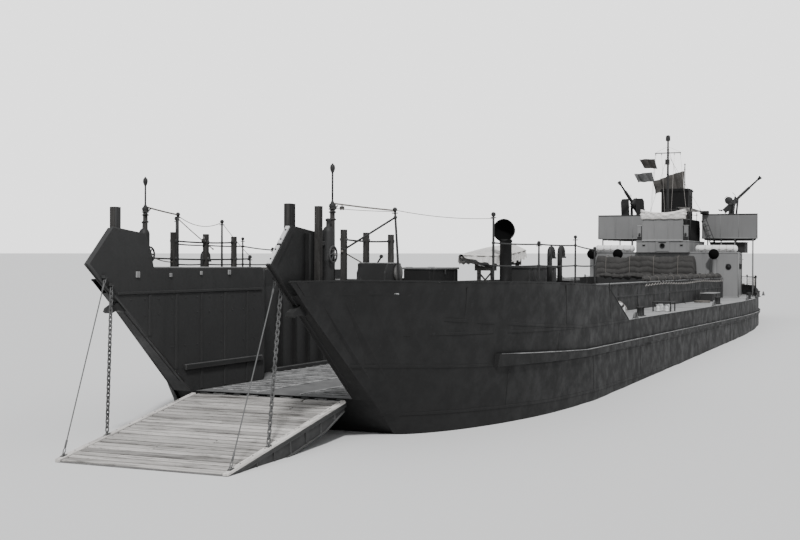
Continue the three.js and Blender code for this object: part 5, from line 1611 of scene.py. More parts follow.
# Dinghy on its crutches: a clinker boat under a canvas laced over a ridge
dinghyValues = {
    "y": 1.565, "crutches": ((7.490, 2.046), (8.350, 1.981)),
    # x, half-width, keel, gunwale, ridge of the cover
    "stations": ((7.165, 0.045, 2.125, 2.150, 2.168), (7.400, 0.150, 2.046, 2.150, 2.214),
                 (7.850, 0.198, 1.979, 2.115, 2.198),
                 (8.300, 0.203, 1.962, 2.085, 2.168), (8.700, 0.168, 1.998, 2.070, 2.128),
                 (9.100, 0.016, 2.057, 2.075, 2.083)),
}


def stationsAt(x):
    # Half-width and heights between the stations, by cubic passes through each
    table = np.array(dinghyValues["stations"])
    low = np.clip(np.searchsorted(table[:, 0], x) - 1, 0, len(table) - 2)
    slopes = np.gradient(table[:, 1:], table[:, 0], axis=0)
    span = (table[low + 1, 0] - table[low, 0])[:, None]
    t = (x - table[low, 0])[:, None] / span
    a, b = table[low, 1:], table[low + 1, 1:]
    return ((2 * t ** 3 - 3 * t ** 2 + 1) * a + (t ** 3 - 2 * t ** 2 + t) * span * slopes[low]
            + (3 * t ** 2 - 2 * t ** 3) * b + (t ** 3 - t ** 2) * span * slopes[low + 1]).T


def dinghyHull():
    # Columns along the boat; each section is half a rounded box, with a step at every plank
    x = np.linspace(7.168, 9.098, 60)
    half, keel, gunwale, _ = stationsAt(x)
    angles = np.linspace(-np.pi / 2, np.pi / 2, 41)[:, None]
    lap = 0.004 * ((np.abs(angles) / (np.pi / 2) * 5) % 1)
    y = (half + lap) * np.sign(np.sin(angles)) * np.abs(np.sin(angles)) ** 0.72
    z = gunwale - (gunwale - keel) * np.abs(np.cos(angles)) ** 0.8
    return sheet(np.stack([np.broadcast_to(x, y.shape), dinghyValues["y"] + y, z], -1), uv=False)


def dinghyCover():
    # Over the ridge and down past the gunwale; it sags between seven hoops and puckers at the lacing
    x = np.linspace(7.160, 9.112, 150)
    half, _, gunwale, ridge = stationsAt(np.clip(x, 7.168, 9.098))
    s = np.linspace(-1, 1, 61)[:, None]
    hoops = np.abs(np.sin(np.pi * (x - 7.16) / 0.28))
    sag = 0.016 * hoops * np.sin(np.pi * np.clip(np.abs(s) / 0.8, 0, 1)) * (half / 0.2)
    over = np.clip(np.abs(s) / 0.8, 0, 1)
    down = np.clip((np.abs(s) - 0.8) / 0.2, 0, 1)
    pucker = 0.006 * np.sin(2 * np.pi * x / 0.09) * down + 0.003 * np.sin(2 * np.pi * x / 0.21 + 5 * s)
    y = np.sign(s) * ((half + 0.008) * over + pucker + 0.006 * down)
    hem = down * (0.085 + 0.010 * np.sin(2 * np.pi * x / 0.18)) * (half / 0.2 + 0.2)
    z = ridge - (ridge - gunwale) * over ** 1.35 - sag - hem
    return np.stack([np.broadcast_to(x, y.shape), dinghyValues["y"] + y, z + 0.003], -1)


def crutch(x, top):
    # A timber bolster cut to the boat's bilge, on two legs with a cross brace
    y, foot = dinghyValues["y"], deckValues["fore"]
    t = np.linspace(-1, 1, 9)
    hollow = np.stack([y + t * 0.125, top - 0.030 + 0.026 * np.abs(t) ** 1.5], 1)
    outline = np.concatenate([hollow, [(y + 0.125, top - 0.075), (y - 0.125, top - 0.075)]])
    parts = [(prism(outline, "x", x - 0.022, x + 0.022), "deckTimber", 0.6)]
    for way in (-1, 1):
        parts.append((box((x - 0.018, y + way * 0.080 - 0.02, foot),
                          (x + 0.018, y + way * 0.080 + 0.02, top - 0.07), 0.004),
                      "deckTimber", 0.4))
        parts.append((rod((x + 0.016, y - way * 0.08, foot + 0.02), (x + 0.016, y + way * 0.08, top - 0.09),
                          0.010, 6),
                      "deckTimber", 0.5))
    return parts


cover = dinghyCover()
boatParts = [(dinghyHull(), "housePaint")]
gunwaleX = np.linspace(7.175, 9.095, 60)
boatHalf, boatKeel, boatGunwale, _ = stationsAt(gunwaleX)
for way in (-1, 1):
    rail = np.stack([gunwaleX, dinghyValues["y"] + way * (boatHalf + 0.004), boatGunwale - 0.004], 1)
    boatParts.append((tube(rail, 0.0085, 6), "deckTimber", 0.8))
boatParts.append((tube(np.stack([gunwaleX, 0 * gunwaleX + dinghyValues["y"], boatKeel - 0.002], 1), 0.011,
                       6), "deckTimber", 0.4))
for x, top in dinghyValues["crutches"]:
    boatParts += crutch(x, top)
makePiece("dinghy_and_crutches", boatParts, "hull", ["port_dinghy"])
coverPiece = makePiece("dinghy_cover", [(sheet(cover, flip=True), "paleCanvas")], "hull")
print("stage: dinghy")


# Side deck: a rack of drums, a lifebuoy at the foot of the slope, lockers and rope
def drumRack(x, y, z):
    # Six small drums on a slatted stand
    parts = []
    for dx in (-0.16, 0.16):
        for dy in (-0.14, 0.14):
            parts.append((slab(x + dx, y + dy, z, z + 0.150, 0.010, 0.010), "darkPaint"))
    for dy in (-0.14, 0.14):
        parts.append((slab(x, y + dy, z + 0.138, z + 0.160, 0.18, 0.012, 0.004), "darkPaint"))
    for dx in (-0.17, -0.06, 0.06, 0.17):
        parts.append((slab(x + dx, y, z + 0.142, z + 0.158, 0.010, 0.15), "darkPaint"))
    drum = turned([(0.001, 0), (0.036, 0.002), (0.039, 0.008), (0.037, 0.014), (0.037, 0.050),
                   (0.039, 0.056), (0.037, 0.062),
                   (0.037, 0.106), (0.034, 0.112), (0.001, 0.113)], (0, 0, z + 0.002), sides=16)
    parts.append((copies(drum, [(x + dx, y + dy, 0) for dx in (-0.10, 0.0, 0.10) for dy in (-0.07, 0.07)]),
                  "whitePaint"))
    return parts


def lifebuoy(x, y, z, radius, lean):
    # A ring with four bands and a grab line, leaning on the plate behind it
    angles = np.arange(40) * 2 * np.pi / 40
    turn = np.array(Euler((0, lean, 0.5)).to_matrix())
    ring = np.stack([0 * angles, radius * np.cos(angles), radius * np.sin(angles)], 1)
    parts = [(tube(ring, 0.026, 12, guide=(1, 0, 0), closed=True), "whitePaint")]
    for angle in np.arange(4) * np.pi / 2 + np.pi / 4:
        near = np.linspace(angle - 0.16, angle + 0.16, 5)
        band = np.stack([0 * near, radius * np.cos(near), radius * np.sin(near)], 1)
        parts.append((tube(band, 0.029, 12, guide=(1, 0, 0)), "darkCanvas"))
    out = radius + 0.034 + 0.008 * np.cos(4 * angles)
    line = np.stack([0.012 * np.cos(4 * angles), out * np.cos(angles), out * np.sin(angles)], 1)
    parts.append((tube(line, 0.0045, 6, guide=(1, 0, 0), closed=True), "paleRope"))
    return [(moved(shape, (x, y, z), turn), finish) for shape, finish in parts]


sideDeck = deckValues["side"] + 0.002
portSide = drumRack(1.40, 2.05, sideDeck) + lifebuoy(4.74, 2.14, sideDeck + 0.128, 0.095, 0.35)
portSide += [(ropeCoil(4.25, 1.85, sideDeck, 0.15, 7, 0.011), "rope"),
             (ropeCoil(-3.6, 1.70, sideDeck, 0.16, 8, 0.010), "rope")]
portSide += locker(-5.0, -4.2, 1.56, 1.80, sideDeck, 1.40, "afterHullPaint", "deckPaint")
starboardSide = locker(-4.4, -3.6, -1.80, -1.56, sideDeck, 1.40, "afterHullPaint", "deckPaint")
starboardSide += lifebuoy(4.74, -2.14, sideDeck + 0.128, 0.095, 0.35)
starboardSide.append((ropeCoil(3.9, -1.85, sideDeck, 0.15, 7, 0.011), "rope"))
for side, parts in (("port", portSide), ("starboard", starboardSide)):
    makePiece(f"{side}_side_deck_gear", parts, "hull")
print("stage: side deck")


# Cowl ventilators: a trunk with a collar, and a bell whose hollow mouth is painted black inside as painted
# shade
cowlValues = {
    "fore": (8.478, 1.850, 1.6903, 2.355, 0.125),
    "after": ((-7.622, 1.205), (-7.622, -1.030), (-7.622, -1.660)), "foot": 1.2215, "elbow": 2.215,
    "radius": 0.1175,
    # The bell's profile in radii, round its back, over the lip and into the throat: how far out, how far
    # along
    "bell": ((0.34, None), (0.60, -0.62), (0.78, -0.30), (0.88, 0.0), (0.96, 0.30), (1.0, 0.52),
             (1.03, 0.56),
             (1.0, 0.60), (0.95, 0.585), (0.86, 0.30), (0.72, 0.0), (0.50, -0.22)),
    # The neck's collar under the bell: radius, and how far below the elbow
    "collar": ((0.53, 1.06), (0.58, 1.02), (0.58, 0.90), (0.54, 0.84), (0.52, 0.78)),
}


def cowl(x, y, foot, elbow, radius, tail=0.78):
    # The bell is a profile about the forward axis: out round the back, over the lip and down into the throat
    back = [(0.002, -radius * tail)]
    back += [(radius * r, -radius * tail * 0.95 if a is None else radius * a) for r, a in cowlValues["bell"]]
    back.append((0.002, -radius * 0.34))
    throat = np.array(back[:8:-1])
    # A black skin just inside the throat: painted shade for the hollow
    shadedLining = np.concatenate([throat + [0, 0.003], (throat + [0, 0.001])[::-1]])
    neck = [(radius * 0.66, 0), (radius * 0.66, 0.014), (radius * 0.54, 0.022)]
    neck += [(radius * r, elbow - foot - radius * down) for r, down in cowlValues["collar"]]
    return (turned(back, (x, y, elbow), (1, 0, 0), 28), turned(neck, (x, y, foot), sides=20),
            turned(shadedLining, (x, y, elbow), (1, 0, 0), 28))


bell, neck, shadedLining = cowl(*cowlValues["fore"])
foreCowl = [(bell, "cowlPaintAndLapShadow"), (neck, "cowlPaintAndLapShadow"), (shadedLining, "paintedThroatShade")]
makePiece("fore_deck_cowl", foreCowl, "hull", ["fore_cowl"])
# The after cowls stand over solid ones, so a black disc closes the mouth as painted shade for the hollow
# throat
afterCowls = []
elbow, radius = cowlValues["elbow"], cowlValues["radius"]
mouth = [(0.001, radius * 0.575), (radius * 0.955, radius * 0.575), (radius * 0.955, radius * 0.592),
         (0.001, radius * 0.592)]
for x, y in cowlValues["after"]:
    bell, neck, _ = cowl(x, y, cowlValues["foot"], elbow, radius, 0.82)
    throatShadeDisc = turned(mouth, (x, y, elbow), (1, 0, 0), 28)
    afterCowls += [(bell, "cowlPaintAndLapShadow"), (neck, "housePaint"), (throatShadeDisc, "paintedThroatShade")]
makePiece("after_cowls", afterCowls, "hull")
print("stage: cowls")


# Deckhouse: bars round the top and foot, scuttles, grab rails and plate joints
houseValues = {
    "front": -7.772, "aft": -10.672, "frontHalf": 1.725, "aftHalf": 1.330, "top": 2.255, "foot": 1.222,
    "sideScuttles": (-8.35, -9.15, -9.95), "sideJoints": (-8.75, -9.55, -10.3),
    "frontJoints": (0.42, 0.98, 1.40),
}


def houseSide(x):
    v = houseValues
    return v["aftHalf"] + (x - v["aft"]) * (v["frontHalf"] - v["aftHalf"]) / (v["front"] - v["aft"])


def scuttle(place, outward):
    # A round window: rim, dark glass set back, and a rigol over it
    radius = 0.050
    ring = [(radius, -0.002), (radius * 1.32, -0.002), (radius * 1.32, 0.010), (radius * 1.12, 0.016),
            (radius, 0.010),
            (radius, -0.002)]
    glass = [(0.001, 0.001), (radius * 1.02, 0.001), (radius * 1.02, 0.005), (0.001, 0.007)]
    angles = np.linspace(0.25 * np.pi, 0.75 * np.pi, 9)
    across = np.cross([0, 0, 1.0], outward)
    brow = np.array(place) + np.array(outward) * 0.012 + radius * 1.62 * (
        np.cos(angles)[:, None] * across + np.sin(angles)[:, None] * np.array([0, 0, 1.0]))
    return [(turned(ring, place, outward, 20), "darkPaint"),
            (turned(glass, place, outward, 20), "glassDark"),
            (tube(brow, 0.006, 6), "housePaint")]


def houseTrim():
    v = houseValues
    corners = [(v["front"], v["frontHalf"]), (v["aft"], v["aftHalf"]), (v["aft"], -v["aftHalf"]),
               (v["front"], -v["frontHalf"])]
    parts = []
    for (xa, ya), (xb, yb) in zip(corners, corners[1:] + corners[:1]):
        for z, radius in ((v["top"] - 0.004, 0.014), (v["foot"] + 0.012, 0.013)):
            parts.append((tube([(xa, ya, z), (xb, yb, z)], radius, 8), "housePaint"))
    for x, y in corners:
        parts.append((tube([(x, y, v["foot"]), (x, y, v["top"])], 0.012, 8), "housePaint"))
    slope = np.array([v["aftHalf"] - v["frontHalf"], v["front"] - v["aft"]])
    normal = slope / np.linalg.norm(slope)
    for sign in (-1, 1):
        outward = (normal[0], sign * normal[1], 0)
        for x in v["sideScuttles"]:
            parts += scuttle((x, sign * (houseSide(x) + 0.001), 1.93), outward)
        for x in v["sideJoints"]:
            y = sign * (houseSide(x) + 0.002)
            parts.append((slab(x, y, v["foot"], v["top"] - 0.02, 0.005, 0.004, 0.001), "housePaint"))
        rail = [(x, sign * (houseSide(x) + 0.045), 2.10) for x in np.linspace(-8.1, -10.4, 9)]
        parts.append((tube(rail, 0.0075, 6), "housePaint"))
        for x, y, z in rail[::2]:
            parts.append((rod((x, y - sign * 0.046, z), (x, y, z), 0.006, 6), "housePaint"))
        for y in v["frontJoints"]:
            joint = box((v["front"] - 0.001, sign * y - 0.005, v["foot"]),
                        (v["front"] + 0.004, sign * y + 0.005, v["top"]), 0.001)
            parts.append((joint, "housePaint"))
        parts += scuttle((v["front"] + 0.001, sign * 1.50, 1.92), (1, 0, 0))
        parts += scuttle((v["aft"] - 0.001, sign * 0.35, 1.95), (-1, 0, 0))
    parts += scuttle((v["front"] + 0.001, 0.70, 1.92), (1, 0, 0))
    return parts


makePiece("deckhouse_trim", houseTrim(), "hull")


# Wheelhouse and open bridge: battens, the round port with its slit, lamp boxes, rails
bridgeValues = {"front": -7.672, "aft": -9.500, "half": 0.622, "top": 2.520, "floor": 2.5205,
                "screenFront": -7.652, "screenAft": -9.560, "screenHalf": 0.478, "screenTop": 3.040,
                "roof": 2.262, "port": 2.41, "slitY": 0.440, "compass": (-8.02, 0.02)}


def wheelhouseTrim():
    v = bridgeValues
    front, face, port, roof = v["front"], v["front"] + 0.014, v["port"], v["roof"]
    parts = []
    for y in (-0.614, -0.31, 0.31, 0.614):
        parts.append((box((front - 0.001, y - 0.007, roof), (front + 0.007, y + 0.007, v["top"]), 0.002),
                      "housePaint"))
    for y in (-0.15, 0.15):
        parts.append((box((face - 0.016, y - 0.010, 2.268), (face + 0.007, y + 0.010, v["top"] - 0.004),
                          0.002), "housePaint"))
    rim = [(0.040, -0.004), (0.060, -0.004), (0.060, 0.012), (0.050, 0.020), (0.040, 0.014), (0.040, -0.004)]
    glass = [(0.001, -0.03), (0.044, -0.03), (0.044, -0.024), (0.001, -0.022)]
    parts.append((turned(rim, (face, 0, port), (1, 0, 0), 28), "darkPaint"))
    parts.append((turned(glass, (face, 0, port), (1, 0, 0), 24), "glassDark"))
    bolts = [(face, 0.068 * c, port + 0.068 * s) for c, s in zip(*circle(8))]
    parts.append((copies(bolt(0.005, 0.004, 0.003, 0.006, axis=(1, 0, 0)), bolts), "darkSteel"))
    parts.append((box((face - 0.002, -0.085, 2.476), (face + 0.005, 0.085, 2.496), 0.002), "glassDark"))
    parts.append((box((face - 0.002, -0.095, 2.496), (face + 0.020, 0.095, 2.503), 0.002), "housePaint"))
    # Each slit beside the port has a sill, a brow and dark glass
    slit = ((-0.001, 0.008, 0.042, 2.390, 2.399, "housePaint"),
            (-0.001, 0.014, 0.042, 2.436, 2.444, "housePaint"),
            (-0.030, -0.018, 0.034, 2.399, 2.436, "glassDark"))
    for sign in (-1, 1):
        y = sign * v["slitY"]
        for back, out, half, low, high, finish in slit:
            parts.append((box((front + back, y - half, low), (front + out, y + half, high), 0.002), finish))
        side = sign * v["half"]
        for x in (-8.2, -8.8, -9.3):
            parts.append((slab(x, side, roof, v["top"], 0.007, 0.006, 0.002), "housePaint"))
        parts.append((tube([(front, side, v["top"] - 0.002), (v["aft"], side, v["top"] - 0.002)], 0.011, 8),
                      "housePaint"))
    parts.append((tube([(front + 0.004, -v["half"], v["top"] - 0.002),
                        (front + 0.004, v["half"], v["top"] - 0.002)], 0.013, 8),
                  "paleGrey"))
    return parts


def bridgeTrim():
    v = bridgeValues
    front, half, low, top = v["screenFront"], v["screenHalf"], v["floor"], v["screenTop"]
    parts = []
    for y in (-0.462, -0.183, 0.134, 0.462):
        parts.append((box((front - 0.001, y - 0.008, low + 0.002), (front + 0.008, y + 0.008, top), 0.002),
                      "housePaint"))
    for z in (low + 0.018, top - 0.012):
        parts.append((box((front - 0.001, -half, z - 0.014), (front + 0.012, half, z + 0.010), 0.003),
                      "paleGrey"))
    for sign in (-1, 1):
        side = sign * half
        parts.append((tube([(front, side, top), (v["screenAft"], side, top)], 0.010, 8), "housePaint"))
        for x in (-8.05, -8.55, -9.05, -9.5):
            parts.append((slab(x, side, low + 0.002, top, 0.007, 0.008, 0.002), "housePaint"))
        y = sign * (half - 0.035)
        for x in (-8.0, -8.7, -9.45):
            parts += ballStanchion((x, y, low + 0.02), (x, y, top + 0.17), 0.008)
        parts.append((tube([(-7.9, y, top + 0.13), (-9.5, y, top + 0.13)], 0.006, 6), "darkPaint"))
    return parts


lampValues = {"inner": 0.488, "outer": 0.590, "low": 2.522, "sill": 2.622, "high": 2.880, "aft": -7.768,
              "front": -7.676}


def lampBox(sign):
    # The lamp stands before a pale plate on the box, over a black lamp-room plate, beside a black screen
    v = lampValues
    y0, y1 = sorted((sign * v["inner"], sign * v["outer"]))
    low, sill, high, aft, front = v["low"], v["sill"], v["high"], v["aft"], v["front"]
    lamp = [(0.001, 0), (0.020, 0), (0.024, 0.01), (0.024, 0.05), (0.012, 0.065), (0.001, 0.07)]
    screen = box((aft, sign * v["inner"], low), (front + 0.014, sign * (v["inner"] + 0.012), high))
    return [(screen, "darkPaint"),
            (box((front, y0, sill), (front + 0.006, y1, high)), "housePaint"),
            (box((front - 0.002, y0 - 0.006, low), (front + 0.010, y1 + 0.006, sill)), "darkPaint"),
            (box((aft - 0.004, y0 - 0.006, high - 0.004), (front + 0.016, y1 + 0.006, high + 0.008)),
             "paleGrey"),
            (turned(lamp, (front + 0.022, (y0 + y1) / 2, sill + 0.02), sides=12), "darkPaint")]


def bridgeInside():
    # Standing gear behind the screen: a compass on its pillar, voice pipes, and a chart table
    v = bridgeValues
    floor = v["floor"] + 0.021
    pillar = [(0.070, 0), (0.060, 0.02), (0.040, 0.05), (0.040, 0.36), (0.062, 0.40), (0.070, 0.44),
              (0.070, 0.49), (0.055, 0.53),
              (0.020, 0.56), (0.001, 0.565)]
    x, y = v["compass"]
    parts = [(turned(pillar, (x, y, floor), sides=20), "darkPaint")]
    for sign in (-1, 1):
        parts.append((ball((x, y + sign * 0.085, floor + 0.43), 0.026), "darkPaint"))
    for y in (-0.24, 0.24):
        pipe = [(-7.76, y, floor), (-7.76, y, floor + 0.40), (-7.80, y, floor + 0.45),
                (-7.85, y, floor + 0.47)]
        parts.append((tube(pipe, [0.012, 0.012, 0.014, 0.024], 10), "bronze"))
    parts.append((box((-8.95, -0.42, floor + 0.30), (-8.60, 0.10, floor + 0.33), 0.005), "deckTimber", 0.6))
    for x in (-8.93, -8.62):
        for y in (-0.40, 0.08):
            parts.append((slab(x, y, floor, floor + 0.30, 0.010, 0.010, 0.002), "deckTimber", 0.4))
    return parts


makePiece("wheelhouse_trim", wheelhouseTrim(), "hull")
makePiece("bridge_trim", bridgeTrim() + lampBox(-1) + lampBox(1), "hull")
makePiece("bridge_gear", bridgeInside(), "hull")
print("stage: house and bridge")


# Canvas on the bridge: the dodger over the front rail, and a black sheet down the port side, painted shade
# for that side
dodgerValues = {"front": -7.628, "aft": -7.842, "half": 0.500, "corner": 0.045, "top": 3.262, "sag": 0.075,
                "foot": 3.036}


def dodgerCloth(values):
    # s runs round the rail in plan, v from the hem outside up over the top and a little way down inside
    half, corner = values["half"], values["corner"]
    side = values["front"] - values["aft"] - corner
    bend = corner * np.pi / 2
    total = 2 * side + 2 * bend + 2 * (half - corner)
    s = np.linspace(0, total, 180)
    edges = np.cumsum([0, side, bend, 2 * (half - corner), bend, side])
    arc = lambda start: (s - start) / corner
    x = np.select([s < edges[1], s < edges[2], s < edges[3], s < edges[4]],
                  [values["aft"] + s, values["front"] - corner + corner * np.sin(arc(edges[1])),
                   values["front"] + 0 * s,
                   values["front"] - corner + corner * np.cos(arc(edges[3]))],
                  values["front"] - corner - (s - edges[4]))
    y = np.select([s < edges[1], s < edges[2], s < edges[3], s < edges[4]],
                  [-half + 0 * s, -half + corner - corner * np.cos(arc(edges[1])),
                   -half + corner + (s - edges[2]),
                   half - corner + corner * np.sin(arc(edges[3]))], half + 0 * s)
    normal = np.stack([np.gradient(y), -np.gradient(x)], -1)
    normal /= np.linalg.norm(normal, axis=1, keepdims=True)
    across = np.clip(np.abs(y) / half, 0, 1)
    top = values["top"] - values["sag"] * (1 - across ** 2.2)
    v = np.linspace(0, 1, 40)[:, None]
    up = np.clip(v / 0.78, 0, 1)
    inside = np.clip((v - 0.78) / 0.22, 0, 1)
    gather = np.exp(-((1 - across) / 0.10) ** 2)
    fold = 0.008 * np.sin(2 * np.pi * (up * 1.7 + 0.9 * np.sin(s * 3.1) + 0.4 * across))
    fold = fold * (0.4 + 0.6 * np.sin(s * 4.3 + 1) ** 2)
    crease = 0.005 * np.sin(s * 31 + 9 * up)
    fold += 0.010 * gather * np.sin(2 * np.pi * up * 4) + crease + 0.003 * np.sin(s * 77 - 14 * up + 2)
    billow = 0.022 * np.sin(np.pi * up) ** 0.8 + fold * np.sin(np.pi * up)
    off = billow - 0.036 * np.sin(inside * np.pi / 2)
    z = values["foot"] + (top - values["foot"]) * np.sin(up * np.pi / 2) ** 0.95 - inside ** 1.5 * 0.07
    z = z + 0.006 * np.sin(s * 23) * (1 - up)
    return np.stack([x + normal[:, 0] * off, y + normal[:, 1] * off, z], -1)


dodgerPiece = makePiece("canvas_dodger", [(sheet(dodgerCloth(dodgerValues), flip=True), "paleCanvas")],
                        "hull",
                        ["bridge_dodger"])
hem = dodgerCloth(dodgerValues)[0] - [0, 0, 0.002]
makePiece("dodger_lashing", [(tube(hem[::3], 0.006, 6), "rope")], "hull")


def shadeSheet():
    # A black sheet along the bridge's port side, painted shade for that side, hanging in shallow vertical
    # folds
    x = np.linspace(-7.70, -9.545, 110)
    v = np.linspace(0, 1, 24)[:, None]
    along = x + 7.7
    fold = 0.007 * np.sin(2 * np.pi * along / 0.17) + 0.004 * np.sin(2 * np.pi * along / 0.071 + 2 * v)
    y = 0.499 + fold * (0.35 + 0.65 * v) + 0.006 * np.sin(np.pi * v)
    scallop = 0.010 * np.abs(np.sin(np.pi * along / 0.205)) * (1 - v)
    z = 3.035 - v * (0.500 + 0.010 * np.sin(2 * np.pi * x / 0.34)) - scallop
    return np.stack([np.broadcast_to(x, y.shape), y, z], -1)


shadeSheetPiece = makePiece("bridge_side_painted_shade", [(sheet(shadeSheet(), flip=True), "paintedShadeCanvas")], "hull")


def awning():
    # A strip of canvas stretched from the bridge to the port platform, hollow between its ends
    u = np.linspace(0, 1, 60)
    v = np.linspace(0, 1, 16)[:, None]
    x = -7.80 - 1.32 * u
    y = 0.30 + 0.33 * v + 0.12 * u * v
    z = 3.315 - 0.060 * u - 0.030 * np.sin(np.pi * u) * np.ones_like(v) - 0.020 * v + 0.003 * np.sin(40 * u
        + 5 * v)
    return np.stack([np.broadcast_to(x, y.shape), y, z], -1)


awningPiece = makePiece("bridge_awning", [(sheet(awning(), flip=True), "paleCanvas")], "hull")
awningFrame = []
for v in (0.0, 1.0):
    ends = [(x, 0.30 + 0.33 * v + 0.12 * u * v, 3.300 - 0.060 * u - 0.02 * v) for x,
            u in ((-7.76, 0.0), (-9.17, 1.03))]
    awningFrame.append((rod(*ends, 0.011, 8), "darkPaint"))
for x, y, low, high in ((-7.80, 0.62, 2.53, 3.32), (-7.82, 0.30, 3.04, 3.32), (-9.10, 0.70, 3.18, 3.26),
                        (-8.50, 0.50, 3.04, 3.26)):
    awningFrame.append((rod((x, y, low), (x, y, high), 0.011, 8), "darkPaint"))
awningFrame.append((box((-9.16, 0.60, 3.19), (-9.04, 0.80, 3.27), 0.006), "darkPaint"))
makePiece("awning_frame", awningFrame, "hull")
print("stage: bridge canvas")


# Gun platforms: rims, foot bars, stiffeners, bearers, a ladder, lockers below, and boxes on a floor
platformValues = {"front": -9.142, "aft": -10.642, "inner": 0.640, "frontY": 1.935, "aftY": 1.650,
                  "floor": 2.600, "top": 3.185}


def platformTrim(side):
    v = platformValues
    corners = [(v["front"], v["inner"]), (v["front"], v["frontY"]), (v["aft"], v["aftY"]),
               (v["aft"], v["inner"])]
    parts = []
    for (xa, ya), (xb, yb) in zip(corners, corners[1:] + corners[:1]):
        for z, radius, finish in ((v["top"] - 0.002, 0.013, "darkPaint"),
                                  (v["floor"] + 0.008, 0.014, "platformPaint")):
            parts.append((tube([(xa, ya, z), (xb, yb, z)], radius, 8), finish))
        run = np.array([xb - xa, yb - ya])
        out = np.array([-run[1], run[0]]) / np.linalg.norm(run)
        for t in (0.33, 0.66):
            x, y = xa + run[0] * t + out[0] * 0.004, ya + run[1] * t + out[1] * 0.004
            parts.append((rod((x, y, v["floor"] + 0.01), (x, y, v["top"]), 0.007, 6), "platformPaint"))
    for x, y in corners:
        parts.append((rod((x, y, v["floor"] - 0.002), (x, y, v["top"] + 0.002), 0.011, 8), "platformPaint"))
    for x in np.arange(v["front"] - 0.2, v["aft"], -0.3):
        reach = np.interp(x, [v["aft"], v["front"]], [v["aftY"], v["frontY"]])
        bearer = box((x - 0.012, v["inner"] + 0.01, v["floor"] - 0.034),
                     (x + 0.012, reach - 0.02, v["floor"] + 0.001))
        parts.append((bearer, "darkPaint"))
    return partsOnSide(parts, sideNames[side])


def ladder(foot, head, width, across):
    # Two stringers with a rung every 0.11 m
    foot, head, across = np.array(foot), np.array(head), np.array(across, float)
    parts = [rod(foot + across * w, head + across * w, 0.009, 8) for w in (-width / 2, width / 2)]
    count = int(np.linalg.norm(head - foot) / 0.11)
    for t in (np.arange(count) + 0.6) / count:
        middle = foot + (head - foot) * t
        parts.append(rod(middle - across * width / 2, middle + across * width / 2, 0.0065, 6))
    return parts


platformParts = {side: platformTrim(side) for side in sideNames}
platformParts["port"] += [(shape, "darkPaint") for shape in
                          ladder((-9.02, 1.00, 2.262), (-9.085, 0.68, 3.06), 0.17, (0.45, 0.72, 0.29))]
platformParts["port"] += locker(-9.75, -9.30, 0.80, 1.62, 2.257, 2.520, "darkPaint", "darkPaint")
platformParts["starboard"] += locker(-9.75, -9.30, -0.98, -0.66, 2.257, 2.560, "darkPaint", "darkPaint")
for x, y in ((-9.45, -0.75), (-10.3, -0.80)):
    platformParts["starboard"].append((slab(x, y, 2.625, 2.77, 0.10, 0.07, 0.008), "darkPaint"))
for side, parts in platformParts.items():
    makePiece(f"{side}_platform_trim", parts, "hull")
print("stage: gun platforms")


# Funnel: bands before and behind the casing, a dark mouth with two pipes, rungs and a steam pipe
funnelValues = {"x": -9.955, "y": -0.150, "halfX": 0.275, "halfY": 0.335, "foot": 2.256,
                "steamPipe": -10.262,
                "clips": (2.60, 3.10, 3.60), "bands": (2.29, 2.80, 3.32)}


def funnelTrim():
    v = funnelValues
    low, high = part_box("funnel")
    parts = [(box((low[0] + 0.03, low[1] + 0.03, high[2] - 0.055),
                  (high[0] - 0.03, high[1] - 0.03, high[2] - 0.05), 0.001),
              "glassDark")]
    for dx, dy in ((-0.09, 0.10), (0.10, -0.08)):
        pipe = [(0.052, 0), (0.052, 0.045), (0.046, 0.045), (0.045, 0.004)]
        parts.append((turned(pipe, (v["x"] + dx, v["y"] + dy, high[2] - 0.05), sides=18), "darkPaint"))
    x, y, side = v["x"], v["y"], v["y"] + v["halfY"]
    for z in np.arange(v["foot"] + 0.22, 3.70, 0.17):
        rung = [(x - 0.06, side - 0.004, z), (x - 0.06, side + 0.030, z), (x + 0.06, side + 0.030, z),
                (x + 0.06, side - 0.004, z)]
        parts.append((tube(rung, 0.006, 6), "darkPaint"))
    pipe = [(v["steamPipe"], y, v["foot"]), (v["steamPipe"], y, 3.80), (v["steamPipe"], y, 3.90)]
    parts.append((tube(pipe, [0.022, 0.022, 0.024], 10), "darkPaint"))
    for z in v["clips"]:
        parts.append((box((-10.290, y - 0.032, z), (-10.228, y + 0.032, z + 0.020)), "darkPaint"))
    for z in v["bands"]:
        for edge in (x - v["halfX"], x + v["halfX"]):
            parts.append((slab(edge, y, z, z + 0.028, 0.005, v["halfY"] * 0.86, 0.002), "darkPaint"))
    return parts


makePiece("funnel_trim", funnelTrim(), "hull")


# Mast: bands, cleats, stays, halyards, lamps under the yard, and the cage of the lantern at the head
mastValues = {
    "x": -8.222, "yard": 4.620, "head": 4.905, "cap": 5.012,
    "bands": ((2.60, 0.040), (3.30, 0.036), (4.10, 0.031), (4.56, 0.029), (4.68, 0.029)),
    "yardLamps": (-0.295, -0.150, 0.150, 0.295), "cleats": (2.72, 2.84), "cage": 0.054,
}


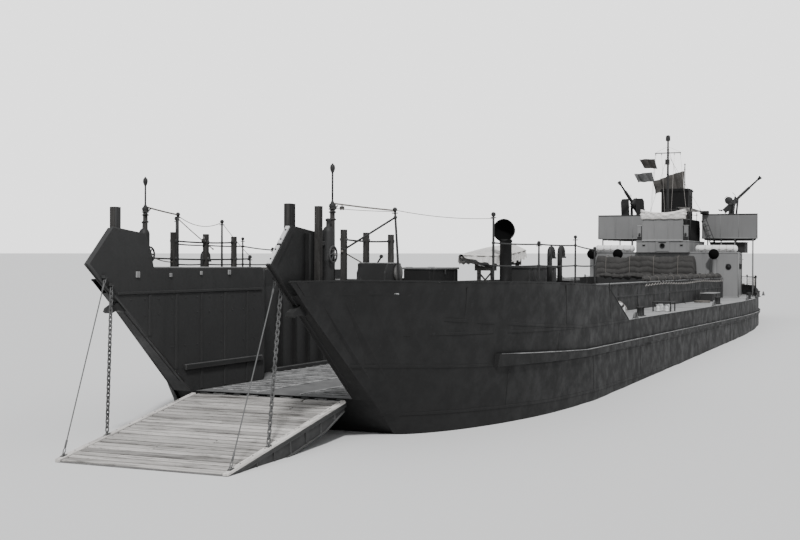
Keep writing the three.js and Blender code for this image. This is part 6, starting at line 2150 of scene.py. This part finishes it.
def mastTrim():
    v = mastValues
    x = v["x"]
    parts = []
    for z, radius in v["bands"]:
        band = [(radius - 0.010, 0), (radius, 0.003), (radius, 0.020), (radius - 0.010, 0.023)]
        parts.append((turned(band, (x, 0, z)), "darkPaint"))
    for y in v["yardLamps"]:
        lamp = [(0.001, 0), (0.010, 0.003), (0.013, 0.012), (0.010, 0.022), (0.001, 0.026)]
        parts.append((turned(lamp, (x, y, v["yard"] - 0.047), sides=10), "darkPaint"))
        parts.append((rod((x, y, v["yard"] - 0.024), (x, y, v["yard"] - 0.004), 0.003, 6), "wireRope"))
    stays = [((x, 0.012, 4.56), (-9.142, 0.655, 3.19)), ((x, -0.012, 4.56), (-9.142, -0.655, 3.19)),
             ((x, 0, 4.72), (-9.72, 0.02, 3.84))]
    for start, end in stays:
        parts.append((tube(hanging(start, end, 0.006, 9), 0.0035, 6), "wireRope"))
        low = np.array(end) + (np.array(start) - np.array(end)) * 0.09
        parts.append((rod(end, low, 0.0065, 8), "bareSteel"))
    for y, foot in ((0.295, (-8.32, 0.44, 3.03)), (0.150, (-8.25, 0.05, 2.72)),
                    (-0.150, (-8.25, -0.05, 2.74))):
        parts.append((tube(hanging((x, y, v["yard"] - 0.045), foot, 0.012, 9), 0.0028, 6), "paleRope"))
    for y in (-0.30, 0.30):
        parts.append((rod((x, 0, v["yard"] + 0.15), (x, y, v["yard"] + 0.012), 0.0028, 6), "wireRope"))
    for z in v["cleats"]:
        cleat = [(x + 0.033, -0.045, z + 0.010), (x + 0.046, -0.015, z), (x + 0.046, 0.015, z),
                 (x + 0.033, 0.045, z + 0.010)]
        parts.append((tube(cleat, 0.006, 6), "darkPaint"))
    for c, s in zip(*circle(6)):
        at = np.array([x + v["cage"] * c, v["cage"] * s, 0])
        parts.append((rod(at + [0, 0, v["head"]], at + [0, 0, v["cap"]], 0.0025, 6), "darkSteel"))
    cap = [(0.050, 0), (0.055, 0.004), (0.055, 0.012), (0.018, 0.030), (0.001, 0.032)]
    lantern = [(0.030, 0), (0.036, 0.01), (0.036, 0.075), (0.028, 0.085), (0.001, 0.088)]
    parts += [(turned(cap, (x, 0, v["cap"])), "darkPaint"),
              (turned(lantern, (-8.150, 0, 4.35)), "darkPaint")]
    return parts


makePiece("mast_trim", mastTrim(), "hull")
print("stage: funnel and mast")


# Flags: plain cloth on the wind, waving more towards the fly
flagValues = {
    "upper": {
        "hoist": (-8.252, -0.325, 4.490), "fly": -0.370, "aft": 0.03, "drop": 0.230, "waves": 1.6,
        "depth": 0.022,
        "droop": -0.010, "taper": 0.12, "lean": 0.13, "finish": "bunting", "flat": (0.230, 0.400),
        "node": [], "rests": ["signal_halyard"],
    },
    "lower": {
        "hoist": (-8.448, -0.430, 4.190), "fly": -0.430, "aft": 0.02, "drop": 0.220, "waves": 2.1,
        "depth": 0.026,
        "droop": 0.035, "taper": 0.10, "lean": 0.12, "finish": "greyBunting", "flat": (0.220, 0.480),
        "node": [], "rests": ["signal_halyard"],
    },
    "ensign": {
        "hoist": (-10.450, -0.068, 4.345), "fly": -0.790, "aft": 0.05, "drop": 0.460, "waves": 2.2,
        "depth": 0.055,
        "droop": 0.250, "taper": 0.30, "lean": 0.0, "finish": "bunting", "flat": (0.390, 0.86),
        "node": ["ensign"], "rests": ["ensign_staff"],
    },
}


def flagCloth(values):
    # u runs to the fly and v down the hoist; depth times u^0.8 of a travelling sine, in two directions
    (x, y, z), lean = values["hoist"], values["lean"]
    u = np.linspace(0, 1, 70)
    v = np.linspace(0, 1, 44)[:, None]
    phase = 2 * np.pi * values["waves"] * u + 1.1 * v
    wave = values["depth"] * u ** 0.8 * (np.sin(phase) + 0.35 * np.sin(1.9 * phase + 2 * v + 1))
    gather = (1 - 0.08 * u * np.sin(np.pi * v)) * (1 - values["taper"] * u)
    px = x - values["aft"] * u + wave + 0.3 * values["depth"] * np.sin(2 * np.pi * v) * u - lean * v
    py = y + values["fly"] * (u + 0.018 * np.sin(2 * phase)) * (1 - 0.04 * v) + lean * 0.35 * v
    pz = z - values["drop"] * v * gather - values["droop"] * u ** 1.3 + 0.010 * np.sin(phase * 0.9 + 3) * u
    return np.stack([px, py, pz + 0 * px], -1)


for name, values in flagValues.items():
    cloth = makePiece(f"{name}_flag", [(sheet(flagCloth(values)), values["finish"])], "hull",
                      values["node"])


def signalHalyard():
    start, end = np.array([-8.222, -0.300, 4.604]), np.array([-9.202, -0.649, 3.189])
    parts = [(tube(hanging(start, end, 0.010, 11), 0.0032, 6), "paleRope")]
    parts.append((tube(hanging(start + [0.01, 0.02, 0], end + [0.02, 0.03, 0], 0.030, 11), 0.0028, 6),
                  "paleRope"))
    for t in (0.10, 0.235, 0.30, 0.43):
        at = start + (end - start) * t
        parts.append((box(at - [0.007, 0.006, 0.014], at + [0.007, 0.006, 0.014], 0.003), "deckTimber", 0.6))
    return parts


makePiece("signal_halyard", signalHalyard(), "hull", ["signal_hoist"])
# The ensign staff's truck, bands and halyard
truck = [(0.001, 0), (0.016, 0.006), (0.020, 0.020), (0.014, 0.034), (0.001, 0.040)]
band = [(0.008, 0), (0.020, 0.002), (0.020, 0.016), (0.008, 0.018)]
staff = [(turned(truck, (-10.450, -0.055, 4.495), sides=14), "darkPaint")]
staff += [(turned(band, (-10.450, -0.055, z), sides=12), "darkPaint") for z in (3.00, 4.0, 4.38)]
staff.append((tube(spaced((-10.440, -0.070, 4.45), (-10.43, -0.075, 2.80), 5), 0.003, 6), "paleRope"))
makePiece("staff_fittings", staff, "hull")
print("stage: flags")


# Floats: long rounded bodies in white canvas, lashed with rope and chocked
floatValues = {"x": -7.922, "inner": 0.712, "outer": 1.685, "radius": 0.086, "low": 2.256, "wide": 1.2,
               "lashings": 6, "pitch": 0.162, "rings": 130, "sides": 36}


def floatBody(values):
    # Rings along y; the radius falls off at the ends as a quarter ellipse, with a dip at every lashing
    y = np.linspace(values["inner"], values["outer"], values["rings"])
    middle, half = (values["inner"] + values["outer"]) / 2, (values["outer"] - values["inner"]) / 2
    fromEnd = np.clip((half - np.abs(y - middle)) / 0.075, 0, 1)
    size = np.sqrt(np.clip(1 - (1 - fromEnd) ** 2, 0.0008, 1))
    dips = 1 - 0.018 * np.exp(-(((y - values["inner"]) / values["pitch"] % 1 - 0.5) / 0.09) ** 2)
    angles = np.linspace(0, 2 * np.pi, values["sides"], endpoint=False)
    reach = values["radius"] * size * dips
    across = y[:, None]
    section = 1 + 0.008 * np.sin(6 * angles + 9 * across) + 0.006 * np.sin(3 * angles - 31 * across)
    x = values["x"] + values["wide"] * reach[:, None] * np.cos(angles) * section
    z = values["low"] + values["radius"] + reach[:, None] * np.sin(angles) * section
    points = np.stack([x, np.broadcast_to(across, x.shape), z], -1)
    return shapeOf(points, [gridFaces(values["rings"], values["sides"], True)], True)


def floatParts(values):
    parts = [(floatBody(values), "floatCanvas")]
    lashings = values["inner"] + values["pitch"] / 2 + values["pitch"] * np.arange(values["lashings"])
    t = np.linspace(0, 2 * np.pi, 24, endpoint=False)
    for y in lashings:
        ring = np.stack([values["x"] + (values["wide"] * values["radius"] + 0.002) * np.cos(t), y + 0 * t,
                         values["low"] + values["radius"] + (values["radius"] + 0.002) * np.sin(t)], 1)
        parts.append((tube(ring, 0.0042, 6, guide=(0, 1, 0.01), closed=True), "paleRope"))
    front = values["x"] + values["wide"] * values["radius"] + 0.004
    for y in lashings[:-1]:
        grab = hanging((front, y, 2.335), (front, y + values["pitch"], 2.335), 0.030, 9)
        parts.append((tube(grab, 0.0045, 6), "rope"))
    for y in (values["inner"] + 0.16, values["outer"] - 0.16):
        parts.append((slab(values["x"], y, 2.254, 2.275, 0.13, 0.02, 0.004), "darkPaint"))
    return parts


for side, sign in sideNames.items():
    made = partsOnSide(floatParts(floatValues), sign)
    makePiece(f"{side}_carley_float", made, "hull", [f"{side}_float"])
print("stage: floats")


# Hold cover, stowed in a pile before the deckhouse: folded edges lie one over another
coverValues = {"front": -7.190, "aft": -7.555, "low": 1.222, "top": 2.176, "right": -1.510, "left": 0.840,
               "folds": 7}


def coverCloth(values):
    # v goes up the front, over, and down the back; the folds are half waves up the front that sag along y
    y = np.linspace(values["right"], values["left"], 230)
    v = np.linspace(0, 1, 150)[:, None]
    across = (y - values["right"]) / (values["left"] - values["right"])
    shut = np.sqrt(np.clip(1 - (1 - np.clip(np.minimum(across, 1 - across) / 0.035, 0, 1)) ** 2, 0.02, 1))
    angle = v * np.pi
    depth = (values["front"] - values["aft"]) / 2
    middle = (values["front"] + values["aft"]) / 2
    squared = np.sign(np.cos(angle)) * np.abs(np.cos(angle)) ** 0.34
    up = np.abs(np.sin(angle)) ** 0.5
    lean = 0.05 * up ** 3
    turn = 2 * np.pi * across
    sag = 0.30 * np.sin(turn * 1.5 + 0.6) + 0.18 * np.sin(turn * 4.2 + 2) + 0.05 * np.sin(60 * across)
    fold = np.abs(np.sin(np.pi * (up * values["folds"] + 0.5 * sag))) ** 0.6 - 0.6
    crease = 0.004 * np.sin(75 * across + 6 * v) + 0.003 * np.sin(140 * across - 11 * v)
    swell = 0.024 * fold * (1 - up ** 6) + crease * 0.6
    x = middle - lean * 0.3 + (depth - 0.026) * squared * (0.35
        + 0.65 * shut) + swell * np.sign(np.cos(angle)) * shut
    uneven = 0.020 * np.sin(turn * 2.3 + 1) + 0.010 * np.sin(turn * 6.1) + 0.03 * across
    height = values["top"] - values["low"] - 0.03 + uneven
    z = values["low"] + height * up * (0.55 + 0.45 * shut) + 0.006 * np.sin(95 * across) * up
    return np.stack([x, np.broadcast_to(y, x.shape), np.minimum(z, values["top"])], -1)


stow = makePiece("stowed_cover_cloth", [(sheet(coverCloth(coverValues)), "darkCanvas")], "hull",
                 ["stowed_hold_cover"])


def coverGear():
    parts = []
    for y in (-1.22, -0.66, -0.10, 0.46):
        strap = [(-7.178, y, 1.235), (-7.172, y, 1.60), (-7.178, y, 1.95), (-7.215, y, 2.150),
                 (-7.37, y, 2.188), (-7.53, y, 2.150),
                 (-7.566, y, 1.90), (-7.566, y, 1.235)]
        parts.append((tube(strap, 0.0055, 6), "rope"))
    # Locker before the house on the port side, with a white edge
    parts += locker(-7.50, -7.22, 0.94, 1.42, 1.221, 1.640, "darkPaint", "darkPaint")
    parts.append((box((-7.222, 0.95, 1.560), (-7.214, 1.41, 1.578), 0.001), "whitePaint"))
    return parts


makePiece("cover_lashings", coverGear(), "hull")


# The rolled edge of the cover: along the port coaming at y and z, and across the after one at x and z
rollValues = {"portSide": (1.452, 1.722), "aftEnd": (-7.135, 1.705), "sides": 22, "waves": 9}


def canvasRoll(path, radius, seed):
    # A lumpy roll along a path: the radius swells and pinches along it, and creases run round it
    rng = np.random.default_rng(seed)
    count = len(path)
    t = np.linspace(0, 1, count)
    swell = sum(rng.uniform(0.04, 0.16) * np.sin(2 * np.pi * rng.uniform(2, 30) * t + rng.uniform(0, 6))
                for _ in range(rollValues["waves"]))
    size = radius * (1 + swell) * np.clip(np.minimum(t, 1 - t) * 40, 0.15, 1) ** 0.5
    sides = rollValues["sides"]
    body = tube(path, size, sides)
    angles, along = np.tile(np.arange(sides) * 2 * np.pi / sides, count), np.repeat(t, sides)
    crease = 1 + 0.07 * np.sin(5 * angles + 30 * along) + 0.05 * np.sin(9 * angles - 55 * along)
    centres = np.repeat(path, sides, 0)
    return {**body, "points": centres + (body["points"] - centres) * crease[:, None]}


alongX = np.linspace(-7.02, 0.35, 420)
portY, portZ = rollValues["portSide"]
portRoll = np.stack([alongX, portY + 0.010 * np.sin(alongX * 5.1), portZ + 0.010 * np.sin(alongX * 8.3)], 1)
acrossY = np.linspace(-1.36, 1.44, 170)
aftX, aftZ = rollValues["aftEnd"]
aftRoll = np.stack([aftX + 0.012 * np.sin(acrossY * 7), acrossY, aftZ + 0.012 * np.sin(acrossY * 9)], 1)
rolls = [(canvasRoll(portRoll, 0.048, 5), "darkCanvas"), (canvasRoll(aftRoll, 0.050, 6), "darkCanvas")]
t = np.linspace(0, 2 * np.pi, 14, endpoint=False)
for x in np.arange(-6.8, 0.3, 0.62):
    turn = np.stack([x + 0.01 * np.sin(t), portY + 0.058 * np.cos(t), portZ + 0.056 * np.sin(t)], 1)
    rolls.append((tube(turn, 0.004, 6, guide=(1, 0, 0), closed=True), "rope"))
makePiece("rolled_cover_edge", rolls, "hull")
print("stage: stowed cover")


# Guns: a head that trains and a gun that elevates, drawn level and forward, then laid as in the picture
# Place, heading and elevation in degrees
gunPlaces = {"port": ((-9.872, 1.200, 0), 90, 43), "starboard": ((-9.872, -1.200, 0), -15, 35)}
trunnionHeight = 3.440
shieldValues = {"foot": 3.11, "rake": 0.096, "ahead": 0.074, "rivetColumns": (0.115, 0.205, 0.310)}


def laid(shape, place, heading, elevation=None):
    # Turned about Y through the trunnions by the elevation, then about Z by the heading
    h = math.radians(heading)
    train = np.array([[math.cos(h), -math.sin(h), 0], [math.sin(h), math.cos(h), 0], [0, 0, 1]])
    if elevation is None:
        return moved(shape, place, train)
    e = math.radians(elevation)
    raised = np.array([[math.cos(e), 0, -math.sin(e)], [0, 1, 0], [math.sin(e), 0, math.cos(e)]])
    return moved(shape, np.array(place) + [0, 0, trunnionHeight], train @ raised)


def raked(shape):
    # The shield's plates lean forward: x grows with the height over the shield's foot
    v, height = shieldValues, shape["points"][:, 2]
    ahead = (height - v["foot"]) * v["rake"] + v["ahead"]
    return {**shape, "points": shape["points"] + np.stack([ahead, 0 * height, 0 * height], 1)}


def headShapes():
    ring = [(0.105, 3.000), (0.105, 3.022), (0.092, 3.030), (0.088, 3.055), (0.070, 3.080), (0.001, 3.080)]
    parts = [(turned(ring, (0, 0, 0), sides=28), "gunMetal")]
    bolts = [(0.094 * c, 0.094 * s, 3.020) for c, s in zip(*circle(10))]
    parts.append((copies(bolt(0.006, 0.006, 0.003, 0.008), bolts), "darkSteel"))
    parts.append((box((-0.045, -0.095, 3.070), (0.045, 0.095, 3.160), 0.008), "gunMetal"))
    for sign in (-1, 1):
        cheek = [(-0.060, 3.10), (0.060, 3.10), (0.045, 3.36), (0.034, 3.470), (0, 3.484), (-0.034, 3.470),
                 (-0.045, 3.36)]
        parts.append((prism(cheek, "y", sign * 0.070, sign * 0.094), "gunMetal"))
        cap = [(0.030, 0), (0.030, 0.006), (0.022, 0.010), (0.001, 0.011)]
        parts.append((turned(cap, (0, sign * 0.094, trunnionHeight), (0, sign, 0)), "darkSteel"))
        outline = [(sign * 0.096, 3.110), (sign * 0.290, 3.110), (sign * 0.330, 3.160),
                   (sign * 0.330, 3.560),
                   (sign * 0.290, 3.630), (sign * 0.096, 3.630)]
        parts.append((raked(prism(outline, "x", 0.0, 0.010)), "darkPaint"))
        rivet = turned([(0.005, 0), (0.004, 0.003), (0.001, 0.004)], (0, 0, 0), (1, 0, 0), 6)
        for y in shieldValues["rivetColumns"]:
            rivets = [(0.010, sign * y, z) for z in np.arange(3.16, 3.60, 0.07)]
            parts.append((raked(copies(rivet, rivets)), "darkPaint"))
        for z in (3.20, 3.44):
            parts.append((rod((0.02, sign * 0.090, z), ((z - 3.11) * 0.096 + 0.080, sign * 0.200, z + 0.01),
                              0.008, 6), "gunMetal"))
    return parts


def gunShapes():
    # Local axes: x along the barrel from the trunnions, z up
    parts = [(box((-0.230, -0.044, -0.058), (0.190, 0.044, 0.058), 0.010), "gunMetal")]
    parts.append((box((-0.200, -0.048, -0.020), (0.150, 0.048, 0.026), 0.006), "darkSteel"))
    parts.append((turned([(0.018, -0.094), (0.018, 0.094)], (0, 0, 0), (0, 1, 0), 16), "bareSteel"))
    along = np.linspace(0.190, 0.600, 99)
    spring = 0.035 + 0.0045 * np.sign(np.sin(2 * np.pi * (along - 0.19) / 0.024)) * (along < 0.585)
    barrel = np.concatenate([[(0.038, 0.175), (0.038, 0.190)], np.stack([spring, along], 1),
                             [(0.027, 0.606), (0.025, 0.66), (0.023, 0.74), (0.022, 0.868), (0.024, 0.870),
                              (0.048, 0.965),
                              (0.048, 0.970), (0.040, 0.970), (0.016, 0.885), (0.001, 0.884)]])
    parts.append((turned(barrel, (0, 0, 0.010), (1, 0, 0), 24), "gunMetal"))
    drum = [(0.001, -0.040), (0.086, -0.040), (0.094, -0.034), (0.095, 0.034), (0.086, 0.040),
            (0.001, 0.040)]
    parts.append((turned(drum, (0.030, 0, 0.118), (0, 1, 0), 32), "gunMetal"))
    parts.append((turned([(0.060, 0.040), (0.060, 0.045), (0.052, 0.045), (0.052, 0.040)], (0.030, 0, 0.118),
                         (0, 1, 0), 28),
                  "bareSteel"))
    parts.append((tube([(-0.01, 0, 0.205), (-0.01, 0, 0.230), (0.07, 0, 0.230), (0.07, 0, 0.205)], 0.006, 6),
                  "darkSteel"))
    for sign in (-1, 1):
        rest = [(-0.225, sign * 0.028, 0.030), (-0.245, sign * 0.038, 0.062), (-0.270, sign * 0.080, 0.068),
                (-0.285, sign * 0.125, 0.075), (-0.278, sign * 0.134, 0.110)]
        parts.append((tube(rest, [0.010, 0.010, 0.012, 0.016, 0.012], 8), "darkSteel"))
        parts.append((rod((-0.222, sign * 0.030, -0.03), (-0.250, sign * 0.036, -0.055), 0.009, 8),
                      "darkSteel"))
    sight = np.linspace(0, 2 * np.pi, 24, endpoint=False)
    for radius in (0.045, 0.022):
        ring = np.stack([0.235 + 0 * sight, radius * np.cos(sight) - 0.075, 0.150 + radius * np.sin(sight)],
                        1)
        parts.append((tube(ring, 0.0026, 6, guide=(1, 0, 0.01), closed=True), "darkSteel"))
    parts.append((rod((0.235, -0.075, 0.105), (0.200, -0.040, 0.03), 0.006, 6), "darkSteel"))
    parts.append((rod((0.235, -0.120, 0.150), (0.235, -0.030, 0.150), 0.002, 6), "darkSteel"))
    parts.append((rod((0.235, -0.075, 0.105), (0.235, -0.075, 0.195), 0.002, 6), "darkSteel"))
    return parts


for side, (place, heading, elevation) in gunPlaces.items():
    head = [(laid(shape, place, heading), finish) for shape, finish in headShapes()]
    gun = [(laid(shape, place, heading, elevation), finish) for shape, finish in gunShapes()]
    makePiece(f"{side}_mounting", head, f"{side}_gun_head", [f"{side}_gun_head"])
    makePiece(f"{side}_light_gun", gun, f"{side}_gun", [f"{side}_gun"])
print("stage: guns")


# Stern: rails with netting, the kedge winch's drum with its wire, and gear on the after deck
sternValues = {"posts": (-8.3, -9.1, -9.9, -10.7, -11.4, -11.85), "middlePost": (-12.08, 0.0, 1.46),
               "inset": 0.045,
               "top": 1.700, "rails": (1.688, 1.470), "meshes": 9, "winch": (-11.13, 0, 1.4103)}


def railFoot(x):
    # Post feet stand inside the hull's edge, on the after deck's sheer
    y = float(onHull([x - 0.075], [1.30])[0, 1]) - sternValues["inset"]
    return y, float(np.interp(x, sheerLine[:, 0], sheerLine[:, 1]))


def sternRail():
    v = sternValues
    feet = [(x, *railFoot(x)) for x in v["posts"]]
    line = feet + [v["middlePost"]] + [(x, -y, z) for x, y, z in feet[::-1]]
    parts = []
    for x, y, z in line:
        parts += ballStanchion((x, y, z - 0.004), (x, y, v["top"]), 0.011)
        flange = [(0.030, 0), (0.030, 0.006), (0.016, 0.012), (0.001, 0.014)]
        parts.append((turned(flange, (x, y, z - 0.003), sides=14), "darkPaint"))
    for height in v["rails"]:
        for a, b in zip(line, line[1:]):
            parts.append((tube(hanging((a[0], a[1], height), (b[0], b[1], height), 0.010, 7), 0.0065, 6),
                          "darkPaint"))
    # The netting's strings go two meshes along for one height, both ways, cut off at the posts
    for a, b in zip(feet, feet[1:]):
        for sign in (-1, 1):
            start, end = np.array([a[0], sign * a[1]]), np.array([b[0], sign * b[1]])
            low, high = max(a[2], b[2]) + 0.03, v["rails"][0]
            count = v["meshes"]
            for k in range(count):
                for way in (-1, 1):
                    t0, t1 = k / count, min(max((k + 2 * way) / count, 0), 1)
                    share = abs(t1 - t0) * count / 2
                    p = (*(start + (end - start) * t0), low)
                    q = (*(start + (end - start) * t1), low + (high - low) * share)
                    if share > 0.05:
                        parts.append((rod(p, q, 0.0022, 4), "paleRope"))
    return parts


makePiece("stern_guard_rail", sternRail(), "hull", ["stern_rail"])


def sternDrum():
    # Two flanges and a brake rim, with wire wound between them in layers
    low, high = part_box("stern_winch_drum")
    half = (high[1] - low[1]) / 2
    radius = (high[2] - low[2]) / 2
    along = np.linspace(-0.72 * half, 0.72 * half, 161)
    turns = 0.006 * np.abs(np.sin(np.pi * along / 0.011))
    core = 0.66 * radius + turns + 0.012 * np.cos(np.pi * along / half) ** 2
    flange = np.array([(0.2 * radius, half), (radius, half), (radius, half * 0.86),
                       (radius * 0.92, half * 0.82)])
    profile = np.concatenate([flange * [1, -1], np.stack([core, along], 1), flange[::-1]])
    middle = (np.array(low) + np.array(high)) / 2
    return [(turned(profile, middle, (0, 1, 0), 36), "wireRope"),
            (turned([(0.2 * radius, -half), (0.2 * radius, half)], middle, (0, 1, 0), 16), "darkSteel")]


makePiece("stern_winch_barrel", sternDrum(), "stern_winch_drum", ["stern_winch_drum"])


def sternGear():
    frameLow, frameHigh = (np.array(corner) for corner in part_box("stern_winch_frame"))
    winchX, _, winchZ = sternValues["winch"]
    parts = []
    for y in (frameLow[1], frameHigh[1]):
        sign = np.sign(y)
        for x in (frameLow[0] + 0.05, frameHigh[0] - 0.05):
            nut = [(0.012, 0), (0.012, 0.010), (0.007, 0.014), (0.001, 0.015)]
            parts.append((turned(nut, (x, y - sign * 0.03, frameLow[2] + 0.02), sides=6), "darkSteel"))
        bearing = [(0.034, -0.004), (0.034, 0.016), (0.022, 0.024), (0.001, 0.026)]
        parts.append((turned(bearing, (winchX, y, winchZ), (0, sign, 0), 18), "darkPaint"))
    # Crank at the starboard end of the winch frame
    x, z, end = winchX, winchZ, frameLow[1]
    crank = [(x, end - 0.03, z), (x, end - 0.085, z), (x + 0.10, end - 0.095, z + 0.12),
             (x + 0.10, end - 0.18, z + 0.12)]
    parts.append((tube(crank, [0.012, 0.012, 0.011, 0.014], 8), "darkSteel"))
    # Bollards, rope coils and two small hatches on the after deck
    for sign in (-1, 1):
        parts += bollards(-11.45, sign * 0.95, 1.460, 0.045)
        parts.append((ropeCoil(-10.95, sign * 1.25, 1.460, 0.12, 5, 0.010), "rope"))
    hatch = [(0.150, 0), (0.150, 0.030), (0.140, 0.036), (0.132, 0.060), (0.100, 0.074), (0.001, 0.078)]
    for y in (-0.341, 0.341):
        parts.append((turned(hatch, (-11.75, y, 1.459), sides=28), "housePaint"))
    return parts


print("stage: stern")


# Doors and fore hatch lids: places on the port leaf and lid
doorValues = {"face": -10.693, "y": (0.665, 0.975), "z": (1.34, 2.136), "middle": 1.72,
              "clips": (1.50, 1.90)}
lidValues = {"x": 6.5, "y": 1.85, "half": 0.165, "plate": (1.804, 1.811), "rings": (-0.1, 0.1),
             "clip": (0.18, 0.12)}


def doorTrim(side):
    # A stiffening frame on the leaf, two clips and a handle
    v = doorValues
    face, (y0, y1), (z0, z1) = v["face"], v["y"], v["z"]
    bars = ((0.009, y0, z0, y1, z0 + 0.016), (0.009, y0, z1 - 0.016, y1, z1),
            (0.009, y0, z0, y0 + 0.014, z1),
            (0.009, y1 - 0.014, z0, y1, z1), (0.007, y0, v["middle"], y1, v["middle"] + 0.014))
    parts = [(box((face - thick, ya, za), (face, yb, zb), 0.002), "housePaint") for thick, ya, za, yb,
             zb in bars]
    back = face - 0.001
    for z in v["clips"]:
        clip = [(back, y0 + 0.03, z), (back - 0.022, y0 + 0.03, z), (back - 0.024, y0 + 0.10, z + 0.012)]
        parts.append((tube(clip, 0.007, 6), "darkSteel"))
    handle = [(back, 0.70, 1.66), (back - 0.028, 0.70, 1.66), (back - 0.028, 0.70, 1.80), (back, 0.70, 1.80)]
    parts.append((tube(handle, 0.007, 6), "bareSteel"))
    return partsOnSide(parts, sideNames[side])


def lidTrim(side):
    # Dished cover plate, four clips and two lifting rings
    v = lidValues
    x, y, (low, high) = v["x"], sideNames[side] * v["y"], v["plate"]
    parts = [(slab(x, y, low, high, v["half"], v["half"]), "deckPaint")]
    angles = np.linspace(0, np.pi, 9)
    for dx in v["rings"]:
        ring = np.stack([x + dx + 0 * angles, y + 0.026 * np.cos(angles),
                         high - 0.001 + 0.026 * np.sin(angles)], 1)
        parts.append((tube(ring, 0.005, 6, guide=(1, 0, 0)), "bareSteel"))
    nut = [(0.013, 0), (0.013, 0.010), (0.007, 0.014), (0.001, 0.015)]
    clipX, clipY = v["clip"]
    for dx, dy in ((-clipX, -clipY), (-clipX, clipY), (clipX, -clipY), (clipX, clipY)):
        parts.append((turned(nut, (x + dx, y + dy, low + 0.001), sides=6), "darkSteel"))
    return parts


for side in sideNames:
    makePiece(f"{side}_door_fittings", doorTrim(side), f"{side}_house_door")
    makePiece(f"{side}_lid_fittings", lidTrim(side), f"{side}_fore_hatch_lid")
makePiece("stern_gear", sternGear(), "hull")
print("stage: fittings")


# Floor at the waterline, pale, tilted as the craft sits; and the soft studio light
stageValues = {"waterAtHinge": -0.77, "tilt": 0.0196, "reach": 160.0, "tone": 0.74}


def makeFloor(values):
    middle = fromHinge(0, 0, values["waterAtHinge"])
    reach = values["reach"]
    xs = np.array([-reach, reach, reach, -reach]) + middle[0]
    ys = np.array([-reach, -reach, reach, reach])
    zs = middle[2] - (xs - middle[0]) * values["tilt"]
    data = bpy.data.meshes.new("floor")
    data.from_pydata(np.stack([xs, ys, zs], 1).tolist(), [], [(0, 1, 2, 3)])
    floor = bpy.data.objects.new("floor", data)
    bpy.context.scene.collection.objects.link(floor)
    material = bpy.data.materials.new("paleFloor")
    material.use_nodes = True
    shader = material.node_tree.nodes["Principled BSDF"]
    shader.inputs["Base Color"].default_value = grey(values["tone"])
    shader.inputs["Roughness"].default_value = 0.9
    data.materials.append(material)


# The backdrop is brighter in the picture than the sky that lights the craft
lightValues = {
    "sky": (0.76, 0.77, 0.78, 1), "skyStrength": 0.9, "backdrop": (0.80, 0.80, 0.80, 1),
    "backdropStrength": 2.7,
    "sun": 3.2, "sunWidth": 6, "sunFrom": (0.72, 0.34, 0.86),
}


def makeLights(values):
    world = bpy.data.worlds.new("studio")
    bpy.context.scene.world = world
    world.use_nodes = True
    nodes, links = world.node_tree.nodes, world.node_tree.links
    mix = nodes.new("ShaderNodeMixShader")
    links.new(nodes.new("ShaderNodeLightPath").outputs["Is Camera Ray"], mix.inputs[0])
    for slot, kind, node in ((1, "sky", nodes["Background"]),
                             (2, "backdrop", nodes.new("ShaderNodeBackground"))):
        node.inputs["Color"].default_value = values[kind]
        node.inputs["Strength"].default_value = values[kind + "Strength"]
        links.new(node.outputs[0], mix.inputs[slot])
    links.new(mix.outputs[0], nodes["World Output"].inputs["Surface"])
    sun = bpy.data.lights.new("keyLight", "SUN")
    sun.energy = values["sun"]
    sun.angle = math.radians(values["sunWidth"])
    key = bpy.data.objects.new("keyLight", sun)
    bpy.context.scene.collection.objects.link(key)
    key.rotation_euler = Vector(values["sunFrom"]).to_track_quat("Z", "Y").to_euler()


makeFloor(stageValues)
makeLights(lightValues)
print("stage: floor and light")
